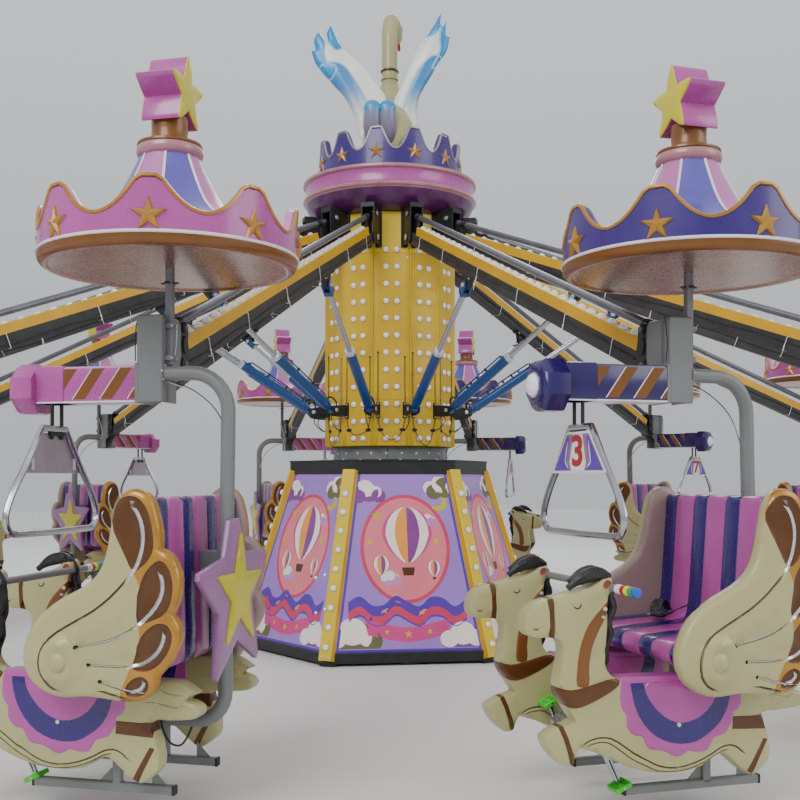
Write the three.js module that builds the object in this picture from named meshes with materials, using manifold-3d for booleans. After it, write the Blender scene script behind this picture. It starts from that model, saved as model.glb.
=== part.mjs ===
// Fairground swan ride: a six-sided plinth carries a turning twelve-sided tower with a swan on its
// crown. Twelve lifting arms leave the tower, each with a lift cylinder, and each carries a canopy
// and a carriage for two riders with a pair of rocking horses, wings and a striped seat.
//
// Units are millimetres and +Z is up. The origin is on the ground under the middle of the plinth,
// and one side of the plinth looks along -Y. An azimuth is counted from -Y towards +X.
//
// Three local frames are used. An arm set is built with +X pointing away from the tower, and is
// then turned to its azimuth. A carriage is built around the middle of its hanger with +X pointing
// outward (w) and -Y pointing along the direction of travel (u). The swan is built looking along +Y.
import * as THREE from 'three';
import * as BufferGeometryUtils from 'three/addons/utils/BufferGeometryUtils.js';
import Module from 'manifold-3d';

const wasm = await Module();
wasm.setup();

const { degToRad } = THREE.MathUtils;

// Driving dimensions

const PIN_SIDES = 6;
const SEAT_GAP = 0.3;
const BEARING_GAP = 0.5;

const ARM_COUNT = 12;
const ARM_STEP = 360 / ARM_COUNT;
const FIRST_ARM_AZIMUTH = -51.3;

const PLINTH_SIDES = 6;
const PLINTH_FOOT_RADIUS = 1373;
const PLINTH_NECK_RADIUS = 914;
const SKIRT_RADIUS = 1400;
const SKIRT_TOP = 110;
const BAND_BOTTOM = 1587;
const BAND_TOP = 1706;
const BAND_RADIUS = 930;
const POST_WIDTH = 115;
const POST_DEPTH = 90;
const POST_STAND = 30;

const TURNTABLE_RADIUS = 530;
const TURNTABLE_TOP = 1828;
const TURNTABLE_LIFT = 6;
const BEARING_RADIUS = 360;

const TOWER_RADIUS = 620;
const TOWER_FOLD = 18;
const TOWER_SPLIT = 2240;
const HEAD_BOTTOM = 3540;
const HEAD_TOP = 3910;

const DISC_RADIUS = 810;
const DISC_LOWER_LIP = 4110;
const DISC_TOP = 4280;
const DISC_FOOT_RADIUS = 600;
const CROWN_RADIUS = 655;
const CROWN_WALL = 16;
const CROWN_VALLEY = 4446;
const CROWN_PEAK = 4635;
const CROWN_PEAKS = 12;
const CROWN_AZIMUTH = FIRST_ARM_AZIMUTH + 3.2;

const ARM_SLOPE = 20.8;
const ARM_REACH = 4020;
const SHOULDER = { radius: 720, height: 3650 };
const ARM_LENGTH = ARM_REACH / Math.cos(degToRad(ARM_SLOPE));
const ELBOW = {
  radius: SHOULDER.radius + ARM_REACH,
  height: SHOULDER.height - ARM_REACH * Math.tan(degToRad(ARM_SLOPE)),
};
const BEAM_WIDTH = 87;
const BEAM_HALF_HEIGHT = 50;
const CHANNEL_TOP = 118;
const CHANNEL_START = 210;
const CHANNEL_END_MARGIN = 130;
const TIE_HEIGHT = 187;
const TIE_RADIUS = 24;
const EYE_HALF_WIDTH = 48.5;
const EYE_REACH = 48;
const EAR_INNER = EYE_HALF_WIDTH + BEARING_GAP;
const EAR_THICKNESS = 11;
const ARM_PIN_RADIUS = 22;
const ARM_HOLE_RADIUS = 26;

const CYLINDER_BASE = { radius: 740, height: 2150 };
const LUG_ALONG = 1476;
const LUG_BELOW = 130;
const LUG_HALF_WIDTH = 20;
const BARREL_RADIUS = 50;
const BARREL_BORE = 29;
const BARREL_START = 85;
const BARREL_END = 860;
const BARREL_FLOOR = 110;
const BARREL_EYE_HALF_WIDTH = 30;
const CYLINDER_PIN_RADIUS = 15;
const CYLINDER_HOLE_RADIUS = 18;
const ROD_RADIUS = 22.5;
const ROD_START = 125;
const CLEVIS_EAR_THICKNESS = 15;

const CARRIAGE_RADIUS = 5000;
const HANGER = { inner: -237, outer: 0, bottom: 1920, top: 2340, wall: 20 };
const HANGER_EARS = { inner: -320, bottom: 2075 };
const TIE_OPENING = -195;
const CANOPY = {
  radius: 617, peaks: 8, rim: 2563, valley: 2703, peak: 2855, shoulder: 2915, collar: 3218, top: 3360,
};
const CANOPY_STAR = { height: 3412, outer: 182, inner: 85, depth: 210 };
const CANOPY_POST = { w: -64, y: 78, halfWidth: 18, bottom: 2100 };
const PINK_CANOPY_PHASE = 16.6;
const BEAM_COVER = { inner: -160, outer: 0, near: 58, far: 620, bottom: 1925, top: 2100 };
const BEAM_CAP = { w: -80, height: 1995, radius: 134, near: 613, far: 748 };
const SEAT_SETBACK = 52;
const SEAT_HALF_WIDTH = 470;
const WING_THICKNESS = 80;
const HORSE_OFFSET = 330;
const HORSE_THICKNESS = 100;
const SKID_OFFSET = 250;
const PIPE_RADIUS = 35;
const PIPE_REACH = 392;
const PIPE_START = -36;
const PIPE_TOP = 2057;
const SPINE_HEIGHT = 400;
const LOOP_PLANE = 528;
const LOOP_MIDDLE = -30;

// Materials

const finish = (color, roughness, metalness = 0) => (
  new THREE.MeshStandardMaterial({ color, roughness, metalness })
);
const BLACK_PAINT = finish(0x17161b, 0.45);
const LILAC_PANEL = finish(0xb49be0, 0.4);
const YELLOW_PAINT = finish(0xe3b41c, 0.45);
const PALE_STEEL = finish(0xb9c3cf, 0.4, 0.2);
const PINK_GLOSS = finish(0xd77fc0, 0.3);
const PURPLE_GLOSS = finish(0x4b2f9c, 0.3);
const CREAM_GLOSS = finish(0xe2ddbf, 0.35);
const WING_WHITE = finish(0xe6ebe2, 0.35);
const BLUE_PAINT = finish(0x1f7fd0, 0.35, 0.1);
const CHROME = finish(0xd8dade, 0.15, 1);

// Solids from three.js geometry

function asSolid(geometry) {
  geometry.deleteAttribute('normal');
  geometry.deleteAttribute('uv');
  const merged = BufferGeometryUtils.mergeVertices(geometry, 1e-3);
  return new wasm.Manifold(new wasm.Mesh({
    numProp: 3,
    vertProperties: Float32Array.from(merged.attributes.position.array),
    triVerts: Uint32Array.from(merged.index.array),
  }));
}

function joined(...solids) {
  return solids.reduce((sum, solid) => sum.add(solid));
}

function meshOf(name, solid, material) {
  const { vertProperties, triVerts } = solid.getMesh();
  const geometry = new THREE.BufferGeometry();
  geometry.setAttribute('position', new THREE.BufferAttribute(vertProperties, 3));
  geometry.setIndex(new THREE.BufferAttribute(triVerts, 1));
  geometry.computeVertexNormals();
  const mesh = new THREE.Mesh(geometry, material);
  mesh.name = name;
  return mesh;
}

function slab([x0, x1], [y0, y1], [z0, z1]) {
  const geometry = new THREE.BoxGeometry(x1 - x0, y1 - y0, z1 - z0);
  return asSolid(geometry.translate((x0 + x1) / 2, (y0 + y1) / 2, (z0 + z1) / 2));
}

// An upright prism or truncated pyramid, with one edge at the given azimuth.
function prism(sides, bottomRadius, topRadius, bottom, top, edgeAzimuth = 0) {
  const geometry = new THREE.CylinderGeometry(
    topRadius, bottomRadius, top - bottom, sides, 1, false, degToRad(edgeAzimuth),
  );
  return asSolid(geometry.rotateX(Math.PI / 2).translate(0, 0, (bottom + top) / 2));
}

// A solid of revolution about Z. Each profile point is [radius, height].
function turned(profile, segments, edgeAzimuth = 0) {
  const points = profile.map(([radius, height]) => new THREE.Vector2(radius, height));
  const geometry = new THREE.LatheGeometry(points, segments, degToRad(edgeAzimuth));
  return geometry.rotateX(Math.PI / 2);
}

// A straight round bar between two points [x, y, z].
function bar(from, to, radius, sides) {
  const start = new THREE.Vector3(...from);
  const end = new THREE.Vector3(...to);
  const along = end.clone().sub(start);
  const geometry = new THREE.CylinderGeometry(radius, radius, along.length(), sides);
  const turn = new THREE.Quaternion().setFromUnitVectors(
    new THREE.Vector3(0, 1, 0), along.clone().normalize(),
  );
  const middle = start.add(end).multiplyScalar(0.5);
  return asSolid(geometry.applyQuaternion(turn).translate(middle.x, middle.y, middle.z));
}

// A pin along Y at [x, z], from -halfLength to +halfLength.
function pinAlongY(x, z, radius, halfLength) {
  return bar([x, -halfLength, z], [x, halfLength, z], radius, PIN_SIDES);
}

function shapeOf(points) {
  return new THREE.Shape(points.map(([x, y]) => new THREE.Vector2(x, y)));
}

// A flat sheet in the X-Z plane, with its outline as [x, z], centred on the given y.
function frontSheet(outline, y, thickness) {
  const geometry = new THREE.ExtrudeGeometry(shapeOf(outline), { depth: thickness, bevelEnabled: false });
  geometry.translate(0, 0, -thickness / 2);
  return asSolid(geometry.rotateX(Math.PI / 2).translate(0, y, 0));
}

// A flat sheet in the plane of travel, with its outline as [u, z], centred on the given w.
function sideSheet(outline, w, thickness) {
  const geometry = new THREE.ExtrudeGeometry(shapeOf(outline), { depth: thickness, bevelEnabled: false });
  geometry.translate(0, 0, -thickness / 2);
  const placed = new THREE.Matrix4().makeBasis(
    new THREE.Vector3(0, -1, 0), new THREE.Vector3(0, 0, 1), new THREE.Vector3(-1, 0, 0),
  );
  return asSolid(geometry.applyMatrix4(placed).translate(w, 0, 0));
}

// A route through given corners that a section follows, with each corner mitred.
class CornerRoute extends THREE.Curve {
  constructor(corners) {
    super();
    this.corners = corners;
  }

  getPoint(t) {
    const place = t * (this.corners.length - 1);
    const index = Math.min(Math.floor(place), this.corners.length - 2);
    return this.corners[index].clone().lerp(this.corners[index + 1], place - index);
  }

  getPointAt(t) {
    return this.getPoint(t);
  }

  getTangentAt(t) {
    const last = this.corners.length - 1;
    const index = Math.round(t * last);
    const before = this.corners[Math.max(index - 1, 0)];
    const here = this.corners[index];
    const after = this.corners[Math.min(index + 1, last)];
    const arriving = here.clone().sub(before).normalize();
    const leaving = after.clone().sub(here).normalize();
    return arriving.add(leaving).normalize();
  }
}

// Corners of a route with each inner corner replaced by an arc of the given radius.
function roundedRoute(corners, radius, steps) {
  const points = corners.map((corner) => new THREE.Vector3(...corner));
  const route = [points[0]];
  for (let i = 1; i < points.length - 1; i += 1) {
    const toBefore = points[i - 1].clone().sub(points[i]).normalize();
    const toAfter = points[i + 1].clone().sub(points[i]).normalize();
    const reach = radius / Math.tan(toBefore.angleTo(toAfter) / 2);
    const bend = new THREE.QuadraticBezierCurve3(
      points[i].clone().addScaledVector(toBefore, reach),
      points[i],
      points[i].clone().addScaledVector(toAfter, reach),
    );
    route.push(...bend.getPoints(steps));
  }
  route.push(points[points.length - 1]);
  return route;
}

function tubeAlong(route, radius, sides) {
  const section = new THREE.Shape(
    Array.from({ length: sides }, (_, i) => {
      const angle = (2 * Math.PI * (i + 0.5)) / sides;
      return new THREE.Vector2(radius * Math.cos(angle), radius * Math.sin(angle));
    }),
  );
  return asSolid(new THREE.ExtrudeGeometry(section, {
    steps: route.length - 1,
    extrudePath: new CornerRoute(route),
  }));
}

function starOutline(centreX, centreZ, outer, inner) {
  return Array.from({ length: 10 }, (_, i) => {
    const reach = i % 2 === 0 ? outer : inner;
    const angle = Math.PI / 2 + (i * Math.PI) / 5;
    return [centreX + reach * Math.cos(angle), centreZ + reach * Math.sin(angle)];
  });
}

// Lifts the top edge of a turned ring into points: each point takes two of its facets.
function raisePeaks(geometry, valley, peak, peaks, offsetAzimuth = 0) {
  const position = geometry.attributes.position;
  for (let i = 0; i < position.count; i += 1) {
    if (Math.abs(position.getZ(i) - valley) < 1) {
      const azimuth = Math.atan2(position.getX(i), -position.getY(i)) - degToRad(offsetAzimuth);
      const wave = (1 + Math.cos(azimuth * peaks)) / 2;
      position.setZ(i, valley + (peak - valley) * wave);
    }
  }
  return geometry;
}

// Plinth

function cornerPost(azimuth) {
  const rise = BAND_BOTTOM + 40 - (SKIRT_TOP + 1);
  const run = PLINTH_FOOT_RADIUS - PLINTH_NECK_RADIUS;
  const lean = Math.atan2(run, BAND_BOTTOM - SKIRT_TOP);
  const outline = [
    [PLINTH_FOOT_RADIUS + POST_STAND - POST_DEPTH, SKIRT_TOP + 1],
    [PLINTH_FOOT_RADIUS + POST_STAND, SKIRT_TOP + 1],
    [PLINTH_FOOT_RADIUS + POST_STAND - rise * Math.tan(lean), SKIRT_TOP + 1 + rise],
    [PLINTH_FOOT_RADIUS + POST_STAND - POST_DEPTH - rise * Math.tan(lean), SKIRT_TOP + 1 + rise],
  ];
  return frontSheet(outline, 0, POST_WIDTH).rotate([0, 0, azimuth - 90]);
}

function plinth() {
  const edge = 180 / PLINTH_SIDES;
  const skirt = prism(PLINTH_SIDES, SKIRT_RADIUS, SKIRT_RADIUS, 0, SKIRT_TOP, edge);
  const housing = prism(
    PLINTH_SIDES, PLINTH_FOOT_RADIUS, PLINTH_NECK_RADIUS, SKIRT_TOP + SEAT_GAP, BAND_BOTTOM - SEAT_GAP, edge,
  );
  const housingClearance = prism(
    PLINTH_SIDES, PLINTH_FOOT_RADIUS + 1, PLINTH_NECK_RADIUS + 1, SKIRT_TOP, BAND_BOTTOM, edge,
  );
  const posts = Array.from({ length: PLINTH_SIDES }, (_, i) => cornerPost(edge + i * 2 * edge));
  const band = prism(PLINTH_SIDES, BAND_RADIUS, BAND_RADIUS, BAND_BOTTOM, BAND_TOP, edge);
  const frame = joined(band, ...posts).subtract(housingClearance);
  const group = new THREE.Group();
  group.add(
    meshOf('base_skirt', skirt, BLACK_PAINT),
    meshOf('base_housing', housing, LILAC_PANEL),
    meshOf('base_corner_frame', frame, YELLOW_PAINT),
  );
  return group;
}

// Tower

// The twelve-sided section of the tower, with each panel set back between its folded edges.
function towerSection() {
  const points = [];
  for (let i = 0; i < ARM_COUNT; i += 1) {
    const start = degToRad(FIRST_ARM_AZIMUTH + i * ARM_STEP);
    const end = start + degToRad(ARM_STEP);
    const corner = new THREE.Vector2(TOWER_RADIUS * Math.sin(start), -TOWER_RADIUS * Math.cos(start));
    const next = new THREE.Vector2(TOWER_RADIUS * Math.sin(end), -TOWER_RADIUS * Math.cos(end));
    const middle = (start + end) / 2;
    const inward = new THREE.Vector2(-Math.sin(middle), Math.cos(middle)).multiplyScalar(TOWER_FOLD);
    points.push(
      corner,
      corner.clone().lerp(next, 0.13).add(inward),
      corner.clone().lerp(next, 0.87).add(inward),
    );
  }
  return new THREE.Shape(points);
}

function towerLength(bottom, top) {
  const geometry = new THREE.ExtrudeGeometry(towerSection(), { depth: top - bottom, bevelEnabled: false });
  return asSolid(geometry.translate(0, 0, bottom));
}

// One pair of cheek plates with its pin, in the arm frame.
function cheekPair(spanX, spanZ, innerFace, thickness, pin) {
  const outerFace = innerFace + thickness;
  return joined(
    slab(spanX, [innerFace, outerFace], spanZ),
    slab(spanX, [-outerFace, -innerFace], spanZ),
    pinAlongY(pin.x, pin.z, pin.radius, (innerFace + outerFace) / 2),
  );
}

function cylinderBracket() {
  const { radius, height } = CYLINDER_BASE;
  return cheekPair(
    [575, radius + 40], [height - 40, height + 40], BARREL_EYE_HALF_WIDTH + BEARING_GAP, 14,
    { x: radius, z: height, radius: CYLINDER_PIN_RADIUS },
  );
}

function armBracket() {
  const { radius, height } = SHOULDER;
  return cheekPair(
    [560, radius + 110], [height - 70, height + 240], EAR_INNER, EAR_THICKNESS,
    { x: radius, z: height, radius: ARM_PIN_RADIUS },
  );
}

function aroundTower(makeSolid) {
  return Array.from({ length: ARM_COUNT }, (_, i) => (
    makeSolid().rotate([0, 0, FIRST_ARM_AZIMUTH + i * ARM_STEP - 90])
  ));
}

function tower() {
  const turntable = joined(
    prism(24, TURNTABLE_RADIUS, TURNTABLE_RADIUS, BAND_TOP + TURNTABLE_LIFT, TURNTABLE_TOP),
    prism(8, BEARING_RADIUS, BEARING_RADIUS, BAND_TOP + BEARING_GAP, BAND_TOP + 2 * TURNTABLE_LIFT),
  );
  const lower = joined(towerLength(TURNTABLE_TOP + SEAT_GAP, TOWER_SPLIT), ...aroundTower(cylinderBracket));
  const upper = towerLength(TOWER_SPLIT + SEAT_GAP, HEAD_BOTTOM);
  const head = joined(towerLength(HEAD_BOTTOM + SEAT_GAP, HEAD_TOP), ...aroundTower(armBracket));
  const group = new THREE.Group();
  group.add(
    meshOf('turntable', turntable, PALE_STEEL),
    meshOf('tower_lower_cladding', lower, YELLOW_PAINT),
    meshOf('tower_upper_cladding', upper, YELLOW_PAINT),
    meshOf('arm_head_ring', head, YELLOW_PAINT),
  );
  return group;
}

// Disc and crown

function roofDisc() {
  return asSolid(turned([
    [0, HEAD_TOP + SEAT_GAP],
    [DISC_FOOT_RADIUS, HEAD_TOP + SEAT_GAP],
    [DISC_RADIUS - 20, DISC_LOWER_LIP - 15],
    [DISC_RADIUS, DISC_LOWER_LIP + 10],
    [DISC_RADIUS, DISC_TOP - 15],
    [DISC_RADIUS - 25, DISC_TOP],
    [0, DISC_TOP],
  ], 24));
}

function roofCrown() {
  const inner = CROWN_RADIUS - CROWN_WALL;
  const bottom = DISC_TOP + SEAT_GAP;
  const ring = turned([
    [inner, bottom], [CROWN_RADIUS, bottom], [CROWN_RADIUS, CROWN_VALLEY], [inner, CROWN_VALLEY],
    [inner, bottom],
  ], CROWN_PEAKS * 2, CROWN_AZIMUTH);
  return asSolid(raisePeaks(ring, CROWN_VALLEY, CROWN_PEAK, CROWN_PEAKS, CROWN_AZIMUTH));
}

// Swan

const SWAN_AZIMUTH = -7.9;
const SWAN_BODY = { halfWidth: 270, halfLength: 470, halfHeight: 400, height: 4640 };
const LEFT_WING_OUTLINE = [
  [-180, 4560], [-316, 4861], [-401, 5089], [-538, 5249], [-697, 5442], [-737, 5556], [-663, 5732],
  [-583, 5647], [-549, 5806], [-447, 5590], [-254, 5408], [-120, 5180], [-120, 4700],
];
const RIGHT_WING_OUTLINE = [
  [180, 4560], [120, 4700], [120, 5180], [240, 5520], [407, 5772], [486, 5926], [532, 5840],
  [566, 5681], [532, 5544], [463, 5453], [395, 5328], [281, 5123], [259, 4998],
];

function swanTrunk(grow) {
  const geometry = new THREE.SphereGeometry(1, 12, 8);
  geometry.scale(SWAN_BODY.halfWidth + grow, SWAN_BODY.halfHeight + grow, SWAN_BODY.halfLength + grow);
  geometry.rotateX(Math.PI / 2).translate(0, 0, SWAN_BODY.height);
  const below = slab([-800, 800], [-800, 800], [4000, DISC_TOP + SEAT_GAP]);
  return asSolid(geometry).subtract(below);
}

function swanNeck() {
  const route = new THREE.CatmullRomCurve3([
    new THREE.Vector3(0, 260, 4760), new THREE.Vector3(0, 400, 5000), new THREE.Vector3(0, 330, 5230),
    new THREE.Vector3(0, 300, 5560), new THREE.Vector3(0, 320, 5880), new THREE.Vector3(20, 390, 5965),
  ]).getPoints(7);
  const head = asSolid(new THREE.SphereGeometry(88, 8, 6).scale(1, 1.3, 1).translate(30, 410, 5940));
  const beak = bar([55, 480, 5905], [100, 590, 5797], 28, 5);
  const back = new THREE.CylinderGeometry(105, 235, 560, 10).scale(1, 1, 0.65).rotateX(Math.PI / 2);
  return joined(tubeAlong(route, 76, 7), head, beak, asSolid(back.translate(0, 260, 5030)));
}

function swanTail() {
  const lobe = (x, root) => bar([root, -330, 4700], [x, -520, 4850], 76, 8);
  return joined(lobe(-19, -20), lobe(-153, -120));
}

function swan() {
  const body = joined(swanTrunk(0), swanNeck(), swanTail());
  const clearance = swanTrunk(1);
  const left = frontSheet(LEFT_WING_OUTLINE, 0, 80).subtract(clearance);
  const right = frontSheet(RIGHT_WING_OUTLINE, 0, 80).subtract(clearance);
  const group = new THREE.Group();
  group.add(
    meshOf('swan_body', body, CREAM_GLOSS),
    meshOf('swan_wing_left', left, WING_WHITE),
    meshOf('swan_wing_right', right, WING_WHITE),
  );
  group.rotation.z = degToRad(SWAN_AZIMUTH);
  return group;
}

// Lifting arm, in the arm's own line: x runs along the beam and z is square to it

function armSolid() {
  const half = BEAM_WIDTH / 2;
  const beam = slab([0, ARM_LENGTH], [-half, half], [-BEAM_HALF_HEIGHT, BEAM_HALF_HEIGHT]);
  const channel = slab(
    [CHANNEL_START, ARM_LENGTH - CHANNEL_END_MARGIN], [-half, half], [BEAM_HALF_HEIGHT - 1, CHANNEL_TOP],
  );
  const tie = bar([15, 0, TIE_HEIGHT], [ARM_LENGTH - 30, 0, TIE_HEIGHT], TIE_RADIUS, 6);
  const webs = [[20, 100], [ARM_LENGTH - 110, ARM_LENGTH - 40]].map((span) => (
    slab(span, [-10, 10], [0, TIE_HEIGHT])
  ));
  const eyes = [0, ARM_LENGTH].map((x) => (
    slab([x - EYE_REACH, x + EYE_REACH], [-EYE_HALF_WIDTH, EYE_HALF_WIDTH], [-EYE_REACH, EYE_REACH])
  ));
  const holes = [0, ARM_LENGTH].map((x) => pinAlongY(x, 0, ARM_HOLE_RADIUS, half + 20));
  const lug = frontSheet([
    [LUG_ALONG - 80, -BEAM_HALF_HEIGHT + 5], [LUG_ALONG - 36, -LUG_BELOW - 36],
    [LUG_ALONG + 36, -LUG_BELOW - 36], [LUG_ALONG + 80, -BEAM_HALF_HEIGHT + 5],
  ], 0, 2 * LUG_HALF_WIDTH);
  return holes.reduce((arm, hole) => arm.subtract(hole), joined(beam, channel, tie, ...webs, ...eyes, lug));
}

// Lift cylinder: the line of its axis at rest runs from the base pin to the arm's lug

function lugAtRest() {
  const slope = degToRad(ARM_SLOPE);
  return {
    radius: SHOULDER.radius + LUG_ALONG * Math.cos(slope) - LUG_BELOW * Math.sin(slope),
    height: SHOULDER.height - LUG_ALONG * Math.sin(slope) - LUG_BELOW * Math.cos(slope),
  };
}

const LUG = lugAtRest();
const CYLINDER_RISE = LUG.height - CYLINDER_BASE.height;
const CYLINDER_RUN = LUG.radius - CYLINDER_BASE.radius;
const CYLINDER_LENGTH = Math.hypot(CYLINDER_RISE, CYLINDER_RUN);
const CYLINDER_ANGLE = Math.atan2(CYLINDER_RISE, CYLINDER_RUN);

function barrelSolid() {
  const shell = turned([
    [0, BARREL_START], [BARREL_RADIUS, BARREL_START], [BARREL_RADIUS, BARREL_END],
    [BARREL_BORE, BARREL_END], [BARREL_BORE, BARREL_FLOOR], [0, BARREL_FLOOR],
  ], 6).rotateY(Math.PI / 2);
  const eye = slab(
    [-34, BARREL_START + 5], [-BARREL_EYE_HALF_WIDTH, BARREL_EYE_HALF_WIDTH], [-34, 34],
  );
  return joined(asSolid(shell), eye).subtract(pinAlongY(0, 0, CYLINDER_HOLE_RADIUS, 60));
}

function rodSolid() {
  const stem = bar([ROD_START, 0, 0], [CYLINDER_LENGTH - 80, 0, 0], ROD_RADIUS, 6);
  const inner = LUG_HALF_WIDTH + BEARING_GAP;
  const outer = inner + CLEVIS_EAR_THICKNESS;
  const block = slab([CYLINDER_LENGTH - 105, CYLINDER_LENGTH - 68], [-outer, outer], [-34, 34]);
  const ears = [-1, 1].map((side) => {
    const faces = [side * inner, side * outer].sort((a, b) => a - b);
    return slab([CYLINDER_LENGTH - 70, CYLINDER_LENGTH + 34], faces, [-34, 34]);
  });
  return joined(stem, block, ...ears);
}

// Carriage, around the middle of its hanger

const HORSE_OUTLINE = [
  [1030, 875], [1040, 960], [740, 1075], [662, 1126], [606, 1092], [650, 780], [590, 666],
  [-260, 652], [-370, 540], [-138, 470], [-180, 310], [-90, 191], [60, 298], [350, 232], [606, 299],
  [819, 306], [950, 420], [811, 500], [891, 655], [867, 846],
];
const WING_OUTLINE = [
  [387, 800], [328, 931], [126, 1064], [10, 1170], [-50, 1440], [-138, 1503], [-240, 1400],
  [-350, 1170], [-350, 860], [-199, 598], [240, 590],
];
const SEAT_OUTLINE = [
  [340, 745], [300, 810], [-90, 845], [-140, 1468], [-215, 1468], [-225, 700], [300, 700],
];

function hanger() {
  const outside = EAR_INNER + EAR_THICKNESS;
  const across = [-EAR_INNER, EAR_INNER];
  const block = joined(
    slab([HANGER.inner, HANGER.outer], [-outside, outside], [HANGER.bottom, HANGER.top]),
    slab([HANGER_EARS.inner, HANGER.inner + 1], [-outside, outside], [HANGER_EARS.bottom, HANGER.top]),
  );
  const ceiling = HANGER.top - HANGER.wall;
  const depth = [HANGER_EARS.inner - 1, HANGER.outer - HANGER.wall];
  const slot = slab(depth, across, [HANGER.bottom - 1, ceiling]);
  const tieOpening = slab([HANGER_EARS.inner - 1, TIE_OPENING], across, [ceiling - 1, HANGER.top + 1]);
  return joined(
    block.subtract(slot).subtract(tieOpening),
    pinAlongY(ELBOW.radius - CARRIAGE_RADIUS, ELBOW.height, ARM_PIN_RADIUS, outside - EAR_THICKNESS / 2),
  );
}

function canopy(phase) {
  const { w, y, halfWidth, bottom } = CANOPY_POST;
  const roof = turned([
    [0, CANOPY.rim + 12], [CANOPY.radius, CANOPY.rim], [CANOPY.radius, CANOPY.valley],
    [215, CANOPY.shoulder], [90, CANOPY.collar], [0, CANOPY.top],
  ], CANOPY.peaks * 2, phase);
  raisePeaks(roof, CANOPY.valley, CANOPY.peak, CANOPY.peaks, phase);
  const { height, outer, inner, depth } = CANOPY_STAR;
  const star = frontSheet(starOutline(0, height, outer, inner), 0, depth);
  const post = slab([-halfWidth, halfWidth], [-halfWidth - 1, halfWidth], [bottom, CANOPY.rim + 60]);
  return joined(asSolid(roof), star, post).translate([w, y, 0]);
}

function stripedBeam() {
  const { inner, outer, near, far, bottom, top } = BEAM_COVER;
  const length = BEAM_CAP.far - BEAM_CAP.near;
  const cap = new THREE.CylinderGeometry(BEAM_CAP.radius, BEAM_CAP.radius, length, 8, 1, false, Math.PI / 8);
  cap.translate(BEAM_CAP.w, -(BEAM_CAP.near + BEAM_CAP.far) / 2, BEAM_CAP.height);
  return joined(slab([inner, outer], [-far, -near], [bottom, top]), asSolid(cap));
}

function numberLoop() {
  const route = [
    [-256, 1605], [-420, 1460], [-420, 1290], [420, 1290], [420, 1460], [256, 1605],
  ].map(([w, z]) => new THREE.Vector3(w, -LOOP_PLANE, z));
  const plate = frontSheet([[-107, 1795], [-265, 1595], [265, 1595], [107, 1795]], -LOOP_PLANE, 12);
  const hook = slab([-70, 25], [-LOOP_PLANE - 8, -LOOP_PLANE + 8], [1780, BEAM_COVER.bottom + 5]);
  return joined(tubeAlong(route, 17, 4), plate, hook).translate([LOOP_MIDDLE, 0, 0]);
}

function gooseneck() {
  const route = roundedRoute([
    [PIPE_START, 58, PIPE_TOP], [PIPE_START, PIPE_REACH, PIPE_TOP],
    [0, PIPE_REACH, SPINE_HEIGHT], [0, SEAT_SETBACK, SPINE_HEIGHT],
  ], 160, 1);
  return joined(
    tubeAlong(route, PIPE_RADIUS, 6),
    slab([-40, 40], [205 + SEAT_SETBACK, PIPE_REACH], [1080, 1240]),
    frontSheet(starOutline(0, 1010, 510, 250), PIPE_REACH + PIPE_RADIUS - 10, 24),
  );
}

function underFrame() {
  const solids = [
    slab([-30, 30], [-610, 10], [SPINE_HEIGHT - 70, SPINE_HEIGHT]),
    slab([-290, 290], [-110, -60], [SPINE_HEIGHT - 25, SPINE_HEIGHT + 25]),
    slab([-25, 25], [-110, -60], [SPINE_HEIGHT, 710]),
    slab([-240, 240], [-605, -570], [335, 365]),
  ];
  [-1, 1].forEach((side) => {
    const w = side * SKID_OFFSET;
    solids.push(
      slab([w - 20, w + 20], [-105, -65], [140, SPINE_HEIGHT]),
      slab([w - 20, w + 20], [-515, 200], [115, 155]),
    );
  });
  return joined(...solids);
}

function pedals() {
  return joined(...[1, -1].flatMap((side) => {
    const inner = side > 0 ? 220 : -240;
    const centre = 350 - 165 * side;
    return [
      slab([inner, inner + 20], [-602, -572], [Math.min(350, centre), Math.max(350, centre)]),
      slab([inner - 40, inner + 60], [-630, -545], [centre - 12, centre + 12]),
    ];
  }));
}

// The seat and all that rides with it, in front of the rear pipe.
function seatGroup() {
  const horses = [-1, 1].map((side) => sideSheet(HORSE_OUTLINE, side * HORSE_OFFSET, HORSE_THICKNESS));
  const wingPlace = SEAT_HALF_WIDTH + WING_THICKNESS / 2 - 5;
  const wings = [-1, 1].map((side) => sideSheet(WING_OUTLINE, side * wingPlace, WING_THICKNESS));
  const seat = sideSheet(SEAT_OUTLINE, 0, 2 * SEAT_HALF_WIDTH);
  const handBar = bar([-560, -635, 1070], [560, -635, 1070], 18, 4);
  return joined(underFrame(), pedals(), seat, ...horses, ...wings, handBar).translate([0, SEAT_SETBACK, 0]);
}

function carriageSolid(canopyPhase) {
  return joined(hanger(), canopy(canopyPhase), stripedBeam(), numberLoop(), gooseneck(), seatGroup());
}

// Arm sets

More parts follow.
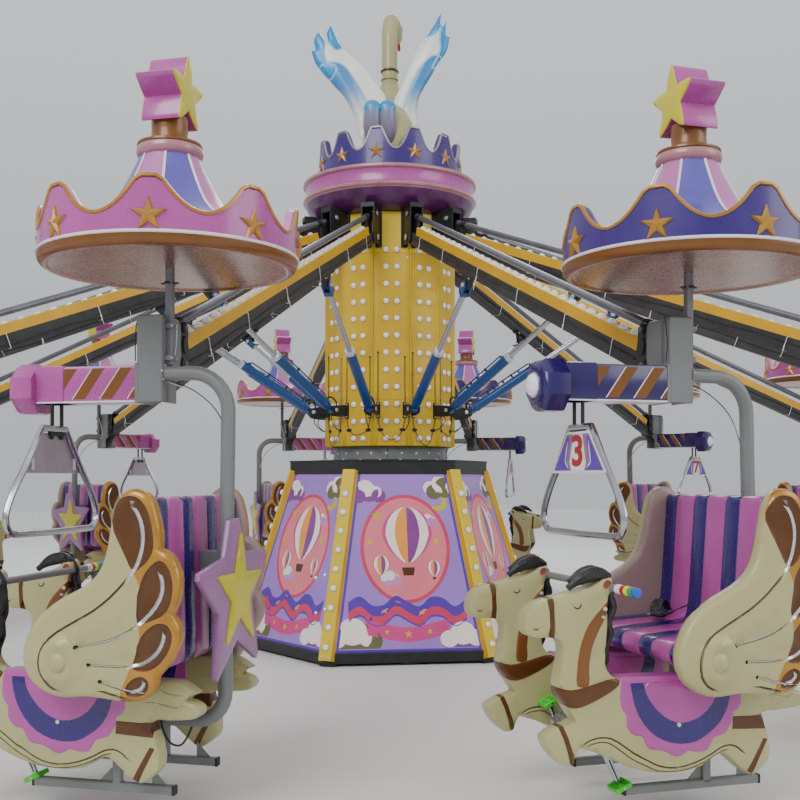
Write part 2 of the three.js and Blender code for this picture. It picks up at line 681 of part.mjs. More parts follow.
function armSets() {
  const arm = armSolid();
  const barrel = barrelSolid();
  const rod = rodSolid();
  const pinkCarriage = carriageSolid(PINK_CANOPY_PHASE);
  const purpleCarriage = carriageSolid(0);
  const group = new THREE.Group();
  for (let i = 0; i < ARM_COUNT; i += 1) {
    const number = String(i + 1).padStart(2, '0');
    const set = new THREE.Group();
    set.rotation.z = degToRad(FIRST_ARM_AZIMUTH + i * ARM_STEP - 90);

    const armMesh = meshOf(`arm_${number}`, arm, BLACK_PAINT);
    armMesh.position.set(SHOULDER.radius, 0, SHOULDER.height);
    armMesh.rotation.y = degToRad(ARM_SLOPE);

    const cylinder = new THREE.Group();
    cylinder.position.set(CYLINDER_BASE.radius, 0, CYLINDER_BASE.height);
    cylinder.rotation.y = -CYLINDER_ANGLE;
    cylinder.add(meshOf(`barrel_${number}`, barrel, BLUE_PAINT), meshOf(`rod_${number}`, rod, CHROME));

    const [carriage, colour] = i % 4 < 2 ? [pinkCarriage, PINK_GLOSS] : [purpleCarriage, PURPLE_GLOSS];
    const carriageMesh = meshOf(`carriage_${number}`, carriage, colour);
    carriageMesh.position.x = CARRIAGE_RADIUS;

    set.add(armMesh, cylinder, carriageMesh);
    group.add(set);
  }
  return group;
}

const ride = new THREE.Group();
ride.add(
  plinth(),
  tower(),
  meshOf('top_disc', roofDisc(), PINK_GLOSS),
  meshOf('top_crown', roofCrown(), PURPLE_GLOSS),
  swan(),
  armSets(),
);

export default ride;
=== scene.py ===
"""Looks of the fairground swan ride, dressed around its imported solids.

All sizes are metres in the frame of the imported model. Three local frames are used. An arm set has +X
pointing away from the tower. A carriage is built around the middle of its hanger with X outward (w)
and -Y along the direction of travel (u). The swan looks along +Y.
"""

from __future__ import annotations

import logging
import math
from contextlib import contextmanager
from dataclasses import dataclass, field
from enum import Enum
from typing import Callable, Iterable, Iterator, Sequence

import bmesh
import bpy
import numpy as np
from mathutils import Matrix, Vector
from mathutils.geometry import delaunay_2d_cdt

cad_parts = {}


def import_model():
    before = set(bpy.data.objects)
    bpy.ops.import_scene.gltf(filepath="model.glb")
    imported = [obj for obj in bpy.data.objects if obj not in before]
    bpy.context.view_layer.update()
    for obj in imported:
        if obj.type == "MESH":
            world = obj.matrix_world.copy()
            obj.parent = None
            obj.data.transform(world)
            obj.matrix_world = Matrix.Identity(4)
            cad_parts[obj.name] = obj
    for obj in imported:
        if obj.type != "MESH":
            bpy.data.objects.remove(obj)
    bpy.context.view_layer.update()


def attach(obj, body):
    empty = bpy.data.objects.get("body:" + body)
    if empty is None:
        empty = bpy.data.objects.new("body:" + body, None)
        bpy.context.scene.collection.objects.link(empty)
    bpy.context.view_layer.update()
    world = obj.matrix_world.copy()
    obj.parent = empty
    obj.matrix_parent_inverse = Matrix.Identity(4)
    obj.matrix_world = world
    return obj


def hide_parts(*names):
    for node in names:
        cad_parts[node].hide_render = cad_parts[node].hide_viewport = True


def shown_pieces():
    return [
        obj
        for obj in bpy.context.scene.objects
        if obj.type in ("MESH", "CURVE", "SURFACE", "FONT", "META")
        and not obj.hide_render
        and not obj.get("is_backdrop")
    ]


LOG = logging.getLogger("swan_ride")

Point2 = tuple[float, float]
Point3 = tuple[float, float, float]
Nodes = bpy.types.Nodes
Links = bpy.types.NodeLinks
Socket = bpy.types.NodeSocket

ARM_COUNT = 12
ARM_STEP = 30.0
FIRST_ARM_AZIMUTH = -51.3
CARRIAGE_RADIUS = 5.0
SHOULDER = (0.72, 3.65)
ARM_SLOPE = math.radians(20.8)
ARM_REACH = 4.02
ARM_LENGTH = ARM_REACH / math.cos(ARM_SLOPE)
ELBOW = (SHOULDER[0] + ARM_REACH, SHOULDER[1] - ARM_REACH * math.tan(ARM_SLOPE))
CYLINDER_BASE = (0.74, 2.15)
CYLINDER_ANGLE = math.radians(33.04)
CYLINDER_LENGTH = 1.567
LUG_ALONG = 1.476
LUG_BELOW = 0.130
SEAT_SETBACK = 0.052
CANOPY_AT = (-0.064, 0.078)
LOOP_SHIFT = -0.03
PINK_CANOPY_TURN = math.radians(16.6)
PURPLE_CANOPY_TURN = math.radians(45)
SWAN_AZIMUTH = -7.9
DISC_TOP = 4.28


def spin(degrees: float, axis: str = "Z") -> Matrix:
    """Turn about an axis.

    Args:
        degrees: How far.
        axis: X, Y or Z.

    Returns:
        The rotation.
    """
    return Matrix.Rotation(math.radians(degrees), 4, axis)


def shifted(x: float, y: float, z: float) -> Matrix:
    """Give the shift to a point.

    Args:
        x: The point's first coordinate.
        y: Its second.
        z: Its third.

    Returns:
        The shift.
    """
    return Matrix.Translation((x, y, z))


def linear(code: str) -> tuple[float, float, float, float]:
    """Turn a screen colour such as "#ffcc00" into linear light.

    Args:
        code: The colour as six hexadecimal digits after a hash.

    Returns:
        Red, green, blue and alpha in linear light.
    """
    parts = [int(code[i:i + 2], 16) / 255 for i in (1, 3, 5)]
    light = [c / 12.92 if c <= 0.04045 else ((c + 0.055) / 1.055) ** 2.4 for c in parts]
    return (light[0], light[1], light[2], 1.0)


class Texture(Enum):
    """The small-scale relief that a finish carries."""

    GELCOAT = "gelcoat"
    PAINT = "paint"
    BRUSHED = "brushed"
    # The rippled texture bumps the surface and also lays a painted reflection into its colour, in bent
    # rings of its shade.
    RIPPLED_PAINTED_REFLECTION = "rippled"
    WEBBING = "webbing"
    HAIR = "hair"


@dataclass(frozen=True)
class Finish:
    """One surface finish: its colours, gloss, relief and dust."""

    name: str
    color: str
    shade: str
    patches: float
    amount: float
    roughness: float
    dust: float
    spread: float = 0.1
    metallic: float = 0.0
    coat: float = 0.3
    texture: Texture = Texture.GELCOAT
    relief: float = 0.06
    fade: tuple[str, float, float] | None = None
    transmission: float = 0.0
    glow: float = 0.0


class Look:
    """The finishes of the ride, named for what they cover."""

    BLACK = Finish("black_steel", "#111217", "#25252a", 9, 0.5, 0.42, 0.1, spread=0.2, coat=0.1,
                   texture=Texture.PAINT, relief=0.12)
    # The beams' black is a little lighter and greyer than the brackets', with paler patches and more
    # dust.
    BEAM = Finish("greyer_black_beam", "#1e1e21", "#3b3a3c", 9, 0.5, 0.42, 0.2, spread=0.2, coat=0.1,
                  texture=Texture.PAINT, relief=0.12)
    GUNMETAL = Finish("gunmetal_tube", "#6f717a", "#4a4c55", 8, 0.4, 0.28, 0.15, spread=0.12,
                      metallic=0.6, coat=0.1, texture=Texture.BRUSHED, relief=0.05)
    GREY = Finish("pale_grey_steel", "#767a79", "#626564", 5, 0.3, 0.36, 0.2, spread=0.14, coat=0.15,
                  texture=Texture.PAINT, relief=0.08)
    YELLOW = Finish("tower_yellow", "#d6b000", "#b98c00", 4, 0.45, 0.38, 0.06, spread=0.14, coat=0.15,
                    texture=Texture.PAINT, relief=0.07)
    POST_YELLOW = Finish("post_yellow", "#e4c600", "#cba800", 5, 0.3, 0.36, 0.05, coat=0.15,
                         texture=Texture.PAINT)
    BROWN_GOLD = Finish("brown_gold", "#7c4a0c", "#5b350a", 7, 0.4, 0.3, 0.02, spread=0.12, metallic=0.15,
                        relief=0.08)
    GOLD = Finish("gold_trim", "#b9852a", "#8a5a16", 8, 0.45, 0.26, 0.02, spread=0.12, metallic=0.3,
                  coat=0.35)
    BRONZE = Finish("bronze_lobe", "#5f3403", "#432302", 9, 0.5, 0.3, 0.02, spread=0.12, metallic=0.25,
                    relief=0.08)
    SILVER = Finish("silver_line", "#d6dadd", "#aab0b4", 12, 0.3, 0.22, 0.05, metallic=0.7, coat=0.2,
                    relief=0.04)
    CHROME = Finish("chrome_tube", "#b9bcc2", "#93979e", 14, 0.25, 0.16, 0.04, metallic=1.0, coat=0.0,
                    texture=Texture.BRUSHED, relief=0.03)
    # The mirror's second colour is a painted reflection, laid through its colour in bent rings.
    MIRROR = Finish("rippled_mirror_painted_reflection", "#f2ece6", "#7a6658", 5, 0.1, 0.05, 0.0, spread=0.03, metallic=1.0,
                    coat=0.0, texture=Texture.RIPPLED_PAINTED_REFLECTION, relief=0.35)
    GALVANISED = Finish("galvanised_post", "#7d7f85", "#5f6167", 10, 0.4, 0.36, 0.12, spread=0.12,
                        metallic=0.5, coat=0.0, texture=Texture.BRUSHED, relief=0.05)
    # Darker grey painted as the shade in the hanger's recessed strip.
    RECESS_PAINTED_SHADE = Finish("grey_recess_painted_shade", "#5d5f66", "#4a4c53", 6, 0.3, 0.4, 0.15, coat=0.1,
                    texture=Texture.PAINT)
    CHANNEL = Finish("channel_yellow", "#daa600", "#bd8400", 5, 0.4, 0.38, 0.05, spread=0.12, coat=0.15,
                     texture=Texture.PAINT)
    CHANNEL_BED = Finish("channel_bed", "#e6dcb8", "#cbb985", 8, 0.4, 0.42, 0.1, coat=0.1,
                         texture=Texture.PAINT)
    TENT_BLUE = Finish("tent_blue", "#5448a8", "#6a64b8", 4, 0.5, 0.26, 0.02, coat=0.4)
    TENT_PINK = Finish("tent_pink", "#c070ac", "#ae5c9a", 4, 0.4, 0.26, 0.02, coat=0.4)
    BLUE = Finish("cylinder_blue", "#00478a", "#00346a", 8, 0.4, 0.28, 0.03, spread=0.12, metallic=0.1,
                  texture=Texture.PAINT)
    CREAM = Finish("cream_gelcoat", "#b2ac78", "#9a9462", 3, 0.4, 0.32, 0.1, spread=0.12, relief=0.1)
    # Cream darkened as painted shade in the grooves of the horses and wings, and as the clouds' shadows
    # in the plinth's picture.
    DARK_CREAM_PAINTED_SHADE = Finish("dark_cream_painted_shade", "#6f6840", "#575130", 12, 0.5, 0.45, 0.2, coat=0.1, relief=0.1)
    BLUSH = Finish("pale_pink_cream", "#a48a86", "#8c7470", 3, 0.35, 0.34, 0.12, coat=0.25, relief=0.08)
    PINK = Finish("pink_gelcoat", "#b24c9a", "#983a82", 3, 0.45, 0.22, 0.02, coat=0.4)
    PALE_PINK = Finish("pale_pink", "#d08ac4", "#b96fae", 4, 0.4, 0.26, 0.02, coat=0.35)
    DEEP_PINK = Finish("saddle_pink", "#b44a9c", "#9a3a84", 4, 0.4, 0.26, 0.02, coat=0.4)
    INDIGO = Finish("indigo_gelcoat", "#250c6a", "#1b0752", 3, 0.4, 0.22, 0.02, coat=0.4)
    PURPLE = Finish("purple_gelcoat", "#220a5c", "#180648", 3, 0.45, 0.2, 0.02, coat=0.4)
    CROWN = Finish("crown_purple", "#2e0d6f", "#45337c", 6, 0.5, 0.24, 0.02, spread=0.14, coat=0.35,
                   relief=0.08)
    UNDERSIDE = Finish("disc_underside", "#551656", "#360a3a", 4, 0.5, 0.26, 0.0, coat=0.4, relief=0.1)
    LILAC = Finish("lilac_panel", "#a67ed6", "#8f68c4", 2.5, 0.4, 0.3, 0.02, spread=0.08, coat=0.35,
                   relief=0.04)
    STAR_LILAC = Finish("star_lilac", "#9a689a", "#845684", 3, 0.4, 0.32, 0.03)
    STAR_YELLOW = Finish("star_yellow", "#cfc400", "#b4a600", 4, 0.35, 0.3, 0.05, coat=0.25, relief=0.08)
    TRIM_PURPLE = Finish("trim_purple", "#5a2eb0", "#431f8c", 6, 0.4, 0.3, 0.02, texture=Texture.PAINT,
                         relief=0.05)
    WHITE = Finish("white_paint", "#f2f1f0", "#d8d6d4", 6, 0.35, 0.34, 0.1, coat=0.2,
                   texture=Texture.PAINT)
    SEAM = Finish("white_seam", "#ece6ee", "#cfc6d4", 8, 0.3, 0.3, 0.1, relief=0.05)
    BULB = Finish("pearl_bulb", "#f3eef6", "#d9cfe6", 18, 0.5, 0.12, 0.0, spread=0.05, coat=0.6,
                  relief=0.02, glow=0.12)
    SOCKET = Finish("bulb_socket", "#b78a2a", "#7d5c14", 12, 0.4, 0.4, 0.1, metallic=0.2, coat=0.0,
                    texture=Texture.PAINT, relief=0.05)
    RED = Finish("numeral_red", "#b00014", "#88000e", 8, 0.3, 0.35, 0.02, coat=0.2, texture=Texture.PAINT,
                 relief=0.04)
    CORAL = Finish("art_coral", "#ea7f8c", "#e06678", 5, 0.35, 0.32, 0.05, spread=0.08, relief=0.03)
    ART_PINK = Finish("art_pink", "#d8408a", "#bd2f74", 5, 0.35, 0.32, 0.05, spread=0.08, relief=0.03)
    ART_CREAM = Finish("art_cream", "#fbf1ea", "#efdcdc", 5, 0.35, 0.32, 0.05, spread=0.08, relief=0.03)
    ART_ORANGE = Finish("art_orange", "#f7a53c", "#ea8a26", 5, 0.35, 0.32, 0.05, spread=0.08, relief=0.03)
    ART_PLUM = Finish("art_plum", "#8a3f93", "#6d2c7a", 5, 0.35, 0.32, 0.05, spread=0.08, relief=0.03)
    ART_RED = Finish("art_red", "#d83a63", "#bb2750", 5, 0.35, 0.32, 0.05, spread=0.08, relief=0.03)
    RUBBER = Finish("black_rubber", "#17171a", "#2a2a2e", 14, 0.4, 0.55, 0.2, spread=0.15, coat=0.0,
                    texture=Texture.PAINT, relief=0.1)
    MANE = Finish("black_mane", "#050506", "#0e0e12", 6, 0.4, 0.34, 0.0, spread=0.06, coat=0.15,
                  texture=Texture.HAIR, relief=0.35)
    STRAP = Finish("black_webbing", "#17181c", "#2c2d33", 30, 0.4, 0.6, 0.15, coat=0.0,
                   texture=Texture.WEBBING, relief=0.6)
    GREEN = Finish("pedal_green", "#2fce10", "#1ea406", 8, 0.3, 0.3, 0.1, coat=0.2, relief=0.08)
    GRIP_YELLOW = Finish("grip_yellow", "#f6e21a", "#ddc60c", 8, 0.3, 0.4, 0.05, coat=0.1, relief=0.1)
    GRIP_GREEN = Finish("grip_green", "#2fa83a", "#1f8a2a", 8, 0.3, 0.4, 0.05, coat=0.1, relief=0.1)
    GRIP_BLUE = Finish("grip_blue", "#1d62c4", "#144a9a", 8, 0.3, 0.4, 0.05, coat=0.1, relief=0.1)
    CLEAR = Finish("clear_guard", "#eef2f3", "#e2e8ea", 6, 0.2, 0.08, 0.0, spread=0.03, coat=0.0,
                   relief=0.02, transmission=0.9)
    EAR = Finish("ear_red_brown", "#a5473c", "#7f2f28", 9, 0.4, 0.4, 0.05, coat=0.2, relief=0.05)
    BEAK = Finish("beak_red", "#b3202c", "#7f1220", 9, 0.4, 0.25, 0.05, coat=0.4, relief=0.05)
    LIP = Finish("rolled_lip", "#b57c88", "#906468", 7, 0.5, 0.26, 0.04, metallic=0.1)
    ROSE = Finish("rose_gold_lip", "#9d6d60", "#7c5042", 6, 0.5, 0.22, 0.02, metallic=0.75, coat=0.2)
    EDGE_SILVER = Finish("edge_silver", "#a99ca4", "#7f7078", 9, 0.4, 0.3, 0.1, metallic=0.3)
    FLOOR = Finish("pale_floor", "#e4e3e0", "#dcdad6", 1, 0.3, 0.6, 0.0, coat=0.0, texture=Texture.PAINT,
                   relief=0.02)
    FEATHER_BLUE = Finish("feather_blue", "#0092d2", "#0074b8", 6, 0.4, 0.28, 0.02, coat=0.4)
    PALE_BLUE = Finish("pale_blue", "#a9d8ee", "#86c2e2", 6, 0.4, 0.3, 0.05)
    WING_FADE = Finish("wing_fade", "#f4f1e6", "#dfdac8", 4, 0.1, 0.3, 0.03, relief=0.08,
                       fade=("#0080c4", 4.8, 5.26))
    TIP_FADE = Finish("tip_fade", "#f1f0e6", "#dbd9c8", 4, 0.35, 0.3, 0.1, relief=0.08,
                      fade=("#b9ddf0", 5.45, 5.85))
    TAIL_FADE = Finish("tail_fade", "#857c92", "#716880", 6, 0.2, 0.3, 0.04, relief=0.08,
                       fade=("#3f9cc4", 4.7, 4.93))


class NodeGroups:
    """Shader node groups that several finishes share, each built once."""

    BROAD_DETAIL = 6.0
    FINE_SCALE = 55.0
    FINE_DETAIL = 3.0
    PATCH_RANGE = (0.35, 0.68)
    UPWARD_RANGE = (0.35, 0.95)
    GRAIN_RANGE = (0.38, 0.72)
    SPECK_SHARE = 0.12
    DUST_COLOR = (0.50, 0.46, 0.40, 1.0)

    def __init__(self) -> None:
        """Start with no group built."""
        self.built: dict[str, bpy.types.NodeTree] = {}

    @staticmethod
    def _sockets(tree: bpy.types.NodeTree, inputs: dict[str, str], outputs: dict[str, str]) -> None:
        """Give a group its named inputs and outputs.

        Args:
            tree: The group.
            inputs: Socket type for each input name.
            outputs: Socket type for each output name.
        """
        for name, kind in inputs.items():
            tree.interface.new_socket(name, in_out="INPUT", socket_type=kind)
        for name, kind in outputs.items():
            tree.interface.new_socket(name, in_out="OUTPUT", socket_type=kind)

    def weathering(self) -> bpy.types.NodeTree:
        """Build or fetch the group that varies a colour and its roughness and lays dust on top faces.

        Returns:
            The group, with outputs Color and Roughness.
        """
        if "weathering" in self.built:
            return self.built["weathering"]
        tree = bpy.data.node_groups.new("weathering", "ShaderNodeTree")
        self._sockets(
            tree,
            {"Color": "NodeSocketColor", "Shade": "NodeSocketColor", "Patches": "NodeSocketFloat",
             "Amount": "NodeSocketFloat", "Roughness": "NodeSocketFloat", "Spread": "NodeSocketFloat",
             "Dust": "NodeSocketFloat"},
            {"Color": "NodeSocketColor", "Roughness": "NodeSocketFloat"},
        )
        nodes, links = tree.nodes, tree.links
        given = nodes.new("NodeGroupInput")
        result = nodes.new("NodeGroupOutput")
        place = nodes.new("ShaderNodeTexCoord")
        broad = nodes.new("ShaderNodeTexNoise")
        broad.inputs["Detail"].default_value = self.BROAD_DETAIL
        fine = nodes.new("ShaderNodeTexNoise")
        fine.inputs["Scale"].default_value = self.FINE_SCALE
        fine.inputs["Detail"].default_value = self.FINE_DETAIL
        for texture in (broad, fine):
            links.new(place.outputs["Object"], texture.inputs["Vector"])
        links.new(given.outputs["Patches"], broad.inputs["Scale"])
        spread = self._ramp(nodes, links, broad.outputs["Fac"], *self.PATCH_RANGE)
        share = self._math(nodes, links, "MULTIPLY", spread, given.outputs["Amount"])
        base = self._mix(nodes, links, share, given.outputs["Color"], given.outputs["Shade"])
        surface = nodes.new("ShaderNodeNewGeometry")
        split = nodes.new("ShaderNodeSeparateXYZ")
        links.new(surface.outputs["Normal"], split.inputs["Vector"])
        upward = self._ramp(nodes, links, split.outputs["Z"], *self.UPWARD_RANGE)
        grains = self._ramp(nodes, links, fine.outputs["Fac"], *self.GRAIN_RANGE)
        settled = self._math(nodes, links, "MULTIPLY", upward, grains)
        speck = self._math(nodes, links, "MULTIPLY", grains, None, self.SPECK_SHARE)
        film = self._math(nodes, links, "ADD", settled, speck)
        dust = self._math(nodes, links, "MULTIPLY", film, given.outputs["Dust"])
        dusty = self._mix(nodes, links, dust, base, None, self.DUST_COLOR)
        links.new(dusty, result.inputs["Color"])
        wander = self._math(nodes, links, "MULTIPLY", fine.outputs["Fac"], given.outputs["Spread"])
        rough = self._math(nodes, links, "ADD", given.outputs["Roughness"], wander)
        worn = self._math(nodes, links, "ADD", rough, dust)
        links.new(worn, result.inputs["Roughness"])
        self.built["weathering"] = tree
        return tree

    def relief(self, texture: Texture) -> bpy.types.NodeTree:
        """Build or fetch the group that gives the height of a texture.

        Args:
            texture: Which small-scale relief is wanted.

        Returns:
            The group, with one output named Height.
        """
        key = "relief_" + texture.value
        if key in self.built:
            return self.built[key]
        tree = bpy.data.node_groups.new(key, "ShaderNodeTree")
        self._sockets(tree, {"Scale": "NodeSocketFloat"}, {"Height": "NodeSocketFloat"})
        nodes, links = tree.nodes, tree.links
        given = nodes.new("NodeGroupInput")
        result = nodes.new("NodeGroupOutput")
        place = nodes.new("ShaderNodeTexCoord")
        stretch = nodes.new("ShaderNodeMapping")
        links.new(place.outputs["Object"], stretch.inputs["Vector"])
        if texture in (Texture.WEBBING, Texture.HAIR):
            grain = nodes.new("ShaderNodeTexWave")
            grain.wave_type = "BANDS"
            grain.bands_direction = "DIAGONAL"
            grain.inputs["Distortion"].default_value = 0.6 if texture is Texture.WEBBING else 4.0
            grain.inputs["Detail"].default_value = 2.0
        else:
            grain = nodes.new("ShaderNodeTexNoise")
            grain.inputs["Detail"].default_value = 1.5
            if texture is Texture.BRUSHED:
                grain.inputs["Detail"].default_value = 3.0
                stretch.inputs["Scale"].default_value = (1.0, 1.0, 12.0)
        links.new(given.outputs["Scale"], grain.inputs["Scale"])
        links.new(stretch.outputs["Vector"], grain.inputs["Vector"])
        links.new(grain.outputs["Fac"], result.inputs["Height"])
        self.built[key] = tree
        return tree

    @staticmethod
    def _math(nodes: Nodes, links: Links, operation: str, first: Socket, second: Socket | None,
              value: float = 0.0) -> Socket:
        """Add a math node and return its output.

        Args:
            nodes: The nodes of the group.
            links: The links of the group.
            operation: The sum to do.
            first: The first input socket.
            second: The second input socket, or None to use value.
            value: The second number where second is None.

        Returns:
            The output socket.
        """
        node = nodes.new("ShaderNodeMath")
        node.operation = operation
        links.new(first, node.inputs[0])
        if second is None:
            node.inputs[1].default_value = value
        else:
            links.new(second, node.inputs[1])
        return node.outputs[0]

    @staticmethod
    def _ramp(nodes: Nodes, links: Links, source: Socket, low: float, high: float) -> Socket:
        """Stretch a value from low..high to 0..1 and return the output.

        Args:
            nodes: The nodes of the group.
            links: The links of the group.
            source: The socket that is stretched.
            low: The value that becomes 0.
            high: The value that becomes 1.

        Returns:
            The output socket.
        """
        node = nodes.new("ShaderNodeMapRange")
        node.inputs["From Min"].default_value = low
        node.inputs["From Max"].default_value = high
        links.new(source, node.inputs["Value"])
        return node.outputs["Result"]

    @staticmethod
    def _mix(nodes: Nodes, links: Links, share: Socket, first: Socket, second: Socket | None,
             color: tuple[float, float, float, float] | None = None) -> Socket:
        """Mix two colours and return the output.

        Args:
            nodes: The nodes of the group.
            links: The links of the group.
            share: The socket that says how much of the second colour shows.
            first: The first colour's socket.
            second: The second colour's socket, or None to use color.
            color: The second colour where second is None.

        Returns:
            The output socket.
        """
        node = nodes.new("ShaderNodeMix")
        node.data_type = "RGBA"
        links.new(share, node.inputs[0])
        links.new(first, node.inputs[6])
        if second is None:
            node.inputs[7].default_value = color
        else:
            links.new(second, node.inputs[7])
        return node.outputs[2]


class Paintbox:
    """Makes each finish's material once and hands it out."""

    RELIEF_SCALE = {
        Texture.GELCOAT: 24.0, Texture.PAINT: 90.0, Texture.BRUSHED: 60.0, Texture.RIPPLED_PAINTED_REFLECTION: 9.0,
        Texture.WEBBING: 260.0, Texture.HAIR: 45.0,
    }
    RELIEF_DEPTH = {Texture.RIPPLED_PAINTED_REFLECTION: 0.02, Texture.HAIR: 0.006, Texture.WEBBING: 0.001}
    USUAL_DEPTH = 0.002
    COAT_ROUGHNESS = 0.12
    # Shape and range of the bent rings of painted reflection on the mirror.
    REFLECTION_RING_SHAPE = {"Scale": 2.6, "Distortion": 9.0, "Detail": 2.0, "Detail Scale": 1.6}
    REFLECTION_RING_RANGE = (0.30, 1.15)

    def __init__(self) -> None:
        """Start with no material made."""
        self.groups = NodeGroups()
        self.made: dict[Finish, bpy.types.Material] = {}

    def material(self, finish: Finish) -> bpy.types.Material:
        """Make or fetch the material of a finish.

        Args:
            finish: The finish.

        Returns:
            Its material.
        """
        if finish in self.made:
            return self.made[finish]
        material = bpy.data.materials.new(finish.name)
        material.use_nodes = True
        nodes, links = material.node_tree.nodes, material.node_tree.links
        shader = nodes["Principled BSDF"]
        weather = nodes.new("ShaderNodeGroup")
        weather.node_tree = self.groups.weathering()
        weather.inputs["Shade"].default_value = linear(finish.shade)
        weather.inputs["Color"].default_value = linear(finish.color)
        for socket, value in (("Patches", finish.patches), ("Amount", finish.amount),
                              ("Dust", finish.dust), ("Roughness", finish.roughness),
                              ("Spread", finish.spread)):
            weather.inputs[socket].default_value = value
        if finish.fade:
            links.new(self._faded(nodes, links, finish), weather.inputs["Color"])
        # A rippled finish gets a painted reflection in bent rings of its shade.
        if finish.texture is Texture.RIPPLED_PAINTED_REFLECTION:
            links.new(self._painted_reflection_rings(nodes, links, finish), weather.inputs["Color"])
        links.new(weather.outputs["Color"], shader.inputs["Base Color"])
        links.new(weather.outputs["Roughness"], shader.inputs["Roughness"])
        shader.inputs["Metallic"].default_value = finish.metallic
        shader.inputs["Coat Weight"].default_value = finish.coat
        shader.inputs["Coat Roughness"].default_value = self.COAT_ROUGHNESS
        if finish.transmission:
            shader.inputs["Transmission Weight"].default_value = finish.transmission
        if finish.glow:
            shader.inputs["Emission Color"].default_value = linear(finish.color)
            shader.inputs["Emission Strength"].default_value = finish.glow
        height = nodes.new("ShaderNodeGroup")
        height.node_tree = self.groups.relief(finish.texture)
        height.inputs["Scale"].default_value = self.RELIEF_SCALE[finish.texture]
        bump = nodes.new("ShaderNodeBump")
        bump.inputs["Strength"].default_value = finish.relief
        bump.inputs["Distance"].default_value = self.RELIEF_DEPTH.get(finish.texture, self.USUAL_DEPTH)
        links.new(height.outputs["Height"], bump.inputs["Height"])
        links.new(bump.outputs["Normal"], shader.inputs["Normal"])
        self.made[finish] = material
        return material

    @staticmethod
    def _faded(nodes: Nodes, links: Links, finish: Finish) -> Socket:
        """Blend a finish's colour into its second colour with height.

        Args:
            nodes: The nodes of the material.
            links: The links of the material.
            finish: The finish, whose fade gives the colour and the heights where it starts and is full.

        Returns:
            The output socket with the blended colour.
        """
        color, start, full = finish.fade
        place = nodes.new("ShaderNodeTexCoord")
        split = nodes.new("ShaderNodeSeparateXYZ")
        links.new(place.outputs["Object"], split.inputs["Vector"])
        share = nodes.new("ShaderNodeMapRange")
        share.interpolation_type = "SMOOTHSTEP"
        share.inputs["From Min"].default_value = start
        share.inputs["From Max"].default_value = full
        links.new(split.outputs["Z"], share.inputs["Value"])
        return Paintbox._blend(nodes, links, share.outputs["Result"], finish.color, color)

    @staticmethod
    def _painted_reflection_rings(nodes: Nodes, links: Links, finish: Finish) -> Socket:
        """Paint a reflection into a finish's colour: its shade runs through it in bent rings, the painted
        reflection of a dented mirror.

        Args:
            nodes: The nodes of the material.
            links: The links of the material.
            finish: The finish.

        Returns:
            The output socket with the ringed colour.
        """
        place = nodes.new("ShaderNodeTexCoord")
        rings = nodes.new("ShaderNodeTexWave")
        rings.wave_type = "RINGS"
        rings.rings_direction = "Z"
        for socket, value in Paintbox.REFLECTION_RING_SHAPE.items():
            rings.inputs[socket].default_value = value
        links.new(place.outputs["Object"], rings.inputs["Vector"])
        share = nodes.new("ShaderNodeMapRange")
        low, high = Paintbox.REFLECTION_RING_RANGE
        share.inputs["From Min"].default_value = low
        share.inputs["From Max"].default_value = high
        links.new(rings.outputs["Fac"], share.inputs["Value"])
        return Paintbox._blend(nodes, links, share.outputs["Result"], finish.color, finish.shade)

    @staticmethod
    def _blend(nodes: Nodes, links: Links, share: Socket, first: str, second: str) -> Socket:
        """Mix two colours by a share.

        Args:
            nodes: The nodes of the material.
            links: The links of the material.
            share: The socket that says how much of the second colour shows.
            first: The first colour.
            second: The second colour.

        Returns:
            The output socket with the mixed colour.
        """
        blend = nodes.new("ShaderNodeMix")
        blend.data_type = "RGBA"
        blend.inputs[6].default_value = linear(first)
        blend.inputs[7].default_value = linear(second)
        links.new(share, blend.inputs[0])
        return blend.outputs[2]


PAINTBOX = Paintbox()


SHARP = 1


def metres(points: Iterable[Sequence[float]]) -> list[tuple[float, ...]]:
    """Turn points in millimetres into metres, and keep a corner mark.

    Args:
        points: Points as (x, y) or (x, y, SHARP).

    Returns:
        The points in metres.
    """
    return [(p[0] / 1000, p[1] / 1000, *p[2:]) for p in points]


def curve(points: Sequence[Sequence[float]], steps: int = 4) -> list[tuple[float, ...]]:
    """Run a smooth open line through points of any number of dimensions.

    Args:
        points: The points, at least two.
        steps: How many pieces each span is cut into.

    Returns:
        The points of the line.
    """
    given = [np.array(p, float) for p in points]
    if len(given) == 2:
        return [tuple(p) for p in given]
    padded = [2 * given[0] - given[1], *given, 2 * given[-1] - given[-2]]
    line = []
    for a, b, c, d in zip(padded, padded[1:], padded[2:], padded[3:]):
        t0 = max(np.linalg.norm(b - a), 1e-9) ** 0.5
        t1 = max(np.linalg.norm(c - b), 1e-9) ** 0.5
        t2 = max(np.linalg.norm(d - c), 1e-9) ** 0.5
        start = t1 * ((b - a) / t0 - (c - a) / (t0 + t1) + (c - b) / t1)
        end = t1 * ((c - b) / t1 - (d - b) / (t1 + t2) + (d - c) / t2)
        for k in range(steps):
            t = k / steps
            line.append(tuple(
                (2 * t**3 - 3 * t**2 + 1) * b + (t**3 - 2 * t**2 + t) * start
                + (3 * t**2 - 2 * t**3) * c + (t**3 - t**2) * end
            ))
    line.append(tuple(given[-1]))
    return line


def ccw(outline: Sequence[Point2]) -> list[Point2]:
    """Turn an outline round if it runs clockwise.

    Args:
        outline: The outline.

    Returns:
        The outline, counter-clockwise.
    """
    points = [tuple(p) for p in outline]
    area = sum(a[0] * b[1] - b[0] * a[1] for a, b in zip(points, points[1:] + points[:1]))
    return points if area > 0 else points[::-1]


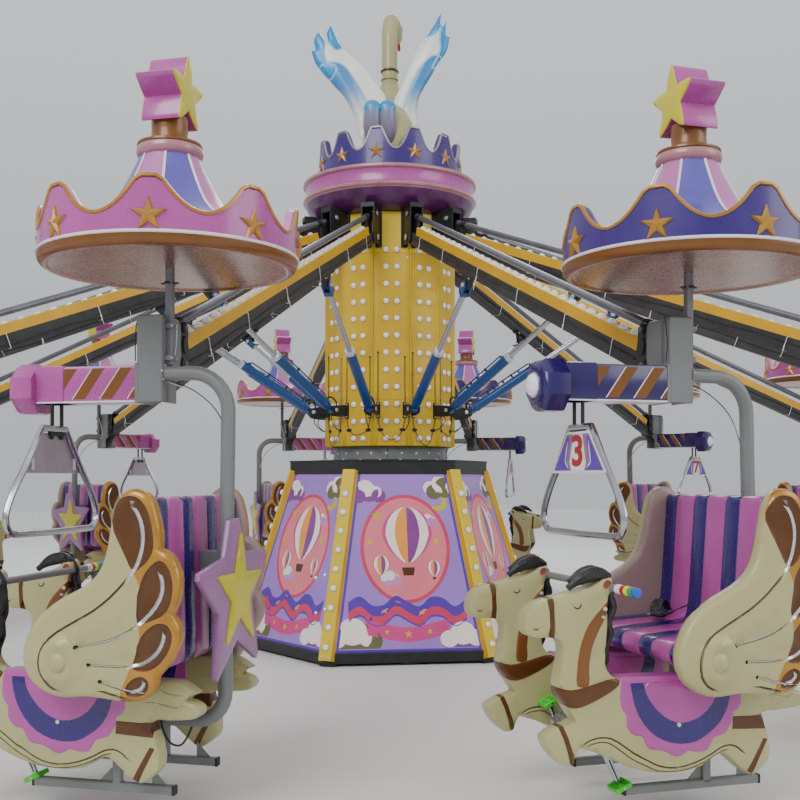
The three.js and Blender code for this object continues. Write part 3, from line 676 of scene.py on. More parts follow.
def loop(points: Sequence[Sequence[float]], steps: int = 4) -> list[Point2]:
    """Run a smooth closed outline through points, with a corner where a point is marked SHARP.

    Args:
        points: Points as (x, y) or (x, y, SHARP).
        steps: How many pieces each span is cut into.

    Returns:
        The outline, counter-clockwise.
    """
    count = len(points)
    corners = [i for i, p in enumerate(points) if len(p) > 2]
    flat = [tuple(p[:2]) for p in points]
    if not corners:
        reach = curve([flat[(i - 2) % count] for i in range(count + 5)], steps)
        outline = reach[2 * steps:(count + 2) * steps]
    else:
        outline = []
        for first, last in zip(corners, corners[1:] + [corners[0] + count]):
            span = [flat[i % count] for i in range(first, last + 1)]
            if len(span) == 2:
                outline.append(span[0])
            else:
                outline.extend(curve(span, steps)[:-1])
    return ccw(outline)


def polar(radius: float, angle: float, height: float) -> Point3:
    """Give the point at a distance from the Z axis.

    Args:
        radius: The distance.
        angle: The angle from +X, in radians.
        height: The height.

    Returns:
        The point.
    """
    return (radius * math.cos(angle), radius * math.sin(angle), height)


def around(count: int, phase: float = 0.0) -> list[float]:
    """Give the angles that cut a full turn into equal steps.

    Args:
        count: How many steps.
        phase: The first angle, in radians.

    Returns:
        The angles.
    """
    return [phase + 2 * math.pi * k / count for k in range(count)]


def ellipse(x: float, y: float, across: float, up: float, count: int = 20) -> list[Point2]:
    """Give the outline of an ellipse.

    Args:
        x: Centre across.
        y: Centre up.
        across: Half width.
        up: Half height.
        count: Number of points.

    Returns:
        The outline, counter-clockwise.
    """
    return [(x + across * math.cos(t), y + up * math.sin(t)) for t in around(count)]


def star(x: float, y: float, outer: float, inner: float, turn: float = 0.0) -> list[Point2]:
    """Give the outline of a five-pointed star.

    Args:
        x: Centre across.
        y: Centre up.
        outer: Radius of the points.
        inner: Radius of the notches.
        turn: How far it is turned, in radians.

    Returns:
        The outline, counter-clockwise.
    """
    outline = []
    for i in range(10):
        reach = inner if i % 2 else outer
        angle = math.pi / 2 + turn + i * math.pi / 5
        outline.append((x + reach * math.cos(angle), y + reach * math.sin(angle)))
    return outline


def blunted(outline: Sequence[Point2], first: float, others: float) -> list[Point2]:
    """Cut the points of a star outline off square.

    Args:
        outline: The star, from its top point on.
        first: How much of its sides the top point loses.
        others: How much of their sides the other points lose.

    Returns:
        The outline.
    """
    result = []
    for i, (x, y) in enumerate(outline):
        if i % 2:
            result.append((x, y))
            continue
        share = others if i else first
        for near in (outline[i - 1], outline[(i + 1) % len(outline)]):
            result.append((x + share * (near[0] - x), y + share * (near[1] - y)))
    return result


def resampled(outline: Sequence[Point2], step: float) -> list[Point2]:
    """Cut the long sides of an outline into pieces of about one step.

    Args:
        outline: The outline.
        step: The longest side that is left.

    Returns:
        The denser outline.
    """
    dense: list[Point2] = []
    for a, b in zip(outline, list(outline[1:]) + [outline[0]]):
        pieces = max(1, math.ceil(math.dist(a, b) / step))
        dense.extend((a[0] + (b[0] - a[0]) * k / pieces, a[1] + (b[1] - a[1]) * k / pieces)
                     for k in range(pieces))
    return dense


def inset(outline: Sequence[Point2], by: float) -> list[Point2]:
    """Move an outline inward by a small distance, with mitred corners.

    Args:
        outline: The outline, counter-clockwise.
        by: The distance; a negative one moves it outward.

    Returns:
        The moved outline with as many points.
    """
    points = np.array(outline, float)
    before = points - np.roll(points, 1, 0)
    after = np.roll(points, -1, 0) - points
    before /= np.maximum(np.linalg.norm(before, axis=1), 1e-9)[:, None]
    after /= np.maximum(np.linalg.norm(after, axis=1), 1e-9)[:, None]
    normals = np.stack([-(before + after)[:, 1], (before + after)[:, 0]], 1)
    normals /= np.maximum(np.linalg.norm(normals, axis=1), 1e-9)[:, None]
    lean = np.einsum("ij,ij->i", normals, np.stack([-before[:, 1], before[:, 0]], 1))
    return [tuple(p) for p in points + normals * (by / np.clip(lean, 0.4, 1.0))[:, None]]


def distance(points: np.ndarray, line: Sequence[Point2], closed: bool) -> np.ndarray:
    """Measure how far points lie from a line.

    Args:
        points: The points, one a row.
        line: The line's points.
        closed: Whether the line returns to its first point.

    Returns:
        The distances.
    """
    ends = np.array(line, float)
    starts = ends if closed else ends[:-1]
    stops = np.roll(ends, -1, 0) if closed else ends[1:]
    along = stops - starts
    length = np.maximum((along**2).sum(1), 1e-12)
    offset = points[:, None, :] - starts[None]
    share = np.clip((offset * along[None]).sum(2) / length[None], 0, 1)
    return np.sqrt(((offset - share[..., None] * along[None]) ** 2).sum(2)).min(1)


def inside(points: np.ndarray, outline: Sequence[Point2]) -> np.ndarray:
    """Tell which points lie within an outline.

    Args:
        points: The points, one a row.
        outline: The outline.

    Returns:
        True for each point that lies within.
    """
    within = np.zeros(len(points), bool)
    x, y = points[:, 0], points[:, 1]
    for (ax, ay), (bx, by) in zip(outline, list(outline[1:]) + [outline[0]]):
        if ay == by:
            continue
        crosses = (ay > y) != (by > y)
        within ^= crosses & (x < (bx - ax) * (y - ay) / (by - ay) + ax)
    return within


class MeshMaker:
    """Collects the points, faces and finishes of one piece, and makes its mesh."""

    def __init__(self, frame: Matrix | None = None) -> None:
        """Start empty.

        Args:
            frame: Where the points that are added next lie in the piece's own frame.
        """
        self.frame = frame or Matrix.Identity(4)
        self.points: list[Vector] = []
        self.faces: list[tuple[int, ...]] = []
        self.looks: list[int] = []
        self.finishes: list[Finish] = []

    @contextmanager
    def at(self, place: Matrix) -> Iterator[None]:
        """Add what follows at a place in the current frame, and then return to that frame.

        Args:
            place: The place.

        Yields:
            Nothing.
        """
        outer = self.frame
        self.frame = outer @ place
        yield
        self.frame = outer

    def look(self, finish: Finish) -> int:
        """Give the place of a finish in the piece's list.

        Args:
            finish: The finish.

        Returns:
            Its index.
        """
        if finish not in self.finishes:
            self.finishes.append(finish)
        return self.finishes.index(finish)

    def add(self, points: Iterable[Sequence[float]], faces: Iterable[Sequence[int]],
            finish: Finish | Callable[[int], Finish]) -> None:
        """Add points and faces.

        Args:
            points: The points, in the current frame.
            faces: Faces as places in the added points.
            finish: The finish, or one for each face by its number.
        """
        first = len(self.points)
        self.points.extend(self.frame @ Vector(p) for p in points)
        for number, face in enumerate(faces):
            self.faces.append(tuple(first + i for i in face))
            self.looks.append(self.look(finish(number) if callable(finish) else finish))

    def rings(self, rows: Sequence[Sequence[Sequence[float]]],
              finish: Finish | Callable[[int, int], Finish], caps: tuple[bool, bool] = (True, True),
              wrap: bool = True, join_ends: bool = False) -> None:
        """Skin a row of rings that all have as many points.

        Args:
            rows: The rings.
            finish: The finish, or one by row and by place in the ring.
            caps: Whether the first and the last ring are closed with a face.
            wrap: Whether each ring is closed on itself.
            join_ends: Whether the last ring is joined to the first.
        """
        width = len(rows[0])
        points = [p for row in rows for p in row]
        faces: list[tuple[int, ...]] = []
        looks: list[Finish] = []
        spans = len(rows) if join_ends else len(rows) - 1
        for i in range(spans):
            k = (i + 1) % len(rows)
            for j in range(width if wrap else width - 1):
                n = (j + 1) % width
                faces.append((i * width + j, i * width + n, k * width + n, k * width + j))
                looks.append(finish(i, j) if callable(finish) else finish)
        if caps[0]:
            faces.append(tuple(reversed(range(width))))
            looks.append(finish(0, 0) if callable(finish) else finish)
        if caps[1]:
            faces.append(tuple((len(rows) - 1) * width + j for j in range(width)))
            looks.append(finish(spans - 1, 0) if callable(finish) else finish)
        self.add(points, faces, lambda number: looks[number])

    def turned(self, profile: Sequence[Point2], finish: Finish | Callable[[int, int], Finish],
               segments: int = 24, phase: float = 0.0, closed: bool = False) -> None:
        """Turn a profile of (radius, height) about Z, from the outside bottom to the top.

        Args:
            profile: The profile.
            finish: The finish, or one by profile span and segment.
            segments: How many segments the turn has.
            phase: Where the first segment starts, in radians.
            closed: Whether the profile returns to its first point.
        """
        rows = []
        for radius, height in profile:
            radius = max(radius, 1e-5)
            rows.append([polar(radius, t, height) for t in around(segments, phase)])
        self.rings(rows, finish, (not closed, not closed), join_ends=closed)

    def tube(self, path: Sequence[Point3], radius: float | Sequence[float],
             finish: Finish | Callable[[int, int], Finish], sides: int = 12, closed: bool = False,
             flat: float = 1.0) -> None:
        """Sweep a round or flattened section along a path.

        Args:
            path: The points that it follows.
            radius: Its radius, or one for each point.
            finish: The finish, or one by span and side.
            sides: Number of sides.
            closed: Whether the path returns to its first point.
            flat: The section's second half width as a share of its first.
        """
        line = [Vector(p) for p in path]
        count = len(line)
        side = None
        rows = []
        for i, here in enumerate(line):
            before = line[i - 1] if closed or i else here
            after = line[(i + 1) % count] if closed or i < count - 1 else here
            along = (after - before).normalized()
            if side is None:
                side = along.orthogonal() if abs(along.z) > 0.99 else along.cross(Vector((0, 0, 1)))
            side = (side - along * side.dot(along)).normalized()
            up = side.cross(along)
            reach = radius[i] if isinstance(radius, Sequence) else radius
            turns = [2 * math.pi * (k + 0.5) / sides for k in range(sides)]
            rows.append([here + side * (reach * math.cos(t)) + up * (-reach * flat * math.sin(t))
                         for t in turns])
        self.rings(rows, finish, (not closed, not closed), join_ends=closed)

    def slab(self, outline: Sequence[Point2], low: float, high: float, finish: Finish,
             edge: float = 0.003, plane: str = "XY", top: Finish | None = None) -> None:
        """Give an outline a thickness, with its edges broken.

        Args:
            outline: The outline, counter-clockwise.
            low: Where the thickness starts; it may also be given second.
            high: Where it ends.
            finish: The finish.
            edge: The width of the broken edge.
            plane: XY, XZ with the thickness along -Y, or UZ with it along X and u along -Y.
            top: The finish of the face at the high side, if it is another one.
        """
        place = PLACES[plane]
        low, high = sorted((low, high))
        shrunk = inset(outline, edge)
        rows = [
            [place(*p, low) for p in shrunk], [place(*p, low + edge) for p in outline],
            [place(*p, high - edge) for p in outline], [place(*p, high) for p in shrunk],
        ]
        self.rings(rows, finish, (True, top is None))
        if top is not None:
            self.add(rows[-1], [tuple(range(len(outline)))], top)

    def block(self, low: Point3, high: Point3, finish: Finish, edge: float = 0.004) -> None:
        """Add a box with broken edges.

        Args:
            low: Its lowest corner.
            high: Its highest corner.
            finish: The finish.
            edge: The width of the broken edge.
        """
        outline = [
            (low[0] + edge, low[1]), (high[0] - edge, low[1]), (high[0], low[1] + edge),
            (high[0], high[1] - edge), (high[0] - edge, high[1]), (low[0] + edge, high[1]),
            (low[0], high[1] - edge), (low[0], low[1] + edge),
        ]
        self.slab(outline, low[2], high[2], finish, edge)

    def bolt(self, at: Point3, toward: Point3, radius: float = 0.009,
             finish: Finish | None = None) -> None:
        """Add a hexagonal bolt head on a washer.

        Args:
            at: Where it stands on the surface.
            toward: The direction that it points.
            radius: Half its width across corners.
            finish: The finish, silver unless one is given.
        """
        turn = Vector((0, 0, 1)).rotation_difference(Vector(toward)).to_matrix().to_4x4()
        with self.at(Matrix.Translation(at) @ turn):
            look = finish or Look.SILVER
            self.turned([(radius * 1.5, -0.001), (radius * 1.5, radius * 0.22)], look, 10)
            self.turned([(radius, radius * 0.2), (radius * 0.92, radius)], look, 6)

    def mesh(self, name: str, smooth_angle: float = 32.0) -> bpy.types.Mesh:
        """Make the mesh with its materials.

        Args:
            name: The mesh's name.
            smooth_angle: Edges that turn further than this many degrees stay crisp.

        Returns:
            The mesh.
        """
        mesh = bpy.data.meshes.new(name)
        mesh.from_pydata([tuple(p) for p in self.points], [], self.faces)
        for finish in self.finishes:
            mesh.materials.append(PAINTBOX.material(finish))
        mesh.polygons.foreach_set("material_index", self.looks)
        shape = bmesh.new()
        shape.from_mesh(mesh)
        bmesh.ops.remove_doubles(shape, verts=shape.verts, dist=2e-5)
        bmesh.ops.recalc_face_normals(shape, faces=shape.faces)
        shape.to_mesh(mesh)
        shape.free()
        mesh.shade_smooth()
        mesh.set_sharp_from_angle(angle=math.radians(smooth_angle))
        mesh.validate()
        return mesh


PLACES: dict[str, Callable[[float, float, float], Point3]] = {
    "XY": lambda p, q, h: (p, q, h),
    "XZ": lambda p, q, h: (p, -h, q),
    "ZX_BACK": lambda p, q, h: (-p, h, q),
    "UZ": lambda p, q, h: (h, -p, q),
}


@dataclass(frozen=True)
class Line:
    """A groove or a raised line across a relief, painted if it has a finish."""

    points: tuple[Point2, ...]
    width: float
    depth: float
    finish: Finish | None = None


@dataclass(frozen=True)
class Patch:
    """An area of a relief with its own finish, lifted like a cushion if it has a height."""

    outline: tuple[Point2, ...]
    finish: Finish | None = None
    height: float = 0.0
    edge: float = 0.02


@dataclass
class Relief:
    """A modelled sheet: an outline with rounded edges, cushions, grooves and painted areas."""

    outline: Sequence[Point2]
    half: float
    edge: float
    crown: float = 0.0
    reach: float = 0.1
    step: float = 0.035
    patches: list[Patch] = field(default_factory=list)
    lines: list[Line] = field(default_factory=list)
    shape: Callable[[np.ndarray], np.ndarray] | None = None

    def _seeds(self, fence: list[Point2]) -> np.ndarray:
        """Choose the loose points that carry the rounded edge, the grooves and the open areas.

        Args:
            fence: The outline, cut to the step.

        Returns:
            The points within the outline, one a row.
        """
        seeds: list[Point2] = []
        for share in (0.2, 0.55, 1.15) if self.edge > 0.02 else (0.25, 1.15):
            seeds.extend(self._ring(fence, self.edge * share))
        for patch in self.patches:
            if patch.height:
                border = ccw(resampled(patch.outline, self.step))
                for share in (0.3, 1.0):
                    seeds.extend(self._ring(border, patch.edge * share))
        for line in self.lines:
            if not line.finish:
                for offset in (-0.5, 0.0, 0.5):
                    seeds.extend(self._beside(line.points, line.width * offset, self.step * 0.8))
            else:
                seeds.extend(self._beside(line.points, 0.0, self.step * 0.8))
        points = np.array(fence, float)
        low, high = points.min(0), points.max(0)
        across = np.arange(low[0], high[0], self.step)
        up = np.arange(low[1], high[1], self.step * 0.87)
        for j, y in enumerate(up):
            seeds.extend((x + (j % 2) * self.step / 2, y) for x in across)
        spots = np.array(seeds, float)
        spots = spots[inside(spots, fence)]
        near = distance(spots, fence, True)
        return spots[near > min(self.edge, self.step) * 0.1]

    @staticmethod
    def _ring(outline: Sequence[Point2], by: float) -> list[Point2]:
        """Give the points of an outline moved inward, without those that come too near it again.

        Args:
            outline: The outline.
            by: The distance.

        Returns:
            The points that are kept.
        """
        moved = np.array(inset(outline, by), float)
        clear = distance(moved, outline, True) > by * 0.9
        return [tuple(p) for p in moved[clear & inside(moved, outline)]]

    @staticmethod
    def _beside(line: Sequence[Point2], by: float, step: float) -> list[Point2]:
        """Give points along an open line, moved to one side.

        Args:
            line: The line.
            by: The distance to the left.
            step: The longest gap between points.

        Returns:
            The points.
        """
        result: list[Point2] = []
        for a, b in zip(line, line[1:]):
            run = Vector(b) - Vector(a)
            side = Vector((-run.y, run.x)).normalized() * by
            pieces = max(1, math.ceil(run.length / step))
            result.extend(tuple(Vector(a) + run * (k / pieces) + side) for k in range(pieces))
        return result

    def height(self, spots: np.ndarray, fence: Sequence[Point2], plain: bool = False) -> np.ndarray:
        """Work out how far the face stands off the middle plane.

        Args:
            spots: The points, one a row.
            fence: The outline.
            plain: Whether cushions and lines are left out.

        Returns:
            The heights.
        """
        near = distance(spots, fence, True)
        round_edge = np.clip(near / self.edge, 0, 1)
        height = self.half - self.edge + self.edge * np.sqrt(1 - (1 - round_edge) ** 2)
        height = height + self.crown * np.sin(np.clip(near / self.reach, 0, 1) * math.pi / 2)
        if self.shape:
            height = height + self.shape(spots)
        if plain:
            return height
        for patch in self.patches:
            if patch.height:
                within = inside(spots, patch.outline)
                share = np.clip(distance(spots, patch.outline, True) / patch.edge, 0, 1)
                height += np.where(within, patch.height * np.sqrt(1 - (1 - share) ** 2), 0)
        open_area = np.clip(near / (self.edge * 0.5), 0, 1)
        for line in self.lines:
            share = np.clip(1 - distance(spots, line.points, False) / (line.width / 2), 0, 1)
            height += line.depth * np.sqrt(share) * open_area
        return height

    def build(self, maker: MeshMaker, place: Callable[[float, float, float], Point3], face: Finish,
              back: Finish | None = None, wall: Finish | None = None, mirrored: bool = True) -> None:
        """Triangulate the sheet and add both faces and the rim.

        Args:
            maker: The piece that it is added to.
            place: Turns (across, up, off the middle plane) into a point.
            face: The finish of the face.
            back: The finish of the back; the face's unless one is given, when it is also plain.
            wall: The finish of the rim; that of the face beside it unless one is given.
            mirrored: Whether the back carries the same relief as the face.
        """
        fence = ccw(resampled(self.outline, self.step))
        rims = [fence]
        owners: list[Patch | Line] = []
        for patch in self.patches:
            rims.append(ccw(resampled(patch.outline, self.step)))
            owners.append(patch)
        for line in self.lines:
            if line.finish:
                left = self._beside(line.points, line.width / 2, self.step)
                right = self._beside(line.points[::-1], line.width / 2, self.step)
                rims.append(ccw(left + right))
                owners.append(line)
        spots: list[Point2] = []
        faces: list[list[int]] = []
        for rim in rims:
            faces.append(list(range(len(spots), len(spots) + len(rim))))
            spots.extend(rim)
        spots.extend(tuple(p) for p in self._seeds(fence))
        found = delaunay_2d_cdt([Vector(p) for p in spots], [], faces, 1, 1e-5)
        points = np.array([tuple(v) for v in found[0]], float)
        triangles, looks = [], []
        for triangle, inside_of in zip(found[2], found[5]):
            if 0 not in inside_of:
                continue
            triangles.append(tuple(triangle))
            named = [owners[k - 1].finish for k in inside_of if k and owners[k - 1].finish]
            looks.append(named[-1] if named else face)
        front = self.height(points, fence)
        behind = -front if mirrored else -self.height(points, fence, True)
        rim_edges = self._rim(triangles)
        on_rim = sorted({i for a, b, _ in rim_edges for i in (a, b)})
        for i in on_rim:
            behind[i] = -front[i] if mirrored else -(self.half - self.edge)
        count = len(points)
        upper = [place(p[0], p[1], h) for p, h in zip(points, front)]
        lower = [place(p[0], p[1], h) for p, h in zip(points, behind)]
        shapes = triangles + [tuple(reversed([i + count for i in t])) for t in triangles]
        shapes += [(a, a + count, b + count, b) for a, b, _ in rim_edges]
        walls = [wall or looks[k] for _, _, k in rim_edges]
        coats = looks + ([back] * len(looks) if back else looks) + walls
        maker.add(upper + lower, shapes, lambda number: coats[number])

    @staticmethod
    def _rim(triangles: Sequence[Sequence[int]]) -> list[tuple[int, int, int]]:
        """Find the edges that only one triangle has.

        Args:
            triangles: The triangles.

        Returns:
            The edges, as the triangles run, each with its triangle's number.
        """
        sides = [(t[k], t[(k + 1) % 3], number) for number, t in enumerate(triangles) for k in range(3)]
        seen: dict[tuple[int, int], int] = {}
        for a, b, _ in sides:
            key = (min(a, b), max(a, b))
            seen[key] = seen.get(key, 0) + 1
        return [side for side in sides if seen[(min(side[:2]), max(side[:2]))] == 1]


@dataclass
class Piece:
    """A finished piece: its mesh, where it stands, and what it rides on."""

    name: str
    mesh: bpy.types.Mesh
    body: str
    slot: str
    frame: Matrix = field(default_factory=lambda: Matrix.Identity(4))
    replaces: tuple[str, ...] = ()

    def place(self) -> bpy.types.Object:
        """Put the piece into the scene.

        Returns:
            The object.
        """
        thing = bpy.data.objects.new(self.name, self.mesh)
        bpy.context.scene.collection.objects.link(thing)
        thing.matrix_world = self.frame
        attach(thing, self.body)
        if self.replaces:
            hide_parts(*self.replaces)
        LOG.info("%s rides on %s", self.name, self.body)
        return thing


def turned_to(azimuth: float) -> Matrix:
    """Turn the arm frame, whose +X points away from the tower, to an azimuth counted from -Y to +X.

    Args:
        azimuth: The azimuth in degrees.

    Returns:
        The rotation.
    """
    return spin(azimuth - 90)


def bulb(maker: MeshMaker, at: Point3, toward: Sequence[float], radius: float = 0.0265, sides: int = 12,
         base: Finish = Look.SOCKET) -> None:
    """Add a pearl bulb in its socket ring.

    Args:
        maker: The piece that it is added to.
        at: Where the socket stands on the surface.
        toward: The direction that it points.
        radius: The bulb's radius.
        sides: Its number of sides.
        base: The finish of the socket ring.
    """
    turn = Vector((0, 0, 1)).rotation_difference(Vector(toward)).to_matrix().to_4x4()
    with maker.at(Matrix.Translation(at) @ turn):
        maker.turned([(radius * 1.16, -0.002), (radius * 1.14, 0.003), (radius * 1.0, 0.004)], base,
                     sides)
        dome = [(radius * math.cos(t), 0.003 + radius * 0.86 * math.sin(t))
                for t in (0.0, 0.5, 0.95, 1.35)]
        maker.turned(dome, Look.BULB, sides)


def faceted_star(maker: MeshMaker, outer: float, inner: float, rise: float, face: Finish,
                 side: Finish) -> None:
    """Add a five-pointed star with a ridge to each point, standing off the current frame's X-Y plane.

    Args:
        maker: The piece that it is added to.
        outer: Radius of the points.
        inner: Radius of the notches.
        rise: How far the middle stands off.
        face: The finish of the facets.
        side: The finish of the border round them.
    """
    border = star(0, 0, outer, inner)
    core = inset(border, outer * 0.07)
    maker.rings([[(*p, -0.004) for p in border], [(*p, rise * 0.45) for p in core]], side, (True, False))
    points = [(*p, rise * 0.45) for p in core] + [(0, 0, rise)]
    maker.add(points, [(i, (i + 1) % 10, 10) for i in range(10)], face)


@dataclass
class Crown:
    """A ring with a row of peaks, a gold edge and a star under each peak."""

    radius: float
    wall: float
    base: float
    valley: float
    peak: float
    peaks: int
    skin: Finish
    lining: Finish
    trim: Finish
    star_radius: float
    star_height: float
    peak_width: float = 0.10
    bead: float = 0.011
    phase: float = 0.0

    def top(self, turn: float) -> float:
        """Give the height of the edge.

        Args:
            turn: The angle round the ring, in radians.

        Returns:
            The height.
        """
        sector = 2 * math.pi / self.peaks
        away = abs((turn - self.phase + sector / 2) % sector - sector / 2) / (sector / 2)
        flat = self.peak_width / self.radius / sector
        share = min(max((away - flat) / (1 - flat), 0.0), 1.0)
        share = math.hypot(share, 0.08) - 0.08
        return self.valley + (self.peak - self.valley) * (1 - share) ** 2.3

    def build(self, maker: MeshMaker, steps: int = 20) -> None:
        """Add the ring, its edge bead and its stars.

        Args:
            maker: The piece that it is added to.
            steps: Columns to each peak.
        """
        count = self.peaks * steps
        turns = around(count, self.phase)
        inner = self.radius - self.wall

        def ring(radius: float, share: float) -> list[Point3]:
            """Give the ring of points at a radius, a share of the way up to the edge."""
            return [polar(radius, t, self.base + (self.top(t) - self.base) * share) for t in turns]

        rows = [ring(self.radius, s) for s in (0.0, 0.3, 0.65, 0.95)]
        rows += [ring(self.radius - self.wall * 0.3, 1.0), ring(inner + self.wall * 0.3, 1.0)]
        rows += [ring(inner, s) for s in (0.95, 0.5, 0.0)]
        looks = [self.skin] * 4 + [self.lining] * 5
        maker.rings(rows, lambda i, _: looks[i], (False, False), join_ends=True)
        edge = [polar(self.radius - 0.002, t, self.top(t)) for t in turns]
        maker.tube(edge, self.bead, self.trim, 5, closed=True)
        for turn in around(self.peaks, self.phase):
            out = Matrix.Rotation(turn, 4, "Z") @ shifted(self.radius, 0, self.star_height)
            with maker.at(out @ spin(90, "Y") @ spin(90)):
                faceted_star(maker, self.star_radius, self.star_radius * 0.4, 0.024, Look.GOLD, self.trim)


@dataclass
class Plinth:
    """The six-sided foot: skirt, printed panels, corner posts with bulbs, and the top band."""

    sides: int = 6
    skirt_radius: float = 1.40
    skirt_low: float = 0.022
    skirt_top: float = 0.11
    foot_radius: float = 1.373
    neck_radius: float = 0.914
    band_low: float = 1.587
    band_top: float = 1.706
    band_radius: float = 0.93
    post_half: float = 0.052
    bulbs: int = 9
    bulb_gap: float = 0.164

    def corners(self, radius: float) -> list[Point2]:
        """Give the hexagon's corners.

        Args:
            radius: The radius of the corners.

        Returns:
            The corners, counter-clockwise.
        """
        turns = [math.radians(60 * k) for k in range(self.sides)]
        return [(radius * math.cos(t), radius * math.sin(t)) for t in turns]

    def slope(self) -> tuple[float, float, float]:
        """Work out the panels' size.

        Returns:
            The length up the slope, the foot's distance from the axis, and the lean from upright.
        """
        apothem = math.cos(math.pi / self.sides)
        run = (self.foot_radius - self.neck_radius) * apothem
        rise = self.band_low - self.skirt_top
        return math.hypot(run, rise), self.foot_radius * apothem, math.atan2(run, rise)

    def skirt(self) -> bpy.types.Mesh:
        """Build the black skirt with its feet.

        Returns:
            The mesh.
        """
        maker = MeshMaker()
        maker.slab(self.corners(self.skirt_radius), self.skirt_low, self.skirt_top, Look.BLACK, 0.006)
        for k in range(self.sides * 2):
            turn = math.radians(30 * k)
            reach = self.skirt_radius * (1.0 if k % 2 == 0 else math.cos(math.pi / 6)) - 0.09
            maker.frame = Matrix.Rotation(turn, 4, "Z")
            maker.block((reach - 0.07, -0.07, 0.0), (reach + 0.06, 0.07, self.skirt_low + 0.004),
                        Look.BLACK, 0.005)
            maker.bolt((reach + 0.02, 0.04, self.skirt_top), (0, 0, 1), 0.008)
        return maker.mesh("plinth_skirt")

    def art(self, length: float) -> list[Patch]:
        """Compose the panel's picture: a striped hot-air balloon over clouds, with stars and ribbons.

        Args:
            length: The panel's length up the slope.

        Returns:
            The painted areas, from the back to the front.
        """
        low = self.foot_radius / 2
        high = self.neck_radius / 2

        def clipped(points: list[Point2]) -> tuple[Point2, ...]:
            """Keep an outline within the panel's margins.

            Args:
                points: The outline.

            Returns:
                The outline, with what ran over the margins moved onto them.
            """
            kept = []
            for x, y in points:
                y = min(max(y, 0.030), length - 0.030)
                edge = low + (high - low) * y / length - 0.085
                kept.append((min(max(x, -edge), edge), y))
            return tuple(kept)

        patches: list[Patch] = []

        def paint(points: list[Point2], finish: Finish) -> None:
            """Lay an area with its finish over the picture."""
            patches.append(Patch(clipped(points), finish))

        def cloud(x: float, y: float, size: float, shade: Finish, light: Finish) -> None:
            """Paint a cloud of three puffs over its shadow.

            Args:
                x: Its middle across.
                y: Its middle up.
                size: The size that its puffs are measured by.
                shade: The finish of the shadow.
                light: The finish of the puffs.
            """
            for dx, dy, r in ((-0.9, 0.0, 0.62), (0.0, 0.35, 0.85), (0.85, 0.05, 0.6)):
                paint(ellipse(x + dx * size + 0.03, y + dy * size - 0.035, r * size * 1.05, r * size, 16),
                      shade)
            for dx, dy, r in ((-0.9, 0.0, 0.6), (0.0, 0.35, 0.82), (0.85, 0.05, 0.58)):
                paint(ellipse(x + dx * size, y + dy * size, r * size, r * size * 0.92, 16), light)

        paint(ellipse(0.0, 0.87, 0.385, 0.47, 40), Look.ART_RED)
        paint(ellipse(0.0, 0.87, 0.355, 0.44, 40), Look.CORAL)
        cloud(-0.47, 0.12, 0.15, Look.DARK_CREAM_PAINTED_SHADE, Look.ART_CREAM)
        cloud(0.46, 0.10, 0.13, Look.ART_PLUM, Look.ART_CREAM)
        cloud(-0.33, 1.36, 0.10, Look.ART_PLUM, Look.ART_CREAM)
        cloud(0.34, 1.40, 0.11, Look.DARK_CREAM_PAINTED_SHADE, Look.ART_CREAM)
        cloud(-0.14, 0.62, 0.055, Look.PALE_PINK, Look.WHITE)
        cloud(0.20, 1.12, 0.045, Look.PALE_PINK, Look.WHITE)
        for shift, finish in ((0.0, Look.TRIM_PURPLE), (0.045, Look.ART_ORANGE), (0.085, Look.ART_RED)):
            wave = [(-0.50 + 0.1 * k, 0.42 - shift + 0.05 * math.sin(1.9 * k)) for k in range(11)]
            under = [(x, y - 0.17 + shift * 1.2) for x, y in reversed(wave)]
            paint(curve(wave, 3) + curve(under, 3), finish)
        ribbon = curve([(-0.36, 0.27), (0, 0.20), (0.36, 0.27)], 6)
        ribbon += curve([(0.34, 0.14), (0, 0.08), (-0.34, 0.14)], 6)
        paint(ribbon, Look.ART_PINK)
        self._balloon(paint, (0.02, 0.99), 0.215)
        self._balloon(paint, (-0.21, 0.73), 0.075)
        self._balloon(paint, (0.24, 0.70), 0.06)
        for x, y, r in ((-0.24, 1.16, 0.045), (0.27, 0.93, 0.035), (-0.30, 0.93, 0.03),
                        (0.12, 0.335, 0.05), (-0.2, 0.35, 0.04), (0.0, 0.145, 0.035),
                        (-0.18, 0.165, 0.025), (0.18, 0.165, 0.025)):
            paint(star(x, y, r, r * 0.42), Look.STAR_YELLOW)
        moon = [(0.30 + 0.075 * math.cos(t), 1.27 + 0.075 * math.sin(t))
                for t in np.linspace(-2.4, 0.9, 12)]
        bite = [(0.275 + 0.062 * math.cos(t), 1.295 + 0.062 * math.sin(t))
                for t in np.linspace(0.6, -2.1, 10)]
        paint(moon + bite, Look.STAR_YELLOW)
        return patches

    @staticmethod
    def _balloon(paint: Callable[[list[Point2], Finish], None], at: Point2, radius: float) -> None:
        """Paint a striped balloon with its basket.

        Args:
            paint: Takes an outline and its finish.
            at: The middle of the envelope.
            radius: Its half width.
        """
        x, y = at
        looks = (Look.ART_PINK, Look.ART_CREAM, Look.ART_ORANGE, Look.ART_PLUM, Look.ART_CREAM,
                 Look.ART_PINK)
        heights = [math.pi * k / 12 for k in range(13)]

        def meridian(share: float) -> list[Point2]:
            """Give the balloon's line from its top to its mouth.

            Args:
                share: Where it swells to, as a share of the half width; negative to the left.

            Returns:
                The line.
            """
            line = []
            for t in heights:
                up = math.cos(t)
                belly = math.sin(t) if up > 0 else max(math.sin(t) * (1 + 0.25 * up), 0.22)
                line.append((x + share * radius * belly, y + radius * 1.12 * up))
            return line

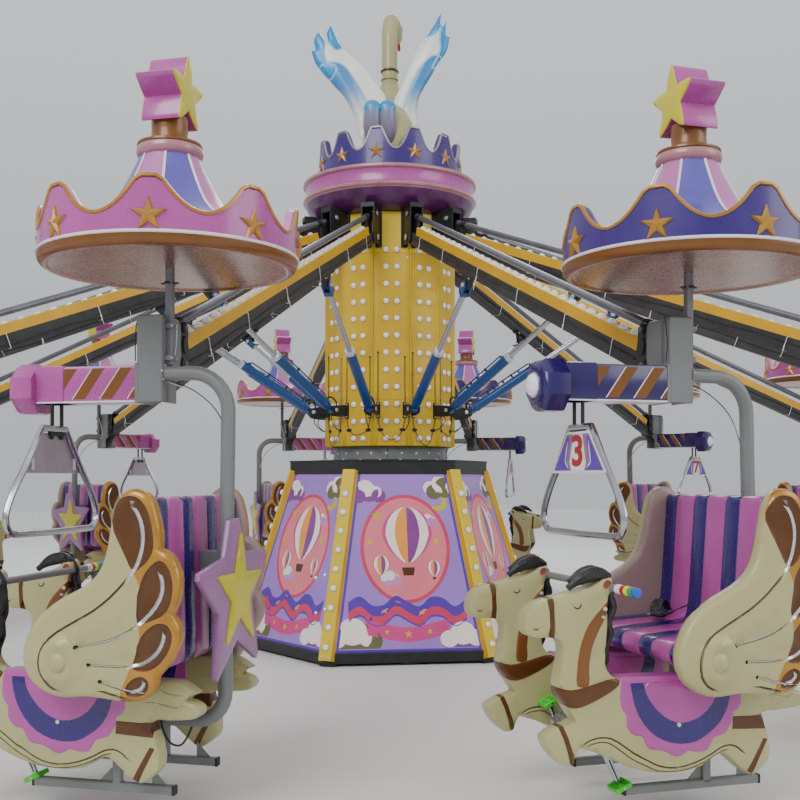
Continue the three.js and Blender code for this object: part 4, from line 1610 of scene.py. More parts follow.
        for k, look in enumerate(looks):
            left = meridian(math.sin((k / 6 - 0.5) * math.pi))
            right = meridian(math.sin(((k + 1) / 6 - 0.5) * math.pi))
            paint(left + right[::-1], look)
        foot = y - radius * 1.12
        paint([(x - radius * 0.2, foot - radius * 0.52), (x + radius * 0.2, foot - radius * 0.52),
               (x + radius * 0.26, foot - radius * 0.2), (x - radius * 0.26, foot - radius * 0.2)],
              Look.BRONZE)

    def panels(self) -> bpy.types.Mesh:
        """Build the six printed panels with their purple edge strips.

        Returns:
            The mesh.
        """
        maker = MeshMaker()
        length, foot, lean = self.slope()
        low, high = self.foot_radius / 2 - 0.02, self.neck_radius / 2 - 0.02
        outline = [(-low, 0.0), (low, 0.0), (high, length), (-high, length)]
        art = self.art(length)
        trim = 0.022
        strips = [
            [(-low, 0.0), (low, 0.0), (low - 0.01, trim), (-low + 0.01, trim)],
            [(low - 0.075, 0.0), (low - 0.055, 0.0), (high - 0.055, length), (high - 0.075, length)],
            [(-low + 0.055, 0.0), (-low + 0.075, 0.0), (-high + 0.075, length), (-high + 0.055, length)],
        ]
        art = art + [Patch(tuple(s), Look.TRIM_PURPLE) for s in strips]
        relief = Relief(outline, 0.005, 0.003, step=0.12, patches=art)
        for k in range(self.sides):
            turn = spin(60 * k)
            stand = shifted(0, -foot - 0.004, self.skirt_top) @ Matrix.Rotation(-lean, 4, "X")
            maker.frame = turn @ stand
            relief.build(maker, PLACES["XZ"], Look.LILAC, Look.GREY, Look.TRIM_PURPLE)
        return maker.mesh("plinth_panels")

    def core(self) -> bpy.types.Mesh:
        """Build the dark housing behind the panels.

        Returns:
            The mesh.
        """
        maker = MeshMaker()
        rows = []
        for radius, height in ((self.foot_radius - 0.012, self.skirt_top),
                               (self.neck_radius - 0.012, self.band_low)):
            rows.append([(*p, height) for p in self.corners(radius)])
        maker.rings(rows, Look.TRIM_PURPLE)
        return maker.mesh("plinth_core")

    def posts(self) -> bpy.types.Mesh:
        """Build the corner posts with their flanges, end plates and bulbs.

        Returns:
            The mesh.
        """
        maker = MeshMaker()
        rise = self.band_low - self.skirt_top
        lean = math.atan2(self.foot_radius - self.neck_radius, rise)
        length = rise / math.cos(lean) + 0.03
        w = self.post_half
        section = [
            (-0.075, -w - 0.014), (-0.012, -w - 0.014), (-0.008, -w - 0.008), (0.022, -w - 0.006),
            (0.03, -w + 0.002), (0.03, w - 0.002), (0.022, w + 0.006), (-0.008, w + 0.008),
            (-0.012, w + 0.014), (-0.075, w + 0.014),
        ]
        looks = [Look.CHANNEL] * 3 + [Look.POST_YELLOW] * 3 + [Look.CHANNEL] * 4
        for k in range(self.sides):
            turn = spin(60 * k)
            stand = shifted(self.foot_radius, 0, self.skirt_top) @ Matrix.Rotation(-lean, 4, "Y")
            maker.frame = turn @ stand
            rows = [[(x, y, z) for x, y in section] for z in (-0.062, -0.055, length)]
            maker.rings(rows, lambda i, j: looks[j % 10])
            for n in range(self.bulbs):
                bulb(maker, (0.03, 0, 0.045 + n * self.bulb_gap), (1, 0, 0), 0.027, 14)
            for y in (-0.03, 0.03):
                maker.bolt((0.03, y, -0.035), (1, 0, 0), 0.007)
        return maker.mesh("plinth_posts")

    def band(self) -> bpy.types.Mesh:
        """Build the black band round the top, with its lid and welded lip.

        Returns:
            The mesh.
        """
        maker = MeshMaker()
        maker.slab(self.corners(self.band_radius), self.band_low, self.band_top - 0.004, Look.BLACK,
                   0.006)
        lip = inset(self.corners(self.band_radius), -0.008)
        maker.slab(lip, self.band_top - 0.012, self.band_top, Look.BLACK, 0.003)
        maker.slab(inset(lip, 0.004), self.band_low - 0.004, self.band_low + 0.012, Look.BLACK, 0.003)
        for k in range(24):
            turn = math.radians(15 * k)
            maker.bolt(polar(0.68, turn, self.band_top), (0, 0, 1), 0.010)
        return maker.mesh("plinth_band")

    def pieces(self) -> list[Piece]:
        """Build every piece of the plinth.

        Returns:
            The pieces.
        """
        return [
            Piece("plinth_skirt", self.skirt(), "base", "black_paint", replaces=("base_skirt",)),
            Piece("plinth_core", self.core(), "base", "lilac_panel", replaces=("base_housing",)),
            Piece("plinth_panels", self.panels(), "base", "lilac_panel"),
            Piece("plinth_posts", self.posts(), "base", "yellow_paint", replaces=("base_corner_frame",)),
            Piece("plinth_band", self.band(), "base", "black_paint"),
        ]


@dataclass
class Tower:
    """The turning tower: turntable, folded yellow panels with bulbs, brackets and hoses."""

    radius: float = 0.62
    fold: float = 0.018
    low: float = 1.832
    top: float = 3.91
    turntable_radius: float = 0.53
    turntable_low: float = 1.712
    turntable_top: float = 1.828
    rows: int = 12
    row_gap: float = 0.152
    first_row: float = 1.90
    column: float = 0.048
    upper_span: int = 9

    def azimuth(self, arm: int) -> float:
        """Give an arm's azimuth.

        Args:
            arm: The arm's number from 0; a half is midway between two arms.

        Returns:
            The azimuth in degrees.
        """
        return FIRST_ARM_AZIMUTH + arm * ARM_STEP

    def face(self) -> float:
        """Give the distance of the panels' folded faces from the axis."""
        return self.radius * math.cos(math.radians(ARM_STEP / 2)) - self.fold

    def turntable(self) -> bpy.types.Mesh:
        """Build the pale ring under the tower.

        Returns:
            The mesh.
        """
        maker = MeshMaker()
        r, low, top = self.turntable_radius, self.turntable_low, self.turntable_top
        maker.turned([(0.36, low - 0.005), (0.36, low), (r - 0.004, low), (r, low + 0.004),
                      (r, low + 0.016), (r - 0.006, low + 0.020), (r - 0.006, top - 0.016),
                      (r, top - 0.012), (r, top - 0.003), (r - 0.004, top)], Look.GREY, 72)
        for k in range(24):
            turn = math.radians(15 * k + 4)
            maker.bolt(polar(r - 0.006, turn, (low + top) / 2), polar(1, turn, 0), 0.008)
        for k in range(6):
            turn = math.radians(60 * k + 20)
            maker.frame = Matrix.Rotation(turn, 4, "Z")
            maker.block((r - 0.012, -0.003, low + 0.018), (r - 0.0045, 0.003, top - 0.014), Look.BLACK,
                        0.001)
        return maker.mesh("turntable_ring")

    def cladding(self) -> bpy.types.Mesh:
        """Build the folded panels, with their dark joints.

        Returns:
            The mesh.
        """
        maker = MeshMaker()
        half = math.radians(ARM_STEP / 2)
        reach = self.radius * math.sin(half)
        face = self.radius * math.cos(half)
        across = [
            (-reach + 0.0022, face - 0.002), (-reach + 0.004, face), (-reach + 0.010, face + 0.0005),
            (-reach + 0.036, face - self.fold + 0.002), (-reach + 0.042, face - self.fold),
            (reach - 0.042, face - self.fold), (reach - 0.036, face - self.fold + 0.002),
            (reach - 0.010, face + 0.0005), (reach - 0.004, face), (reach - 0.0022, face - 0.002),
        ]
        heights = [self.low, self.low + 0.006, 2.235, 2.238, 2.243, 2.246, 3.536, 3.539, 3.544, 3.547,
                   self.top - 0.004, self.top]
        dents = [0.004, 0.0, 0.0, 0.003, 0.003, 0.0, 0.0, 0.003, 0.003, 0.0, 0.0, 0.003]
        for k in range(ARM_COUNT):
            maker.frame = turned_to(self.azimuth(k + 0.5))
            rows = []
            for height, dent in zip(heights, dents):
                outer = [(r - dent, -x, height) for x, r in across]
                rows.append(outer + [(face - 0.06, -reach + 0.012, height),
                                     (face - 0.06, reach - 0.012, height)])
            maker.rings(rows, lambda i, _: Look.POST_YELLOW if i >= self.upper_span else Look.YELLOW)
            maker.block((face - 0.05, -reach - 0.004, self.low), (face - 0.006, -reach + 0.004, self.top),
                        Look.BLACK, 0.001)
            for height in (2.20, 2.28, 3.50, 3.58):
                for side in (-1, 1):
                    maker.bolt((face - 0.008, side * (reach - 0.022), height), (1, side * 0.55, 0), 0.005)
        return maker.mesh("tower_panels")

    def bulbs(self) -> bpy.types.Mesh:
        """Build the two columns of bulbs on every panel.

        Returns:
            The mesh.
        """
        maker = MeshMaker()
        face = self.face()
        for k in range(ARM_COUNT):
            maker.frame = turned_to(self.azimuth(k + 0.5))
            for row in range(self.rows):
                for side in (-1, 1):
                    bulb(maker, (face, side * self.column, self.first_row + row * self.row_gap),
                         (1, 0, 0), 0.0265, 9)
        return maker.mesh("tower_bulbs")

    def brackets(self) -> bpy.types.Mesh:
        """Build the black brackets that hold the cylinders and the arms, with cable holes beside them.

        Returns:
            The mesh.
        """
        maker = MeshMaker()
        shoulder_r, shoulder_z = SHOULDER
        base_r, base_z = CYLINDER_BASE
        for k in range(ARM_COUNT):
            maker.frame = turned_to(self.azimuth(k))
            for side in (-1, 1):
                ear = [(0.565, base_z - 0.055), (base_r - 0.02, base_z - 0.044),
                       (base_r + 0.028, base_z - 0.032), (base_r + 0.044, base_z),
                       (base_r + 0.028, base_z + 0.032), (base_r - 0.02, base_z + 0.044),
                       (0.565, base_z + 0.055)]
                maker.slab(ear, -side * 0.031, -side * 0.046, Look.BLACK, 0.002, "XZ")
                self._pin(maker, base_r, base_z, side * 0.046, 0.017, side)
                foot, head = shoulder_z - 0.055, shoulder_z + 0.285
                cheek = [(0.555, foot), (0.795, foot), (0.820, foot + 0.025), (0.820, head),
                         (0.700, head), (0.600, head - 0.030), (0.555, head - 0.030)]
                maker.slab(cheek, -side * 0.0495, -side * 0.060, Look.BLACK, 0.002, "XZ")
                self._pin(maker, shoulder_r, shoulder_z, side * 0.060, 0.026, side)
                self._pin(maker, shoulder_r + 0.03, shoulder_z + 0.20, side * 0.060, 0.020, side)
            maker.block((0.575, -0.055, base_z - 0.07), (0.604, 0.055, base_z + 0.07), Look.BLACK, 0.003)
            for y in (-0.04, 0.04):
                for z in (-0.052, 0.052):
                    maker.bolt((0.604, y, base_z + z), (1, 0, 0), 0.007)
            maker.block((0.57, -0.070, shoulder_z - 0.065), (0.612, 0.070, shoulder_z + 0.255),
                        Look.BLACK, 0.004)
            maker.block((0.655, -0.060, shoulder_z + 0.255), (0.820, 0.060, shoulder_z + 0.270),
                        Look.BLACK, 0.003)
            maker.block((0.810, -0.060, shoulder_z + 0.242), (0.825, 0.060, shoulder_z + 0.285),
                        Look.BLACK, 0.003)
            maker.tube([(base_r, -0.03, base_z), (base_r, 0.03, base_z)], 0.0148, Look.SILVER, 14)
            maker.tube([(shoulder_r, -0.0488, shoulder_z), (shoulder_r, 0.0488, shoulder_z)], 0.0215,
                       Look.SILVER, 16)
            maker.frame = turned_to(self.azimuth(k + 0.5))
            face = self.face()
            for side in (-1, 1):
                hole = ellipse(-side * 0.098, 1.975, 0.030, 0.017, 20)
                place = [(face - 0.001, x, z) for x, z in hole]
                proud = [(face + 0.003, x, z) for x, z in inset(hole, 0.003)]
                maker.rings([place, proud], Look.RUBBER, (True, True))
        return maker.mesh("tower_brackets")

    @staticmethod
    def _pin(maker: MeshMaker, x: float, z: float, y: float, radius: float, side: int) -> None:
        """Add a pin's head with its keeper plate.

        Args:
            maker: The piece that it is added to.
            x: The pin's distance from the axis.
            z: Its height.
            y: The cheek's outer face.
            radius: The pin's radius.
            side: 1 or -1, the side that it is on.
        """
        with maker.at(shifted(x, y, z) @ spin(-side * 90, "X")):
            maker.turned([(radius * 1.5, -0.001), (radius * 1.5, 0.005), (radius * 1.2, 0.007)],
                         Look.BLACK, 16)
            maker.turned([(radius, 0.006), (radius, 0.012), (radius * 0.75, 0.014)], Look.SILVER, 14)

    def hoses(self) -> bpy.types.Mesh:
        """Build the thin hoses that run down the panels and in loose bows between the brackets.

        Returns:
            The mesh.
        """
        maker = MeshMaker()
        face = self.face()
        for k in range(ARM_COUNT):
            maker.frame = turned_to(self.azimuth(k + 0.5))
            for side, drop in ((-1, 2.62), (1, 2.66)):
                y = -side * 0.118
                line = [(face + 0.005, y, drop), (face + 0.006, y, 2.35), (face + 0.008, y, 2.08),
                        (face + 0.004, -side * 0.10, 1.98)]
                maker.tube(curve(line, 3), 0.0028, Look.RUBBER, 6)
                maker.block((face - 0.002, y - 0.008, drop - 0.006),
                            (face + 0.010, y + 0.008, drop + 0.006), Look.BLACK, 0.002)
            sag = 0.03 + 0.035 * ((k * 7) % 3)
            bow = [(face + 0.004, -0.098, 1.972), (face + 0.028, -0.05, 1.972 - sag),
                   (face + 0.034, 0.0, 1.968 - sag * 1.3), (face + 0.028, 0.05, 1.972 - sag),
                   (face + 0.004, 0.098, 1.972)]
            maker.tube(curve(bow, 4), 0.0034, Look.RUBBER, 6)
            lead = [(face + 0.004, 0.10, 1.978), (face + 0.05, 0.128, 1.985), (0.70, 0.150, 2.06),
                    (0.69, 0.130, 2.13)]
            maker.tube(curve(lead, 5), 0.0042, Look.RUBBER, 8)
        return maker.mesh("tower_hoses")

    def pieces(self) -> list[Piece]:
        """Build every piece of the tower.

        Returns:
            The pieces.
        """
        cladding = ("tower_lower_cladding", "tower_upper_cladding", "arm_head_ring")
        return [
            Piece("turntable_ring", self.turntable(), "rotor", "pale_steel", replaces=("turntable",)),
            Piece("tower_panels", self.cladding(), "rotor", "yellow_paint", replaces=cladding),
            Piece("tower_bulbs", self.bulbs(), "rotor", "wing_white"),
            Piece("tower_brackets", self.brackets(), "rotor", "black_paint"),
            Piece("tower_hoses", self.hoses(), "rotor", "black_paint"),
        ]


@dataclass
class RoofTop:
    """The pink disc over the arms and the crown on it."""

    radius: float = 0.81
    foot: float = 0.60
    low: float = 3.913
    top: float = DISC_TOP

    def disc(self) -> bpy.types.Mesh:
        """Build the dished disc with its two rolled lips.

        Returns:
            The mesh.
        """
        maker = MeshMaker()
        r = self.radius
        profile = [(self.foot, self.low), (0.66, 3.925), (0.72, 3.965), (0.765, 4.025), (0.785, 4.075)]
        dark = len(profile) - 1
        profile += [(r - 0.018, 4.086), (r - 0.004, 4.094), (r, 4.106), (r - 0.004, 4.118),
                    (r - 0.016, 4.128)]
        lip = len(profile) - 1
        profile += [(r - 0.024, 4.135), (r - 0.030, 4.165), (r - 0.030, 4.215), (r - 0.024, 4.238)]
        band = len(profile) - 1
        profile += [(r - 0.012, 4.242), (r - 0.002, 4.250), (r, 4.262), (r - 0.004, 4.274),
                    (r - 0.016, self.top)]
        upper = len(profile) - 1
        profile += [(0.70, self.top - 0.006), (0.60, self.top - 0.001)]

        def look(span: int, _: int) -> Finish:
            """Choose the finish of a span of the disc's profile.

            Args:
                span: The span, counted from the underside.

            Returns:
                The finish.
            """
            if span < dark:
                return Look.UNDERSIDE
            if span < lip:
                return Look.LIP
            if span < band:
                return Look.PINK
            return Look.LIP if span < upper else Look.PINK

        maker.turned(profile, look, 96)
        return maker.mesh("roof_disc")

    def crown(self) -> bpy.types.Mesh:
        """Build the crown that the swan sits in.

        Returns:
            The mesh.
        """
        maker = MeshMaker()
        Crown(0.655, 0.060, DISC_TOP - 0.002, 4.446, 4.635, ARM_COUNT, Look.CROWN, Look.CROWN,
              Look.EDGE_SILVER, 0.085, 4.425, 0.085, 0.010,
              math.radians(FIRST_ARM_AZIMUTH - 90 + 3.2)).build(maker, 16)
        return maker.mesh("roof_crown")

    def pieces(self) -> list[Piece]:
        """Build the disc and the crown.

        Returns:
            The pieces.
        """
        return [
            Piece("roof_disc", self.disc(), "rotor", "pink_gloss", replaces=("top_disc",)),
            Piece("roof_crown", self.crown(), "rotor", "purple_gloss", replaces=("top_crown",)),
        ]


@dataclass
class Swan:
    """The swan with raised wings, seen from behind in the photograph's view."""

    height: float = 4.62
    neck_radius: float = 0.078
    wing_half: float = 0.034
    trunk: Point3 = (0.265, 0.50, 0.36)
    ring_points: int = 28
    left_wing: tuple[Point2, ...] = (
        (-0.150, 4.42), (-0.245, 4.62), (-0.316, 4.861), (-0.401, 5.089), (-0.538, 5.249),
        (-0.697, 5.442), (-0.737, 5.556, SHARP), (-0.700, 5.560), (-0.712, 5.660), (-0.663, 5.732, SHARP),
        (-0.610, 5.655), (-0.583, 5.647), (-0.590, 5.720), (-0.549, 5.806, SHARP), (-0.490, 5.66),
        (-0.447, 5.590), (-0.254, 5.408), (-0.150, 5.270), (-0.040, 5.130), (-0.040, 4.80),
    )
    right_wing: tuple[Point2, ...] = (
        (0.150, 4.42), (0.040, 4.80), (0.040, 5.080), (0.130, 5.270), (0.240, 5.520), (0.300, 5.62),
        (0.390, 5.76), (0.486, 5.926, SHARP), (0.480, 5.80), (0.500, 5.79), (0.532, 5.840, SHARP),
        (0.528, 5.72), (0.540, 5.69), (0.566, 5.681, SHARP), (0.532, 5.544), (0.463, 5.453),
        (0.395, 5.328), (0.281, 5.123), (0.259, 4.998), (0.245, 4.62),
    )
    left_blue: tuple[Point2, ...] = (
        (-0.755, 5.55), (-0.71, 5.43), (-0.62, 5.31), (-0.545, 5.28), (-0.50, 5.385), (-0.58, 5.42),
        (-0.615, 5.52), (-0.60, 5.60), (-0.62, 5.67), (-0.66, 5.750), (-0.735, 5.66), (-0.73, 5.57),
    )
    left_tip: tuple[Point2, ...] = (
        (-0.549, 5.825), (-0.605, 5.715), (-0.570, 5.61), (-0.49, 5.545), (-0.43, 5.60), (-0.49, 5.69),
    )
    right_blue: tuple[Point2, ...] = (
        (0.585, 5.700), (0.555, 5.540), (0.480, 5.430), (0.40, 5.38), (0.445, 5.48), (0.472, 5.56),
        (0.468, 5.66), (0.478, 5.74), (0.532, 5.860), (0.555, 5.72),
    )
    right_tip: tuple[Point2, ...] = (
        (0.486, 5.945), (0.38, 5.78), (0.34, 5.68), (0.41, 5.69), (0.46, 5.73), (0.500, 5.80),
    )
    left_fade: tuple[Point2, ...] = (
        (-0.66, 5.38), (-0.55, 5.43), (-0.44, 5.41), (-0.34, 5.29), (-0.24, 5.12), (-0.185, 4.93),
        (-0.19, 4.66), (-0.27, 4.58), (-0.340, 4.85), (-0.425, 5.07), (-0.56, 5.235),
    )
    right_fade: tuple[Point2, ...] = (
        (0.495, 5.47), (0.42, 5.50), (0.30, 5.40), (0.20, 5.22), (0.135, 5.00), (0.13, 4.76),
        (0.20, 4.62), (0.268, 4.80), (0.300, 5.09), (0.42, 5.32),
    )

    def wings(self) -> bpy.types.Mesh:
        """Build the pair of raised wings with their blue feather tips.

        Returns:
            The mesh.
        """
        maker = MeshMaker()
        for outline, patches in (
            (self.left_wing, (self.left_fade, self.left_blue, self.left_tip)),
            (self.right_wing, (self.right_fade, self.right_blue, self.right_tip)),
        ):
            finishes = (Look.WING_FADE, Look.FEATHER_BLUE, Look.FEATHER_BLUE)
            areas, borders = [], []
            for shape, finish in zip(patches, finishes):
                line = loop(shape, 4)
                areas.append(Patch(tuple(line), finish, 0.008, 0.02))
                border = tuple(line) + (line[0],)
                borders.append(Line(border, 0.016, -0.004, Look.PALE_BLUE))
            relief = Relief(loop(outline, 4), self.wing_half, 0.030, 0.02, 0.10, 0.034, areas, borders,
                            self.feathers)
            relief.build(maker, PLACES["XZ"], Look.TIP_FADE)
        return maker.mesh("swan_wings")

    @staticmethod
    def feathers(spots: np.ndarray) -> np.ndarray:
        """Give the long feathers' soft ridges.

        Args:
            spots: Points of a wing, one a row.

        Returns:
            Their heights.
        """
        side = np.abs(spots[:, 0])
        angle = np.arctan2(spots[:, 1] - 4.3, side + 0.02)
        return 0.004 * np.sin(angle * 46)

    def body(self) -> bpy.types.Mesh:
        """Build the trunk, the tail lobes, the neck and the head.

        Returns:
            The mesh.
        """
        maker = MeshMaker()
        wide, long, tall = self.trunk
        rows = []
        count = self.ring_points
        for k in range(17):
            t = math.pi * (k + 0.4) / 17.8
            y = long * math.cos(t)
            girth = math.sin(t) ** 0.75
            lift = 0.05 * math.cos(t) + (0.07 if y < 0 else 0.0) * math.sin(2 * t) ** 2
            ring = []
            for turn in around(count):
                x = wide * girth * math.cos(turn)
                z = self.height + lift + tall * girth * math.sin(turn)
                ring.append((x, y, max(z, DISC_TOP - 0.01)))
            rows.append(ring)
        maker.rings(rows, Look.CREAM)
        rows = []
        for k in range(13):
            t = k / 12
            swell = 1 + 0.10 * math.sin(math.pi * t)
            across, deep = (0.238 - 0.150 * t) * swell, (0.153 - 0.076 * t) * swell
            rows.append([(across * math.cos(a), 0.26 + 0.07 * t + deep * math.sin(a), 4.66 + 0.69 * t)
                         for a in around(count)])
        maker.rings(rows, Look.CREAM)
        self._lobes(maker)
        self._neck(maker)
        return maker.mesh("swan_body")

    @staticmethod
    def _lobes(maker: MeshMaker) -> None:
        """Add the two tail lobes with their blue tops.

        Args:
            maker: The piece that they are added to.
        """
        for foot, head in ((-0.020, -0.019), (-0.120, -0.153)):
            path = curve([(foot, -0.30, 4.42), (foot, -0.40, 4.56), (head, -0.475, 4.70),
                          (head, -0.505, 4.80), (head, -0.510, 4.875)], 4)
            last = len(path) - 1
            radii = [0.098 - 0.026 * i / last if i < last - 1 else 0.058 - 0.030 * (i - last + 1)
                     for i in range(last + 1)]
            maker.tube(path, radii, Look.TAIL_FADE, 20)
            rows = []
            for k in range(9):
                t = math.pi * (k + 0.3) / 8.6
                rows.append([
                    (head + 0.078 * math.sin(t) * math.cos(a), -0.535 + 0.044 * math.sin(t) * math.sin(a),
                     4.838 + 0.072 * math.cos(t))
                    for a in around(18)
                ])
            maker.rings(rows, Look.FEATHER_BLUE)

    def _neck(self, maker: MeshMaker) -> None:
        """Add the neck with its two rings, and the head with the beak.

        Args:
            maker: The piece that they are added to.
        """
        r = self.neck_radius
        route = curve([(0, 0.22, 4.72), (0, 0.36, 4.92), (0, 0.37, 5.15), (0, 0.31, 5.42),
                       (0, 0.295, 5.70), (0.002, 0.315, 5.90), (0.015, 0.365, 5.985),
                       (0.04, 0.425, 5.965), (0.055, 0.46, 5.91)], 5)
        count = len(route)
        girths = []
        for i in range(count):
            share = i / (count - 1)
            girths.append(r * (1.7 - 1.2 * min(share * 3.2, 0.6)) if share < 0.19
                          else r * (1.0 - 0.05 * share))
        girths[-1] = r * 0.8
        maker.tube(route, girths, Look.CREAM, 20)
        for at, thick, finish in ((5.475, 0.011, Look.BRONZE), (5.395, 0.007, Look.CREAM)):
            ring = [((r + 0.002) * math.cos(t), 0.305 + (r + 0.004) * math.sin(t), at)
                    for t in around(28)]
            maker.tube(ring, thick, finish, 8, closed=True)
        with maker.at(shifted(0.035, 0.425, 5.945) @ spin(-21.5) @ spin(-40, "X")):
            rows = []
            for k in range(13):
                t = math.pi * (k + 0.35) / 12.7
                girth = math.sin(t) ** 0.8
                rows.append([
                    (0.080 * girth * math.cos(a), -0.13 * math.cos(t) + 0.03, 0.078 * girth * math.sin(a))
                    for a in around(20)
                ])
            maker.rings(rows, Look.CREAM)
            beak_rows = []
            for y, wide, tall in ((0.095, 0.044, 0.040), (0.13, 0.034, 0.029), (0.175, 0.026, 0.020),
                                  (0.212, 0.019, 0.012), (0.232, 0.007, 0.004)):
                beak_rows.append([(wide * math.cos(a), y, tall * math.sin(a) - 0.012)
                                  for a in around(16)])
            maker.rings(beak_rows, Look.BEAK)
            brow = [(0.066 * math.cos(a), 0.075, 0.074 * math.sin(a))
                    for a in np.linspace(-0.3, math.pi + 0.3, 14)]
            maker.tube(brow, 0.007, Look.BRONZE, 6)
            crest = [(0.083 * math.cos(a), 0.020, 0.081 * math.sin(a))
                     for a in np.linspace(0.1, math.pi - 0.1, 12)]
            maker.tube(crest, 0.006, Look.BROWN_GOLD, 6)
            for side in (-1, 1):
                lid = [(side * 0.068, 0.075, 0.022), (side * 0.075, 0.05, 0.012),
                       (side * 0.077, 0.02, 0.020)]
                maker.tube(curve(lid, 4), 0.0045, Look.RUBBER, 6)

    def pieces(self) -> list[Piece]:
        """Build the swan.

        Returns:
            The pieces.
        """
        frame = spin(SWAN_AZIMUTH)
        return [
            Piece("swan_figure", self.body(), "rotor", "cream_gloss", frame, ("swan_body",)),
            Piece("swan_wings", self.wings(), "rotor", "wing_white", frame,
                  ("swan_wing_left", "swan_wing_right")),
        ]


class Axis(Enum):
    """A direction that turned parts are laid along."""

    OUTWARD = ("Y", 1)
    ACROSS = ("X", -1)

    def turn(self) -> Matrix:
        """Give the rotation that takes +Z to this direction.

        Returns:
            The rotation.
        """
        axis, sign = self.value
        return spin(sign * 90, axis)


